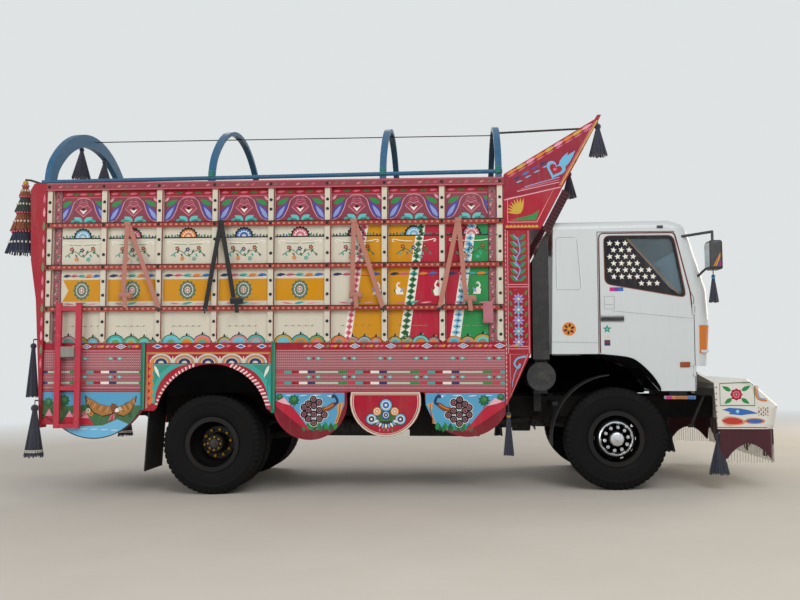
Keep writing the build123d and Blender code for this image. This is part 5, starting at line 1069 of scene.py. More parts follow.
def ring_faces(count, steps):
    """Faces of a closed form made of rings of points: its two ends and the skin between."""
    faces = [tuple(range(steps))[::-1], tuple(range(count - steps, count))]
    for row in range(0, count - steps, steps):
        for i in range(steps):
            j = (i + 1) % steps
            faces.append((row + i, row + j, row + steps + j, row + steps + i))
    return faces


def turned_form(profile, steps):
    """A closed form turned about its z axis from (radius, height) points, foot first."""
    turns = [2 * pi * i / steps for i in range(steps)]
    points = [(r * cos(turn), r * sin(turn), h) for r, h in profile for turn in turns]
    return points, ring_faces(len(points), steps)


# Edges that bend more than this stay sharp
SHARP_EDGE = radians(38)
UP = (0, 0, 1)
OUTWARD = (0, -1, 0)


class Solids:
    """Closed shapes gathered into one mesh, given for the right side in body millimetres."""

    def __init__(self, sides=(1, -1)):
        self.points, self.faces, self.sides = [], [], sides

    def put(self, points, faces):
        for side in self.sides:
            start = len(self.points)
            self.points += [place(x, side * y, z) for x, y, z in points]
            self.faces += [[start + i for i in face] for face in faces]

    def box(self, x0, x1, y0, y1, z0, z1):
        corners = [(x, y, z) for x in (x0, x1) for y in (y0, y1) for z in (z0, z1)]
        self.put(corners, [(0, 1, 3, 2), (4, 6, 7, 5), (0, 4, 5, 1), (2, 3, 7, 6), (0, 2, 6, 4),
                           (1, 5, 7, 3)])

    def prism(self, outline, y0, y1):
        count = len(outline)
        faces = [tuple(range(count)), tuple(range(2 * count - 1, count - 1, -1))]
        faces += [(i, (i + 1) % count, count + (i + 1) % count, count + i) for i in range(count)]
        self.put([(x, y, z) for y in (y0, y1) for x, z in outline], faces)

    def turned(self, centre, axis, profile, steps=24):
        centre = Vector(centre)
        turn = Vector(axis).normalized().to_track_quat("Z", "Y").to_matrix()
        points, faces = turned_form(profile, steps)
        self.put([tuple(centre + turn @ Vector(p)) for p in points], faces)

    def ball(self, centre, radius, steps, rows):
        turns = [pi * (i + 0.12) / (rows + 0.24) for i in range(rows + 1)]
        self.turned(centre, UP, [(radius * sin(t), -radius * cos(t)) for t in turns], steps)

    def tube(self, path, radius, steps=8):
        path = [Vector(p) for p in path]
        points = []
        for i, p in enumerate(path):
            run = path[min(i + 1, len(path) - 1)] - path[max(i - 1, 0)]
            turn = run.to_track_quat("Z", "Y").to_matrix()
            for k in range(steps):
                angle = 2 * pi * k / steps
                points.append(tuple(p + turn @ Vector((radius * cos(angle), radius * sin(angle), 0))))
        self.put(points, ring_faces(len(points), steps))

    def make(self, name, finish, body, slot, rounding=0.0):
        made = piece(name, self.points, self.faces, finish, body)
        face_outward(made.data)
        made.data.set_sharp_from_angle(angle=SHARP_EDGE)
        if rounding:
            bevel = made.modifiers.new("Rounded edges", "BEVEL")
            bevel.width, bevel.segments, bevel.limit_method = rounding, 2, "ANGLE"
        return made


def repeat_tree():
    """Geometry Nodes that stand a shape on every point, faced and sized by the point's own attributes."""
    tree = bpy.data.node_groups.new("Repeat on points", "GeometryNodeTree")
    inputs = (("Points", "Geometry"), ("Shape", "Object"), ("Finish", "Material"), ("Turn", "Float"),
              ("Seed", "Int"))
    for name, kind in inputs:
        tree.interface.new_socket(name, in_out="INPUT", socket_type=f"NodeSocket{kind}")
    tree.interface.new_socket("Made", in_out="OUTPUT", socket_type="NodeSocketGeometry")
    given = add(tree, "NodeGroupInput").outputs
    facing = add(tree, "GeometryNodeInputNamedAttribute", {"Name": "facing"},
                 data_type="FLOAT_VECTOR").outputs[0]
    size = add(tree, "GeometryNodeInputNamedAttribute", {"Name": "size"}, data_type="FLOAT_VECTOR").outputs[0]
    aligned = add(tree, "FunctionNodeAlignRotationToVector", {"Vector": facing}, axis="Z").outputs[0]
    chance = add(tree, "FunctionNodeRandomValue", {2: 0.0, 3: given["Turn"], 8: given["Seed"]},
                 data_type="FLOAT")
    spin = add(tree, "ShaderNodeCombineXYZ", {2: chance.outputs[1]}).outputs[0]
    spun = add(tree, "FunctionNodeEulerToRotation", {0: spin}).outputs[0]
    turned = add(tree, "FunctionNodeRotateRotation", {0: aligned, 1: spun}, rotation_space="LOCAL").outputs[0]
    shape = add(tree, "GeometryNodeObjectInfo", {"Object": given["Shape"]}).outputs["Geometry"]
    stood = add(tree, "GeometryNodeInstanceOnPoints",
                {"Points": given["Points"], "Instance": shape, "Rotation": turned, "Scale": size}).outputs[0]
    real = add(tree, "GeometryNodeRealizeInstances", {"Geometry": stood}).outputs[0]
    done = add(tree, "GeometryNodeSetMaterial", {"Geometry": real, "Material": given["Finish"]}).outputs[0]
    tree.links.new(done, add(tree, "NodeGroupOutput").inputs[0])
    return tree


def boxes(name, finish, body, slot, rounding, sizes, sides=(1, -1)):
    """One piece made of boxes only."""
    made = Solids(sides)
    for size in sizes:
        made.box(*size)
    made.make(name, finish, body, slot, rounding)


def evaluated_mesh(made):
    bpy.context.view_layer.update()
    return bpy.data.meshes.new_from_object(made.evaluated_get(bpy.context.evaluated_depsgraph_get()))


def repeat(name, spots, form, finish, body, turn=0.0, seed=1):
    """Copies of a small form on spots of (place, facing, size), kept as one plain mesh."""
    carrier = bpy.data.meshes.new(name + "_points")
    carrier.from_pydata([tuple(spot[0]) for spot in spots], [], [])
    for key, index in (("facing", 1), ("size", 2)):
        layer = carrier.attributes.new(key, "FLOAT_VECTOR", "POINT")
        layer.data.foreach_set("vector", [value for spot in spots for value in spot[index]])
    small = bpy.data.meshes.new(name + "_form")
    small.from_pydata(form[0], [], form[1])
    small.shade_smooth()
    small.set_sharp_from_angle(angle=SHARP_EDGE)
    holder, shape = stand(name + "_points", carrier), stand(name + "_form", small)
    modifier = holder.modifiers.new("Repeat", "NODES")
    modifier.node_group = bpy.data.node_groups.get("Repeat on points") or repeat_tree()
    given = {"Shape": shape, "Finish": FINISHES[finish], "Turn": turn, "Seed": seed}
    for item in modifier.node_group.interface.items_tree:
        if item.name in given:
            modifier[item.identifier] = given[item.name]
    made = stand(name, evaluated_mesh(holder))
    for item in (holder, shape):
        bpy.data.objects.remove(item)
    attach(made, body)
    return made


NUT = turned_form([(1.0, 0.0), (1.0, 0.85), (0.82, 1.0), (0.5, 1.0), (0.5, 1.4), (0.4, 1.5)], 6)
BOLT = turned_form([(1.0, 0.0), (1.0, 0.35), (0.7, 0.75), (0.3, 0.9)], 8)
STRAND = turned_form([(0.75, 0.0), (1.0, 0.5), (1.15, 1.0)], 4)
BEAD = turned_form([(0.3, -1.0), (0.85, -0.5), (0.85, 0.5), (0.3, 1.0)], 6)


def round_spots(centre, axis, radius, count, size, sides=(1, -1), start=0.0):
    """Spots on a circle, all facing along its axis; the centre is given for the right side."""
    spots = []
    for side in sides:
        out = Vector((axis[0], side * axis[1], axis[2])).normalized()
        over = out.orthogonal().normalized()
        other = out.cross(over)
        middle = Vector((centre[0], side * centre[1], centre[2]))
        for i in range(count):
            angle = start + 2 * pi * i / count
            p = middle + (over * cos(angle) + other * sin(angle)) * radius
            spots.append((place(*p), heading(*out), size))
    return spots


# Wheels
HALF_SECTION = (
    # radius, distance from the middle plane, how deep a gap between lugs cuts into the radius and the side
    (257, 97, 0, 0), (290, 99, 0, 0), (302, 113, 0, 0), (345, 125, 0, 0), (407, 131, 0, 0), (438, 129, 0, 0),
    (444, 132, 0, 0), (450, 128, 0, 0), (482, 123, 0, 4), (508, 116, 12, 10), (521, 105, 15, 4),
    (526, 96, 14, 0),
    (526, 64, 0, 0), (512, 60, 0, 0), (512, 52, 0, 0), (526, 48, 0, 0), (526, 26, 0, 0), (513, 22, 0, 0),
    (513, 14, 0, 0), (526, 10, 0, 0),
)
# Half the width of a tread's grooved middle, and how far its grooves swing to each side
GROOVED, ZIGZAG = 64, 4


def tyre_rings(x, z, middle_ys, lugs):
    """Points and faces of tyres with shoulder lugs and zigzag grooves, side by side on one axle."""
    section = [(r, y, a, b) for r, y, a, b in HALF_SECTION]
    section += [(r, -y, a, -b) for r, y, a, b in HALF_SECTION[::-1]]
    rows, steps = len(section), lugs * 4
    points, faces = [], []
    for middle in middle_ys:
        start = len(points)
        for k in range(steps):
            angle = 2 * pi * k / steps
            gap = 1 if k % 4 == 3 else 0
            zigzag = ZIGZAG if (k // 2) % 2 else -ZIGZAG
            for r, y, cut_r, cut_y in section:
                radius = r - cut_r * gap
                across = y - cut_y * gap + (zigzag if abs(y) < GROOVED else 0)
                points.append(place(x + radius * cos(angle), middle + across, z + radius * sin(angle)))
        for k in range(steps):
            a, b = start + k * rows, start + (k + 1) % steps * rows
            faces += [(a + i, b + i, b + (i + 1) % rows, a + (i + 1) % rows) for i in range(rows)]
    return points, faces


def wheels(look):
    """Treaded tyres, the chrome front hub trim, brass rear studs and hub rings."""
    for side, hand in HANDS:
        for axle, x, z, middles, node in (("front", 0.0, FRONT_AXLE_Z, (1029.0,), "front_tyre"),
                                          ("rear", REAR_AXLE_X, TYRE_RADIUS, (1065.0, 750.0), "rear_tyres")):
            points, faces = tyre_rings(x, z, [-side * y for y in middles], look.lugs)
            tread = piece(f"tread_{axle}_{hand}", points, faces, "tyre", f"{axle}_wheel_{hand}")
            face_outward(tread.data)
            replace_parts(tread, f"{node}_{hand}")
        front, rear = f"front_wheel_{hand}", f"rear_wheel_{hand}"
        trim = Solids((side,))
        trim.turned((0, -1104.5, FRONT_AXLE_Z), OUTWARD,
                    [(146, 0), (146, 7), (154, 26), (166, 34), (177, 26), (183, 0)], 48)
        trim.turned((0, -1172.5, FRONT_AXLE_Z), OUTWARD, [(74, -10), (74, 6), (66, 16), (40, 22), (6, 24)],
                    36)
        trim.make(f"hub_trim_{hand}", "chrome", front, "rim_dark")
        nuts = round_spots((0, -1111, FRONT_AXLE_Z), OUTWARD, 118, 10, (0.021, 0.021, 0.032), (side,))
        repeat(f"front_nuts_{hand}", nuts, NUT, "chrome", front, pi / 3)
        studs = round_spots((REAR_AXLE_X, -1075, TYRE_RADIUS), OUTWARD, 68, 8, (0.012, 0.012, 0.016), (side,))
        studs += round_spots((REAR_AXLE_X, -921.5, TYRE_RADIUS), OUTWARD, 143, 10, (0.018, 0.018, 0.032),
                             (side,))
        repeat(f"rear_nuts_{hand}", studs, NUT, "brass", rear, pi / 3)
        hub = Solids((side,))
        hub.turned((REAR_AXLE_X, -1075.5, TYRE_RADIUS), OUTWARD, [(52, 0), (50, 18), (40, 26), (4, 28)], 30)
        hub.tube([(REAR_AXLE_X + 225, -1000, TYRE_RADIUS), (REAR_AXLE_X + 205, -1035, TYRE_RADIUS + 6)], 4)
        hub.make(f"rear_hub_end_{hand}", "iron", rear, "rim_dark")


def face_outward(mesh):
    shell = bmesh.new()
    shell.from_mesh(mesh)
    bmesh.ops.recalc_face_normals(shell, faces=shell.faces)
    shell.to_mesh(mesh)
    shell.free()


# Painted hardware of the body
BOLT_ZS = (1682, 1826, 2111, 2259, 2549, 2706, 3020, 3121)
# Where the long rails begin and end, how far under a rail's top its bolts sit, and the top beam's heights
RAIL_ENDS = (-6056, -1145)
RAIL_BOLT_DEPTH = 27
BEAM_LOW, BEAM_BOLT_Z, BEAM_HIGH = 3256, 3288, 3318


def body_hardware(look):
    """Bolts of the posts and rails, dashes and a painted shadow line on the rails, lines beside the posts,
    the top beam's leaves.
    """
    spots = []
    size = (look.bolt_size, look.bolt_size, look.bolt_size * 0.7)
    post_xs = [FIRST_POST + i * POST_PITCH for i in range(POSTS)]
    for side in (1, -1):
        out = heading(0, -side, 0)
        for x in post_xs:
            spots += [(place(x - 6, -side * POST_Y, z), out, size) for z in BOLT_ZS]
            spots += [(place(x - 6, -side * RAIL_Y, z - RAIL_BOLT_DEPTH), out, size) for z in RAIL_TOPS]
            spots.append((place(x - 6, -side * RAIL_Y, BEAM_BOLT_Z), out, size))
    repeat("body_bolts", spots, BOLT, "axle", "chassis", pi / 3)
    posts = Canvas.side("post_lines", POST_Y, slot="post_cream")
    for x in post_xs:
        for low, high in zip((1630, *RAIL_TOPS), (1935, 2383, 2838, 3245)):
            posts.band(x + 22, x + 28, low + 3, high - 3, "crimson", 1)
            posts.band(x + 28, x + 34, low + 3, high - 3, "black", 1)
    posts.make()
    rails = Canvas.side("rail_dashes", RAIL_Y, slot="rail_red")
    for top in RAIL_TOPS:
        rails.dashes(-6050, -1165, top - 30, 24, 58, 20, "c4826e", 1)
        # Painted shadow: a dark line along each rail's top edge
        rails.band(*RAIL_ENDS, top - 9, top, "22100e", 1)
        rails.band(*RAIL_ENDS, top - 55, top - 51, "9c2f22", 1)
    rails.band(*RAIL_ENDS, BEAM_LOW, BEAM_HIGH, "8c3d48", 0)
    rails.band(*RAIL_ENDS, BEAM_LOW - 7, BEAM_LOW, "rose", 1)
    rails.band(*RAIL_ENDS, BEAM_HIGH, BEAM_HIGH + 6, "rose", 1)
    for i in range(60):
        x = -6010 + i * 81
        rails.leaf(x, 3276, x + 50, 3296, 20, ("8c3a48", "c08078", "6c6a4c", "b5606e")[i % 4], 1)
    rails.make()


def column_paintings():
    """The front columns: a chain of leaves, a leafy vine, flowers and a feather."""
    art = Canvas.side("column_paintings", SKIRT_Y, slot="prow_paint")
    art.band(-1134, -1116, 960, 2775, "b8485c", 1)
    for z in range(1010, 2765, 46):
        art.leaf(-1125, z, -1125, z + 28, 9, "cream", 2)
    for x in (-1106, -892):
        art.band(x, x + 6, 1480, 2765, "pink", 1)
    for z in (2170, 2195, 1525, 1550):
        art.band(-1100, -892, z, z + 7, "pink", 2)
    middle = -996
    for i in range(7):
        z = 2235 + i * 72
        for side in (-1, 1):
            art.leaf(middle, z, middle + side * 86, z + 56, 44, "green", 2)
        for side, shade in ((-1, "lilac"), (1, "purple")):
            art.leaf(middle, z + 4, middle + side * 56, z + 62, 16, shade, 3)
    art.line(smooth_line([(-1020, 2250), (-975, 2350), (-1020, 2450), (-975, 2550), (-1000, 2690)]), 12,
             "lilac", 4)
    for i in range(5):
        z = 1600 + i * 112
        art.petals(middle, z, 62, 8, ("lilac", "sky")[i % 2], 2, 22)
        art.disc(middle, z, 16, "cream", 3)
        for side in (1, -1):
            art.leaf(middle + side * 66, z + 40, middle + (91 if side == 1 else -92), z + 92, 22, "green", 2)
    art.line([(-1088, 1472), (-1088, 1030), (-905, 1472)], 8, "pink", 2, closed=True)
    art.line(smooth_line([(-925, 1450), (-1010, 1430), (-1045, 1370), (-1000, 1330), (-985, 1375),
                          (-1030, 1300), (-1060, 1200), (-1068, 1130)]), 22, "sky", 3, taper=True)
    art.make()


def prow_side_paintings():
    """The prow's sides: a fan, a row of domes, leaves along the flare and a heart with a flame tail."""
    prow = Canvas.side("prow_paintings", PROW_Y, slot="prow_paint")
    prow.fill([(-1136, 2782), (-760, 2782), (-538, 3203), (-1136, 3072)], "a5142c", 1)
    prow.line([(-1100, 3100), (-1100, 2852), (-798, 2852), (-620, 3196)], 9, "pink", 2, closed=True)
    prow.fill([(-1080, 2870), (-840, 2930), (-772, 2978), (-810, 2870)], "green", 3)
    for i in range(8):
        angle = radians(175 - 14 * i)
        prow.leaf(-965, 2945, -965 + 150 * cos(angle), 2945 + 165 * sin(angle), 30, "gold", 4)
    for i in range(9):
        prow.dome(-1105 + i * 38, 2794, 19, "gold", 3, 26, 8)
    prow.line([(-1136, 3086), (-546, 3216)], 12, "pink", 3)
    prow.fill([(-1136, 3098), (-552, 3226), (-150, 3940), (-1136, 3348)], "8f1630", 1)
    for i in range(9):
        x = -1050 + i * 98
        z = 3392 + i * 58
        prow.leaf(x - 60, z - 42, x + 60, z + 30, 34, ("orange", "gold", "pink")[i % 3], 3)
        prow.leaf(x - 40, z - 66, x + 50, z - 12, 16, "rose", 3)
    for i in range(4):
        x = -1000 + i * 92
        z = 3305 + i * 52
        prow.leaf(x - 40, z - 10, x + 44, z + 34, 26, ("navy", "blue", "purple")[i % 3], 4)
        prow.leaf(x - 10, z - 40, x + 60, z - 10, 16, "sky", 5)
    for i, shade in enumerate(("pink", "rose", "lilac")):
        prow.line([(-1000 + 40 * i, 3175 + 24 * i), (-560, 3268 + 26 * i)], 9, shade, 4)
    turns = [2 * pi * i / 24 for i in range(24)]
    heart = [(16 * sin(t)**3, 13 * cos(t) - 5 * cos(2 * t) - 2 * cos(3 * t) - cos(4 * t)) for t in turns]
    tilt = 0.35
    for size, shade, coat in ((6.4, "sky", 5), (4.2, "crimson", 7)):
        turned = [(u * cos(tilt) + v * sin(tilt), v * cos(tilt) - u * sin(tilt)) for u, v in heart]
        prow.fill([(-600 + size * u, 3402 + size * v) for u, v in turned], shade, coat)
    for tip in ((-392, 3600), (-430, 3560), (-470, 3580)):
        prow.leaf(-560, 3400, *tip, 70, "sky", 4)
    prow.star(-604, 3404, 26, "rose", 8)
    prow.line([(-545, 3235), (-160, 3915)], 14, "gold", 4)
    prow.line([(-562, 3235), (-182, 3908)], 8, "rose", 5)
    prow.make()


def prow_front_paintings():
    """The prow's two sloping front faces: a border and a row of rosettes with leaves between them."""
    toe, knee, tip = Vector((-757, 0, 2779)), Vector((-535, 0, 3203)), Vector((-120, 0, 3969))
    for name, low, high in (("prow_lower_front", toe, knee), ("prow_upper_front", knee, tip)):
        art = Canvas(name, low, (0, 1, 0), high - low, slot="prow_paint", mirror=False)
        length = (high - low).length
        middle = length / 2
        art.band(-1232, 1232, 14, length - 10, "a5142c", 1)
        for y in (-1218, 1206):
            art.band(y, y + 12, 20, length - 20, "pink", 2)
        for z in (24, length - 30):
            art.band(-1215, 1215, z, z + 10, "gold", 2)
        for i in range(8):
            y = -1050 + i * 300
            art.petals(y, middle, length * 0.36, 12, ("lilac", "gold", "sky", "rose")[i % 4], 3)
            art.petals(y, middle, length * 0.22, 8, ("navy", "crimson", "purple", "green")[i % 4], 4)
            art.disc(y, middle, length * 0.07, "cream", 5)
            for step in (-1, 1):
                art.leaf(y + 150, middle + step * 20, y + 150, middle + step * length * 0.36, 60, "green", 3)
        art.make()


def rear_paintings():
    """Tailgate panels, rear header and the rear posts' outer faces, after the style of the sides."""
    gate = Canvas("tailgate_paintings", (-6106, 0, 0), OUTWARD, UP, bodies=("tailgate",), slot="prow_paint",
                  mirror=False)
    for low, high, field, outer, inner in ((1360, 1660, "b01735", "sky", "navy"),
                                           (1742, 2030, "ochre", "crimson", "white")):
        for y0, y1 in ((-1034, -45), (45, 1034)):
            y, z = (y0 + y1) / 2, (low + high) / 2
            gate.band(y0, y1, low, high, "cream", 1)
            gate.band(y0 + 18, y1 - 18, low + 18, high - 18, field, 2)
            gate.petals(y, z, 118, 14, outer, 3)
            gate.petals(y, z, 74, 10, inner, 4)
            gate.disc(y, z, 26, "cream", 5)
            for side in (-1, 1):
                for rise, shade in ((70, "green"), (-70, "teal")):
                    gate.leaf(y + side * 130, z, y + side * 360, z + rise, 70, shade, 3)
                gate.disc(y + side * 400, z, 42, "rose", 3)
                gate.disc(y + side * 400, z, 22, "white", 4)
    gate.make()
    header = Canvas("header_paintings", (-6200, 0, 0), OUTWARD, UP, slot="prow_paint", mirror=False)
    header.band(-1110, 1110, 3198, 3322, "8f1630", 1)
    for i in range(15):
        y = -1050 + i * 150
        header.lozenge(y, 3260, 58, 44, ("sky", "gold", "rose")[i % 3], 2)
        header.disc(y, 3260, 18, "white", 3)
        header.leaf(y + 60, 3260, y + 92, 3302, 16, "green", 3)
    header.make()
    posts = Canvas.side("rear_post_paintings", 1255.0, slot="prow_paint")
    for i in range(13):
        z = 1330 + i * 148
        posts.leaf(-6085, z, -6085, z + 110, 26, ("rose", "5d8a5c", "pink")[i % 3], 1)
    posts.make()


# Tassels
# How far a strand strays from its even place, how much shorter it may be, and the reach of each three in turn
STRAY, SHORTER = 0.3, 0.06
INSETS = (1.0, 0.9, 0.96)


def skirt_of_strands(spots, x, y, top_z, low_z, top_radius, low_radius, count, width, chance):
    """Spots for strands that hang in a cone on both sides of the truck, their ends uneven."""
    for side in (1, -1):
        for i in range(count):
            angle = 2 * pi * (i + chance.uniform(-STRAY, STRAY)) / count
            start = Vector((x + top_radius * cos(angle), side * (y + top_radius * sin(angle)), top_z))
            end_z = low_z + chance.uniform(0, SHORTER) * (top_z - low_z)
            reach = low_radius * INSETS[i % 3]
            end = Vector((x + reach * cos(angle), side * (y + reach * sin(angle)), end_z))
            run = end - start
            spots.append((place(*start), heading(*run), (width, width, run.length / 1000)))


# Tassels: x, y, top, low, head, hem, length of string, body, colour of the wraps at the neck
TASSELS = (
    (-6198, -1190, 1610, 1014, 34, 62, 30, "chassis", "yarn"),
    (-6112, -1300, 960, 390, 42, 100, 30, "chassis", "white_band"),
    (-6085, -340, 3950, 3560, 30, 110, 118, "chassis", "yarn"),
    (-1108, -1195, 880, 425, 26, 52, 80, "chassis", "gold_band"),
    (1034, -1140, 669.7, 240, 32, 100, 39, "chassis", "yarn"),
    (-150, -1208, 3900, 3540, 36, 96, 14, "chassis", "yarn"),
    (960, -1350, 2281.7, 1990, 20, 46, 39, "cab", "blue_band"),
)


def yarn_tassels(look):
    """Every tassel: string, wound head, core and loose strands, and the hooks of the rear ones."""
    for body, node in (("chassis", "tassels"), ("cab", "mirror_tassels")):
        chance = random.Random(11)
        core, spots = Solids(), []
        for x, y, top, low, head, hem, cord, rides, wrap in TASSELS:
            if rides != body:
                continue
            flare = top - 1.9 * head
            core.tube([(x, y, top - head), (x, y, top + cord)], 5)
            core.ball((x, y, top - 1.2 * head), head * 0.96, 16, 9)
            for step in range(3):
                z = flare + head * (0.35 - 0.22 * step)
                core.turned((x, y, z), UP, [(head * 0.62, -5), (head * 0.7, 0), (head * 0.62, 5)], 14)
            drop = flare - low
            skirt = [(hem * 0.78, 26), (hem * 0.8, 34), (head * 0.5, drop - 4), (head * 0.4, drop + 6)]
            core.turned((x, y, low), UP, skirt, 20)
            skirt_of_strands(spots, x, y, flare + 4, low, head * 0.5, hem * 0.97, look.strands, 0.0045,
                             chance)
            if wrap != "yarn":
                ring = Solids()
                z = low + 60 if wrap == "white_band" else top - 2.1 * head
                radius = hem * 0.9 if wrap == "white_band" else head * 0.78
                for step in range(2):
                    ring.turned((x, y, z + 16 * step), UP, [(radius, -6), (radius + 6, 0), (radius - 1, 6)],
                                24)
                ring.make(f"{wrap}_{node}", wrap, body, "tassel_black")
        if body == "chassis":
            core.tube([(-6198, -1190, 1640), (-6090, -1190, 1640)], 8)
            core.tube([(-6112, -1300, 990), (-6082, -1300, 990), (-6082, -1256, 990)], 8)
        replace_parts(core.make(f"{node}_core", "yarn", body, "tassel_black"), node)
        repeat(f"{node}_strands", spots, STRAND, "yarn", body, pi)


ORNAMENT_TOP = 3400.0
# Tiers of the hanging ornaments: radius and depth below the top where each begins and ends, and its yarn
ORNAMENT_TIERS = (
    (16, 40, 62, 165, "yarn_rust"), (40, 165, 104, 345, "yarn_green"), (70, 345, 146, 560, "yarn_rust"),
    (110, 560, 192, 815, "yarn_navy"),
)
BEAD_SIZE = (0.013, 0.013, 0.013)


def rear_ornaments():
    """Tiered ornaments behind the header: a bulb, rings of beads and skirts of coloured yarn."""
    x, y = -6430.0, -1000.0
    rod = Solids()
    rod.tube([(-6150, y, 3346), (x + 60, y, 3418), (x, y, 3424), (x, y, 3396)], 12)
    rod.turned((x, y, 2620), UP, [(150, 0), (96, 250), (60, 500), (12, 760)], 20)
    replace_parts(rod.make("ornament_arms", "steel", "chassis", "ornament_beads"), "rear_ornaments")
    bulb = Solids()
    bulb.ball((x, y, 3386), 30, 16, 9)
    bulb.ball((x, y, 3345), 22, 14, 7)
    bulb.make("ornament_bulbs", "gold_band", "chassis", "ornament_beads")
    chance = random.Random(5)
    beads = {"rose_bead": [], "white_band": []}
    for index, (r0, d0, r1, d1, yarn) in enumerate(ORNAMENT_TIERS):
        spots = []
        skirt_of_strands(spots, x, y, ORNAMENT_TOP - d0, ORNAMENT_TOP - d1, r0, r1, 52, 0.0065, chance)
        repeat(f"ornament_yarn_{index}", spots, STRAND, yarn, "chassis", pi)
        for kind, depth, radius in (("rose_bead", d0 + 6, r0 + 16),
                                    ("white_band", (d0 + d1) / 2, (r0 + r1) / 2 + 8)):
            beads[kind] += round_spots((x, y, ORNAMENT_TOP - depth), UP, radius, 10 + 5 * index, BEAD_SIZE)
    for kind, spots in beads.items():
        repeat(f"ornament_{kind}", spots, BEAD, kind, "chassis")


# Bumper
def bumper_dress():
    """Rose panel, eye motif, spots and coloured shapes on the bumper's sides, flowers across its front."""
    art = Canvas.side("bumper_paintings", CAB_Y, slot="bumper_white")
    for i in range(7):
        art.disc(1004, 760 + i * 62, 8, "crimson", 2, steps=8)
    art.line([(1040, 948), (1385, 948), (1385, 1150), (1340, 1184), (1040, 1172)], 9, "2f6b4c", 2,
             closed=True)
    rose_x, rose_z = 1204, 1060
    for u, v in ((-105, 70), (105, 75), (-90, -78), (95, -78)):
        art.leaf(rose_x + u * 0.5, rose_z + v * 0.5, rose_x + u * 1.35, rose_z + v * 1.2, 44, "green", 3)
    for radius, shade, count, coat in ((62, "crimson", 8, 4), (42, "rose", 7, 5), (24, "b01735", 5, 6)):
        art.petals(rose_x, rose_z, radius, count, shade, coat, radius * 0.9)
    art.disc(rose_x, rose_z, 8, "cream", 8, steps=8)
    art.fill([(1060, 905), (1130, 925), (1240, 918), (1330, 900), (1420, 868), (1330, 862), (1250, 850),
              (1180, 856), (1120, 862), (1140, 880)], "blue", 3)
    art.disc(1212, 888, 20, "sky", 4)
    art.disc(1212, 888, 9, "white", 5, steps=8)
    for i in range(20):
        x, z = 1424 + (i % 5) * 22, 850 + (i // 5) * 22 + (i % 2) * 8
        art.disc(x, z, 8 if i % 3 else 6, "brown" if i % 4 else "orange", 3, steps=6)
    art.line(smooth_line([(1052, 796), (1100, 832), (1190, 826), (1262, 800), (1262, 764), (1100, 752),
                          (1056, 796)]), 7, "orange", 4)
    art.fill(smooth_line([(1056, 796), (1110, 824), (1190, 820), (1256, 796), (1250, 768), (1110, 760),
                          (1056, 796)]), "c2362c", 3)
    art.fill(ring_points(1380, 792, 104, 30), "orange", 3)
    art.fill(ring_points(1380, 792, 82, 22), "blue", 4)
    art.line(smooth_line([(1400, 1150), (1404, 1040), (1440, 1006), (1508, 1000)]), 16, "orange", 3)
    art.line(smooth_line([(1418, 1148), (1422, 1050), (1450, 1020), (1500, 1016)]), 6, "blue", 3)
    art.band(1004, 1500, 722, 730, "crimson", 2)
    art.make()
    low, high = Vector((1605, 0, 732)), Vector((1645, 0, 954))
    front = Canvas("bumper_front_paintings", low, (0, 1, 0), high - low, slot="bumper_white", mirror=False)
    up = 118
    for y in (-560, -280, 0, 280, 560):
        front.petals(y, up, 74, 12, "crimson" if y else "blue", 2)
        front.petals(y, up, 44, 8, "rose" if y else "sky", 3)
        front.disc(y, up, 14, "gold", 4)
        for side in (-1, 1):
            for rise in (42, -42):
                front.leaf(y + side * 80, up, y + side * 128, up + rise, 30, "green", 2)
    front.band(-1060, 1060, 26, 34, "crimson", 2)
    front.band(-1060, 1060, 196, 204, "blue", 2)
    front.make()
    rings = Solids()
    rings.turned((1622, -860, 850), (1, 0, 0), [(104, 0), (102, 12), (88, 16), (84, 8), (84, 2)], 36)
    rings.make("headlamp_rings", "chrome", "chassis", "lamp_clear")


CLOTH_PATH = ((1034, -1186), (1495, -1186), (1545, -1170), (1572, -1125), (1576, -1060), (1576, 0))
CLOTH_TOP, CLOTH_LOW = 708.0, 402.0
# Width of one strip of the cloth, and the lowest height and the pitch of the beads below it
CLOTH_STEP = 14.0
BEADS_LOW, BEAD_PITCH = 376, 19


def cloth_edge(x, y):
    """Height of the bumper cloth's lower edge, scooped on the sides and three times across the front."""
    if x < 1560 and abs(y) > 1150:
        middle, half, along = 1320, 220, x
    else:
        middle, half, along = round(y / 600) * 600, 260, y
    part = abs(along - middle) / half
    return CLOTH_LOW + 158 * (1 - part**2) if part < 1 else CLOTH_LOW + 6


def cloth_piece(name, points, rows, finish, thickness):
    """A cloth with a thickness, from strips of points that each have the same rows, and its flat area."""
    wide = rows + 1
    faces = [(a, a + wide, a + wide + 1, a + 1) for start in range(0, len(points) - wide, wide)
             for a in range(start, start + rows)]
    made = piece(name, points, faces, finish, "chassis")
    area = sum(face.area for face in made.data.polygons)
    thick = made.modifiers.new("Cloth thickness", "SOLIDIFY")
    thick.thickness, thick.offset = thickness, 0.0
    return made, area


def evenly(line, pitch):
    """Points at an even pitch along a line."""
    spaced, left_over = [Vector(line[0])], 0.0
    for a, b in zip(line, line[1:]):
        a, b = Vector(a), Vector(b)
        length, walked = (b - a).length, pitch - left_over
        while walked <= length:
            spaced.append(a + (b - a) * walked / length)
            walked += pitch
        left_over = length - (walked - pitch)
    return spaced


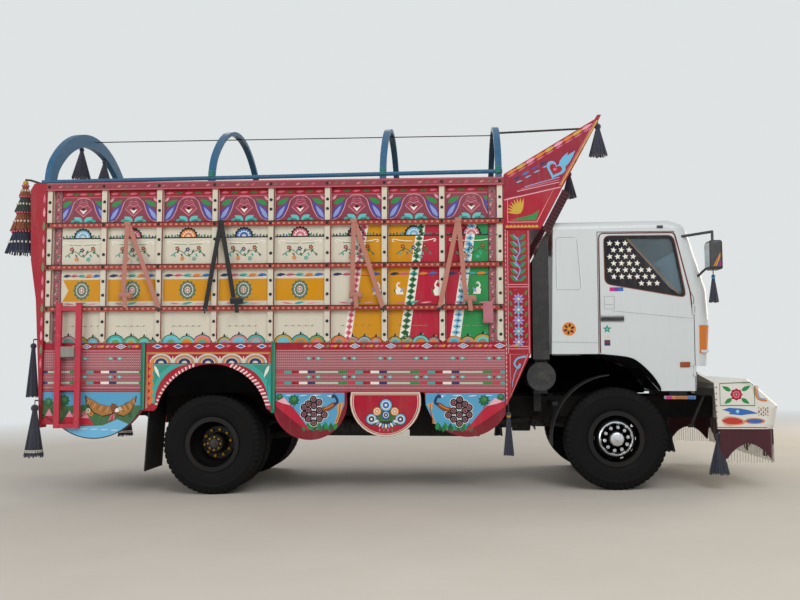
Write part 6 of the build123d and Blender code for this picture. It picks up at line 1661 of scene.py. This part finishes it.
def bumper_cloth():
    """Cloth hung round the bumper's lower edge in soft folds, with strands of beads below it."""
    right = smooth_line(CLOTH_PATH, 40)
    spaced = evenly(right + [(x, -y) for x, y in right[-2::-1]], CLOTH_STEP)
    rows = 14
    points = []
    chance = random.Random(3)
    sway = [chance.uniform(0.6, 1.2) for p in spaced]
    for i, p in enumerate(spaced):
        run = spaced[min(i + 1, len(spaced) - 1)] - spaced[max(i - 1, 0)]
        out = Vector((run.y, -run.x)).normalized()
        low = cloth_edge(p.x, p.y)
        for k in range(rows + 1):
            t = k / rows
            fold = 5.0 * t * sin(i * 0.55) * sway[i // 6] + 2.5 * t * sin(i * 1.3)
            points.append(place(p.x + out.x * fold, p.y + out.y * fold, CLOTH_TOP + (low - CLOTH_TOP) * t))
    made, area = cloth_piece("bumper_cloth", points, rows, "maroon_cloth", 0.002)
    beads = []
    for p in spaced[2:-2:2]:
        z = cloth_edge(p.x, p.y) - 4
        while z > BEADS_LOW:
            beads.append((place(p.x, p.y, z), heading(*UP), (0.005, 0.005, 0.009)))
            z -= BEAD_PITCH
    fringe = repeat("bead_fringe", beads, BEAD, "steel_bright", "chassis")
    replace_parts(made, "bumper_skirt")


# Cab
WINDOW = ((-96, 2691), (598, 2691), (712, 2068), (-90, 2212))


def rounded(outline, radius, steps=5):
    """An outline with its corners rounded off."""
    points = []
    count = len(outline)
    for i in range(count):
        before, corner, after = (Vector(outline[(i + k) % count]) for k in (-1, 0, 1))
        start = corner + (before - corner).normalized() * radius
        end = corner + (after - corner).normalized() * radius
        for k in range(steps + 1):
            t = k / steps
            points.append(tuple(start * (1 - t)**2 + corner * 2 * t * (1 - t) + end * t**2))
    return points


DOORS = ("door_right", "door_left")


def door_paintings():
    """Pinstripes, window rubber, stickers, a pressed line in painted shade and highlight, and the film with
    stars on the doors.
    """
    doors = Canvas.side("door_marks", CAB_Y, bodies=DOORS, slot="cab_white")
    doors.line(rounded(WINDOW, 62), 34, "black", 1, closed=True)
    doors.line(rounded([(-110, 2704), (608, 2704), (727, 2052), (-104, 2200)], 66), 6, "a5695a", 2,
               closed=True)
    doors.line([(-158, 1486), (-158, 2680), (-148, 2714), (-122, 2730), (592, 2730), (622, 2708), (764, 2116),
                (786, 1900)], 13, "5e1220", 3)
    for x, shade in ((-30, "c2187a"), (18, "6a3f9c"), (62, "blue")):
        doors.band(x - 24, x + 24, 2124, 2164, shade, 2)
    doors.line([(-110, 2072), (-110, 1940), (-8, 1940), (-8, 2072)], 5, "grey", 2, closed=True)
    doors.line([(-20, 1985), (-98, 1985)], 4, "grey", 2)
    # A pressed line drawn as a painted shadow (grey) over a painted highlight (white)
    doors.line([(-30, 1920), (796, 1836)], 6, "a9b0b4", 2)
    doors.line([(-30, 1912), (796, 1828)], 4, "f0f2f3", 2)
    doors.star(-86, 1732, 46, "2f8a62", 2)
    doors.star(-86, 1732, 20, "sky", 3, turn=270)
    doors.disc(-86, 1640, 26, "cream", 2)
    doors.band(-116, -56, 1560, 1618, "navy", 2)
    doors.band(-108, -64, 1590, 1600, "crimson", 3)
    doors.make()
    film = Canvas.side("window_film", 1184.0, bodies=DOORS, slot="cab_glass", base=0.3)
    film.fill([(-84, 2668), (128, 2668), (560, 2160), (656, 2092), (-72, 2220)], "0b0e1e", 0)
    film.line([(130, 2676), (655, 2090)], 12, "8a6a48", 1)
    chance = random.Random(4)
    for row in range(7):
        z = 2626 - row * 70
        for column in range(9):
            x = -44 + column * 80 + (row % 2) * 40
            if x < 84 + (2668 - z) * 0.917 and z > 2258 - (x + 72) * 0.176:
                film.star(x, z, 33, "white", 1, turn=90 + chance.uniform(-14, 14))
    film.make()


def cab_paintings():
    """Round sticker, pressed lines drawn as painted shade and highlight, foot strip on the cab's sides, and
    the marks of mirrors and lamps.
    """
    cab = Canvas.side("cab_marks", CAB_Y, bodies=("cab",), slot="cab_white")
    x, z = -476, 1734
    cab.disc(x, z, 70, "orange", 2, steps=20)
    cab.petals(x, z, 62, 6, "black", 3, 24, 20)
    cab.disc(x, z, 22, "crimson", 4)
    cab.star(x, z, 30, "gold", 5, 6)
    recess = rounded([(-600, 2140), (-600, 2690), (-385, 2690), (-345, 2140)], 40)
    # A pressed recess drawn as a painted shadow line with a painted highlight beside it, and a pressed line
    # below as painted shade
    cab.line(recess, 7, "a4abb0", 1, closed=True)
    cab.line([(x + 9, z - 7) for x, z in recess], 4, "f2f4f5", 1, closed=True)
    cab.line([(-650, 1600), (-180, 1590)], 6, "a4abb0", 1)
    for x0, x1, shade in ((492, 560, "c2187a"), (560, 590, "orange"), (590, 720, "b06a2c"),
                          (720, 796, "blue")):
        cab.band(x0, x1, 1015, 1041, shade, 2)
    cab.make()
    backs = Canvas.side("mirror_stripes", 1445.0, bodies=("cab",), slot="mirror_shell")
    for i, shade in enumerate(("orange", "gold", "purple", "c2187a")):
        x, drop = 936 + i * 20, i * 22
        backs.fill([(x, 2352), (x + 14, 2352), (1008, 2470 - drop), (1008, 2492 - drop)], shade, 2)
    backs.make()
    lamps = Canvas.side("corner_lamp_foot", 1205.0, bodies=("cab",), slot="lamp_clear")
    lamps.band(862, 940, 1488, 1516, "c9ced2", 1)
    lamps.make()


def cab_fittings():
    """Door handles, side markers, black arch flares that also stand for the arch's shade, boards of painted
    shade in the wheel houses, wipers, mirror glass and the roof vent.
    """
    arch = [(-168, 1476), (20, 1458), (160, 1432), (265, 1363), (370, 1254), (441, 1145), (452, 1100)]
    for side, hand in HANDS:
        door = f"door_{hand}"
        handle = (-146, 86, -1218, -1200.5, 1818, 1856)
        marker = (646, 748, -1214, -1200.5, 1338, 1392)
        boxes(f"door_handle_{hand}", "grille", door, "black_rubber", 0.006, [handle], (side,))
        boxes(f"side_marker_{hand}", "amber_dark", door, "lamp_amber", 0.006, [marker], (side,))
        # Black arch flare in the near-black shadow finish: part real black fender, part painted shade of the
        # arch
        flare = Solids((side,))
        flare.prism(smooth_line(arch, 4) + [(446, 1090), (240, 1325), (-170, 1467)], -1210, -1162)
        flare.make(f"arch_flare_{hand}", "shade", door, "black_rubber", 0.002)
    # Painted shade: near-black boards on the inner sides of the cab's wheel houses
    inner = Solids()
    inner.prism([(-645, 1468), (-180, 1468), (233, 1322), (430, 1090), (430, 1050), (-645, 1050)], -452, -447)
    inner.make("wheel_house_sides", "shade", "cab", "black_rubber")
    trim = Solids()
    trim.tube([(960, -330, 2195), (925, -560, 2330), (880, -900, 2440)], 8)
    trim.tube([(900, -640, 2372), (846, -1000, 2520)], 6)
    trim.tube([(966, -330, 2195), (950, -330, 2150)], 14)
    trim.box(440, 502, -1207, -1186, 2776, 2806)
    trim.make("wipers_and_vent", "grille", "cab", "black_rubber", 0.003)
    boxes("mirror_glass", "mirror_glass", "cab", "mirror_shell", 0.001,
          [(901, 904.5, -1432, -1268, 2350, 2592)])


# Seats
# How far a pad's edges pull in between its corners, and how many frames its cover swells for
PULLED_IN = 0.06
SWELL_FRAMES = 20


def cushion_form(low, high):
    """A closed pad whose sides pull in a little between its corners and whose faces are crowned."""
    shell = bmesh.new()
    bmesh.ops.create_cube(shell, size=2.0)
    bmesh.ops.subdivide_edges(shell, edges=shell.edges, cuts=9, use_grid_fill=True)
    middle = (Vector(low) + Vector(high)) / 2
    half = (Vector(high) - Vector(low)) / 2
    for corner in shell.verts:
        p = corner.co.copy()
        squares = (p.x**2, p.y**2, p.z**2)
        pull = 1 - PULLED_IN * (squares[0] * squares[1] + squares[1] * squares[2] + squares[0] * squares[2])
        corner.co = place(*(middle + Vector((p.x * half.x, p.y * half.y, p.z * half.z)) * pull))
    bmesh.ops.recalc_face_normals(shell, faces=shell.faces)
    mesh = bpy.data.meshes.new("cushion")
    shell.to_mesh(mesh)
    shell.free()
    return mesh


def swell(made, voxel, cap):
    """Blows a pad up by a short cloth simulation, each point held within the cap, and keeps the result."""
    remesh = made.modifiers.new("Even mesh", "REMESH")
    remesh.mode, remesh.voxel_size = "VOXEL", voxel
    made.data = evaluated_mesh(made)
    made.modifiers.clear()
    rest = [corner.co.copy() for corner in made.data.vertices]
    cover = made.modifiers.new("Cover", "CLOTH")
    cover.settings.use_pressure = True
    cover.settings.uniform_pressure_force = 4.0
    cover.settings.effector_weights.gravity = 0.0
    for frame_number in range(1, SWELL_FRAMES + 1):
        bpy.context.scene.frame_set(frame_number)
    puffed = evaluated_mesh(made)
    made.modifiers.clear()
    bpy.context.scene.frame_set(1)
    for corner, start, moved in zip(made.data.vertices, rest, puffed.vertices):
        step = moved.co - start
        corner.co = start + step * min(1.0, cap / max(step.length, 1e-9))
    bpy.data.meshes.remove(puffed)


def sew_channels(made, lines, axis):
    """Presses sewn lines into a pad across one axis, at places given in metres of the row frame."""
    mesh = made.data
    deep, half_width = 0.007, 0.009
    normals = [corner.normal.copy() for corner in mesh.vertices]
    for corner, normal in zip(mesh.vertices, normals):
        depth = sum(deep * 2.718 ** (-((corner.co[axis] - line) / half_width)**2) for line in lines)
        corner.co -= normal * depth


# How far from the truck's middle the two lines sewn down each seat are, and the mesh size of its pads
SEWN_YS = (490, 630)
SEAT_VOXEL = 0.009


def padded_pair(name, low, high):
    """A pad of the right seat and its twin of the left seat."""
    made = stand(f"{name}_right", cushion_form(low, high))
    swell(made, SEAT_VOXEL, 0.011)
    sew_channels(made, [-y / 1000 for y in SEWN_YS], 1)
    twin_mesh = made.data.copy()
    for corner in twin_mesh.vertices:
        corner.co.y = -corner.co.y
    twin_mesh.flip_normals()
    for pad in (made, stand(f"{name}_left", twin_mesh)):
        finish_pad(pad)
    return made


def finish_pad(pad):
    pad.data.materials.clear()
    pad.data.materials.append(FINISHES["seat"])
    pad.data.shade_smooth()
    fine = pad.modifiers.new("Smooth cover", "SUBSURF")
    fine.levels = fine.render_levels = 1
    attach(pad, "cab")


def seats():
    """Two seats with cushions and backs, their pedestals, and the bunk behind them."""
    cushion = padded_pair("seat_cushion", (-100, -800, 1600), (390, -320, 1700))
    padded_pair("seat_back", (-160, -790, 1712), (-60, -330, 2410))
    bunk = stand("bunk_mattress", cushion_form((-584, -1070, 1622), (-272, 1070, 1692)))
    swell(bunk, 0.012, 0.008)
    finish_pad(bunk)
    bases = Solids()
    bases.prism([(-60, 1488), (-60, 1594), (330, 1594), (330, 1290), (241, 1382)], -730, -390)
    bases.box(-588, -266, -1074, 0, 1525, 1616)
    for y in (-760, -360):
        bases.tube([(-112, y, 1650), (-112, y, 1730)], 14)
    bases.make("seat_bases", "dash", "cab", "dash_black", 0.004)
    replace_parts(cushion, "seats")


# Straps: where each hangs from the top rail, where one leg is hooked and the other wound, and its webbing
STRAPS = (
    (-5156, -4800, 1960, -5190, 2120, "strap_pink"),
    (-4138, -4301, 1945, -3990, 2060, "strap_black"),
    (-2716, -2403, 1950, -2730, 2110, "strap_pink"),
    (-1617, -1815, 1950, -1543, 2070, "strap_pink"),
)
STRAP_TOP_Z = 2898


def straps():
    """Tie-down straps: two legs of webbing over the top rail, an iron hook and a wound bundle."""
    bundle = [(14, 0), (30, 2), (36, 10)]
    bundle += [(38 - 5 * (i % 2), 16 + 9 * i) for i in range(12)]
    bundle += [(34, 128), (26, 137), (12, 140)]
    for finish in ("strap_pink", "strap_black"):
        web, hooks = Solids(), Solids()
        for top_x, foot_x, foot_z, wound_x, wound_z, colour in STRAPS:
            if colour != finish:
                continue
            for leg, (x, z) in enumerate(((foot_x, foot_z), (wound_x, wound_z))):
                run = Vector((x - top_x, z - STRAP_TOP_Z))
                out = Vector((-run.y, run.x)).normalized() * 24
                path = [Vector((top_x, STRAP_TOP_Z)) + run * t for t in (0.0, 0.3, 0.7, 1.0)]
                for a, b, bulge in zip(path, path[1:], (0, 1, 0)):
                    y = -1263 - bulge - 5.5 * leg
                    web.prism([tuple(a + out), tuple(a - out), tuple(b - out), tuple(b + out)], y - 4, y)
            web.box(top_x - 34, top_x + 34, -1277, -1274, 2862, 2902)
            web.box(top_x - 26, top_x + 26, -1276, -1208, 2896.5, 2901)
            web.turned((wound_x - 30, -1300, wound_z - 20), (1, 0, 0), bundle, 18)
            web.prism([(wound_x + 18, wound_z - 30), (wound_x + 62, wound_z - 34),
                       (wound_x + 74, wound_z - 150), (wound_x + 30, wound_z - 146)], -1337, -1333)
            hooks.tube([(foot_x, -1270, foot_z + 4), (foot_x, -1276, foot_z - 14),
                        (foot_x, -1270, foot_z - 34)], 7)
            hooks.box(foot_x - 28, foot_x + 28, -1274, -1263, foot_z - 8, foot_z + 12)
        made = web.make(f"{finish}_webbing", finish, "chassis", "strap_pink")
        if finish == "strap_pink":
            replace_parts(made, "straps")
        hooks.make(f"{finish}_hooks", "steel", "chassis", "strap_pink", 0.001)


# Small things
def draped_rag(name, x0, x1, rail_z, rail_y, radius, drop, finish):
    """A small cloth laid over a round or flat bar and hanging down on both sides in folds."""
    chance = random.Random(len(name))
    across, around = 22, 26
    # The share of the cloth's way round that hangs free at each end
    free = 0.3
    points, folds = [], (chance.uniform(0, 6.28), chance.uniform(0, 6.28))
    for i in range(across + 1):
        x = x0 + (x1 - x0) * i / across
        wave = sin(i * 0.9 + folds[0]) + 0.5 * sin(i * 1.9 + folds[1])
        for k in range(around + 1):
            t = k / around
            turn = pi * min(max((t - free) / (1 - 2 * free), 0.0), 1.0)
            hang = drop * (max(free - t, 0.0) + max(t - 1 + free, 0.0)) / free
            reach = radius + 2 + (2.5 * wave * hang / drop if hang else 0)
            y = rail_y + reach * cos(turn) + (1 if t < free else -1 if t > 1 - free else 0) * 0.05 * hang
            points.append(place(x + 6 * sin(t * 9 + i * 0.3) * hang / drop, y,
                                rail_z + radius * sin(turn) - hang))
    made, area = cloth_piece(name, points, around, finish, 0.0015)


def prow_ruffles():
    """A gathered dark strip along each side edge of the prow's lower front."""
    wide = 92
    for side, hand in HANDS:
        start, end = Vector((-528, -1228 * side, 3196)), Vector((-750, -1228 * side, 2772))
        out = Vector((766, 0, -415)).normalized()
        points, count, rows = [], 96, 5
        for i in range(count + 1):
            p = start.lerp(end, i / count)
            for k in range(rows + 1):
                t = k / rows
                wave = (1.5 + 9 * t) * sin(i * 0.8) * side
                reach = 3 + wide * t
                points.append(place(p.x + out.x * reach, p.y + wave, p.z + out.z * reach))
        made, area = cloth_piece(f"prow_ruffle_{hand}", points, rows, "maroon_cloth", 0.0015)


def small_things():
    """Strut beside the step, air hose bellows, black boards of painted shade behind the rear arch and between
    the cab and the body, hoop wraps, and two rags.
    """
    strut = Solids()
    strut.tube([(915, -1150, 1104), (756, -1150, 736)], 15)
    strut.box(726, 786, -1166, -1134, 722, 752)
    strut.box(800, 982, -1178, -1160, 1052, 1128)
    strut.make("step_strut", "black", "chassis", "chassis_black", 0.004)
    # Painted shade: near-black boards behind the rear wheel arch and behind the body's front, where there is
    # only shadow
    shadow_boards = [(-4948, -3592, -1208, -1205.5, 1072, 1470), (-1128, -662, -460, -454, 1040, 1440)]
    boxes("arch_lining", "shade", "chassis", "black_rubber", 0.0, shadow_boards)
    bellows = Solids((1,))
    bellows.turned((-757, -985, 1262), UP, [(92 + 12 * (i % 2), 16 * i) for i in range(10)], 28)
    bellows.make("intake_bellows", "flap", "chassis", "duct_black")
    wraps = Solids()
    for x in (-4270, -2415, -1190):
        for step in range(4):
            wraps.turned((x, -1189, 3392 + 18 * step), UP, [(30, -9), (36, -4), (36, 4), (30, 9)], 16)
    wraps.make("hoop_wraps", "teal_cloth", "chassis", "hoop_blue")
    draped_rag("ladder_rag", -5846, -5696, 1540, -1281, 23, 92, "grey_cloth")
    draped_rag("pink_rag", -1366, -1262, 2000, -1245, 22, 205, "pink_cloth")


def batten_shade_and_highlight():
    """Painted shade along one edge of each batten and a painted highlight along the other."""
    art = Canvas.side("batten_marks", 1245.0, slot="batten_green")
    for x in (-4970, -3570):
        # Painted shade along the rear edge, painted highlight along the front edge
        art.band(x - 15, x - 11, 900, 1590, "0b5a3d", 1)
        art.band(x + 11, x + 15, 900, 1590, "5fb793", 1)
    art.make()


# Stage
def camera_at_photo():
    """The camera of the photograph: where it stood and how it was turned."""
    yaw, pitch, roll = 0.0641, 0.068, -0.0186
    ahead = Vector((-sin(yaw) * cos(pitch), cos(yaw) * cos(pitch), sin(pitch)))
    right = Vector((cos(yaw), sin(yaw), 0))
    up = right.cross(ahead)
    turned_right = right * cos(roll) + up * sin(roll)
    turned_up = up * cos(roll) - right * sin(roll)
    camera = stand("photo_camera", bpy.data.cameras.new("photo_camera"))
    camera.data.sensor_width = 36.0
    camera.data.lens = 39.94
    camera.data.clip_end = 200.0
    turn = Matrix((turned_right, turned_up, -ahead)).transposed()
    eye = (0.8616, -10.5021, 1.3749)
    camera.matrix_world = Matrix.Translation(eye) @ turn.to_4x4()
    bpy.context.scene.camera = camera


def soft_light(name, where, aim, size, power, colour=(1.0, 1.0, 1.0)):
    lamp = stand(name, bpy.data.lights.new(name, "AREA"))
    lamp.data.size, lamp.data.energy, lamp.data.color = size, power, colour
    lamp.location = where
    lamp.rotation_euler = (Vector(aim) - Vector(where)).to_track_quat("-Z", "Y").to_euler()


def seen_directly(tree):
    """One for the camera, for reflections and through glass, nought for light that falls on the truck."""
    rays = add(tree, "ShaderNodeLightPath").outputs
    mirrored = reckon(tree, "MAXIMUM", rays["Is Camera Ray"], rays["Is Glossy Ray"])
    return reckon(tree, "MAXIMUM", mirrored, rays["Is Transmission Ray"])


def studio():
    """Pale floor that fades into a pale backdrop, and soft lights."""
    half = 60.0
    backdrop = tint("dfe3e4")
    mesh = bpy.data.meshes.new("floor")
    mesh.from_pydata([(-half, -half, 0), (half, -half, 0), (half, half, 0), (-half, half, 0)], [],
                     [(0, 1, 2, 3)])
    made, tree, shader, where = material("Pale floor")
    shade = blend_colours(tree, noise(tree, where, 0.8), tint("c4bcb0"), tint("d2cbc0"))
    feed(tree, shader, {"Base Color": shade, "Roughness": 0.9})
    reach = add(tree, "ShaderNodeVectorMath", {0: where}, operation="LENGTH").outputs["Value"]
    far = reckon(tree, "MULTIPLY", spread(tree, reach, 7.5, 15.0, 0.0, 1.0), seen_directly(tree))
    glow = add(tree, "ShaderNodeEmission", {"Color": backdrop})
    faded = add(tree, "ShaderNodeMixShader", {0: far, 1: shader.outputs[0], 2: glow.outputs[0]})
    feed(tree, tree.nodes["Material Output"], {0: faded.outputs[0]})
    mesh.materials.append(made)
    stand("floor", mesh)
    world = bpy.data.worlds.new("Studio")
    world.use_nodes = True
    tree = world.node_tree
    tree.nodes.clear()
    seen = add(tree, "ShaderNodeBackground", {"Color": backdrop, "Strength": 1.0})
    lit = add(tree, "ShaderNodeBackground", {"Color": (0.93, 0.97, 1.0, 1.0), "Strength": 0.48})
    mixed = add(tree, "ShaderNodeMixShader", {0: seen_directly(tree), 1: lit.outputs[0], 2: seen.outputs[0]})
    add(tree, "ShaderNodeOutputWorld", {0: mixed.outputs[0]})
    bpy.context.scene.world = world
    soft_light("key", (4.0, -11.0, 8.0), (0, 0, 1.6), 7.0, 650.0)
    soft_light("fill", (-8.0, -9.0, 4.0), (0, 0, 1.6), 7.0, 320.0)
    soft_light("warm", (11.0, 5.0, 4.0), (2.5, 0, 1.4), 4.0, 360.0, (1.0, 0.86, 0.68))
    soft_light("back", (-4.0, 11.0, 8.0), (0, 0, 1.6), 7.0, 360.0)
    bpy.context.scene.view_settings.view_transform = "Standard"


def finish_nodes():
    """Gives every CAD node its finish."""
    for finish, nodes in NODE_FINISHES.items():
        for node in nodes.split():
            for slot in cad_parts[node].material_slots:
                slot.material = FINISHES[finish]


# Steps of the add-on
class TRUCK_OT_stage(bpy.types.Operator):
    """Builds the floor, the lights, the backdrop and the camera."""
    bl_idname = "truck.stage"
    bl_label = "Studio and camera"

    def execute(self, context):
        camera_at_photo()
        studio()
        return {"FINISHED"}


class TRUCK_OT_finishes(bpy.types.Operator):
    """Builds every finish and gives each CAD node its own."""
    bl_idname = "truck.finishes"
    bl_label = "Finishes"

    def execute(self, context):
        make_finishes(context.scene.truck)
        finish_nodes()
        return {"FINISHED"}


class TRUCK_OT_walls(bpy.types.Operator):
    """Paints the four rows of panels on both walls."""
    bl_idname = "truck.walls"
    bl_label = "Wall paintings"

    def execute(self, context):
        wall_paintings()
        return {"FINISHED"}


class TRUCK_OT_skirts(bpy.types.Operator):
    """Paints the side skirts."""
    bl_idname = "truck.skirts"
    bl_label = "Skirt paintings"

    def execute(self, context):
        skirt_paintings()
        return {"FINISHED"}


class TRUCK_OT_hardware(bpy.types.Operator):
    """Adds the body's bolts, the paint of its posts and rails, and the painted shade and highlight of the
    battens.
    """
    bl_idname = "truck.hardware"
    bl_label = "Bolts and rail dashes"

    def execute(self, context):
        body_hardware(context.scene.truck)
        batten_shade_and_highlight()
        return {"FINISHED"}


class TRUCK_OT_prow(bpy.types.Operator):
    """Paints the columns and every face of the prow."""
    bl_idname = "truck.prow"
    bl_label = "Column and prow paintings"

    def execute(self, context):
        column_paintings()
        prow_side_paintings()
        prow_front_paintings()
        return {"FINISHED"}


class TRUCK_OT_rear(bpy.types.Operator):
    """Paints the rear end."""
    bl_idname = "truck.rear"
    bl_label = "Rear paintings"

    def execute(self, context):
        rear_paintings()
        return {"FINISHED"}


class TRUCK_OT_wheels(bpy.types.Operator):
    """Builds the treads, trims and nuts of every wheel."""
    bl_idname = "truck.wheels"
    bl_label = "Wheels"

    def execute(self, context):
        wheels(context.scene.truck)
        return {"FINISHED"}


class TRUCK_OT_tassels(bpy.types.Operator):
    """Builds every tassel from its core and strands."""
    bl_idname = "truck.tassels"
    bl_label = "Tassels"

    def execute(self, context):
        yarn_tassels(context.scene.truck)
        return {"FINISHED"}


class TRUCK_OT_ornaments(bpy.types.Operator):
    """Builds both hanging ornaments."""
    bl_idname = "truck.ornaments"
    bl_label = "Rear ornaments"

    def execute(self, context):
        rear_ornaments()
        return {"FINISHED"}


class TRUCK_OT_bumper(bpy.types.Operator):
    """Paints the bumper and hangs its cloth."""
    bl_idname = "truck.bumper"
    bl_label = "Bumper"

    def execute(self, context):
        bumper_dress()
        bumper_cloth()
        return {"FINISHED"}


class TRUCK_OT_cab(bpy.types.Operator):
    """Dresses the cab and its doors."""
    bl_idname = "truck.cab"
    bl_label = "Cab details"

    def execute(self, context):
        door_paintings()
        cab_paintings()
        cab_fittings()
        return {"FINISHED"}


class TRUCK_OT_seats(bpy.types.Operator):
    """Pads the seats and the bunk."""
    bl_idname = "truck.seats"
    bl_label = "Seats and bunk"

    def execute(self, context):
        seats()
        return {"FINISHED"}


class TRUCK_OT_straps(bpy.types.Operator):
    """Builds the straps."""
    bl_idname = "truck.straps"
    bl_label = "Tie-down straps"

    def execute(self, context):
        straps()
        return {"FINISHED"}


class TRUCK_OT_small(bpy.types.Operator):
    """Adds the small things."""
    bl_idname = "truck.small"
    bl_label = "Small things"

    def execute(self, context):
        small_things()
        prow_ruffles()
        return {"FINISHED"}


STEPS = (
    TRUCK_OT_stage, TRUCK_OT_finishes, TRUCK_OT_walls, TRUCK_OT_skirts, TRUCK_OT_hardware, TRUCK_OT_prow,
    TRUCK_OT_rear, TRUCK_OT_wheels, TRUCK_OT_tassels, TRUCK_OT_ornaments, TRUCK_OT_bumper, TRUCK_OT_cab,
    TRUCK_OT_seats, TRUCK_OT_straps, TRUCK_OT_small,
)


class TRUCK_PT_panel(bpy.types.Panel):
    bl_idname = "TRUCK_PT_panel"
    bl_label = "Decorated truck"
    bl_space_type = "VIEW_3D"
    bl_region_type = "UI"
    bl_category = "Truck"

    def draw(self, context):
        for name in TruckSettings.__annotations__:
            self.layout.prop(context.scene.truck, name)
        for step in STEPS:
            self.layout.operator(step.bl_idname)


def register():
    for kind in (TruckSettings, *STEPS, TRUCK_PT_panel):
        bpy.utils.register_class(kind)
    bpy.types.Scene.truck = bpy.props.PointerProperty(type=TruckSettings)


def unregister():
    del bpy.types.Scene.truck
    for kind in reversed((TruckSettings, *STEPS, TRUCK_PT_panel)):
        bpy.utils.unregister_class(kind)


def main():
    register()
    for step in STEPS:
        area, name = step.bl_idname.split(".")
        getattr(getattr(bpy.ops, area), name)()


if __name__ == "__main__":
    main()
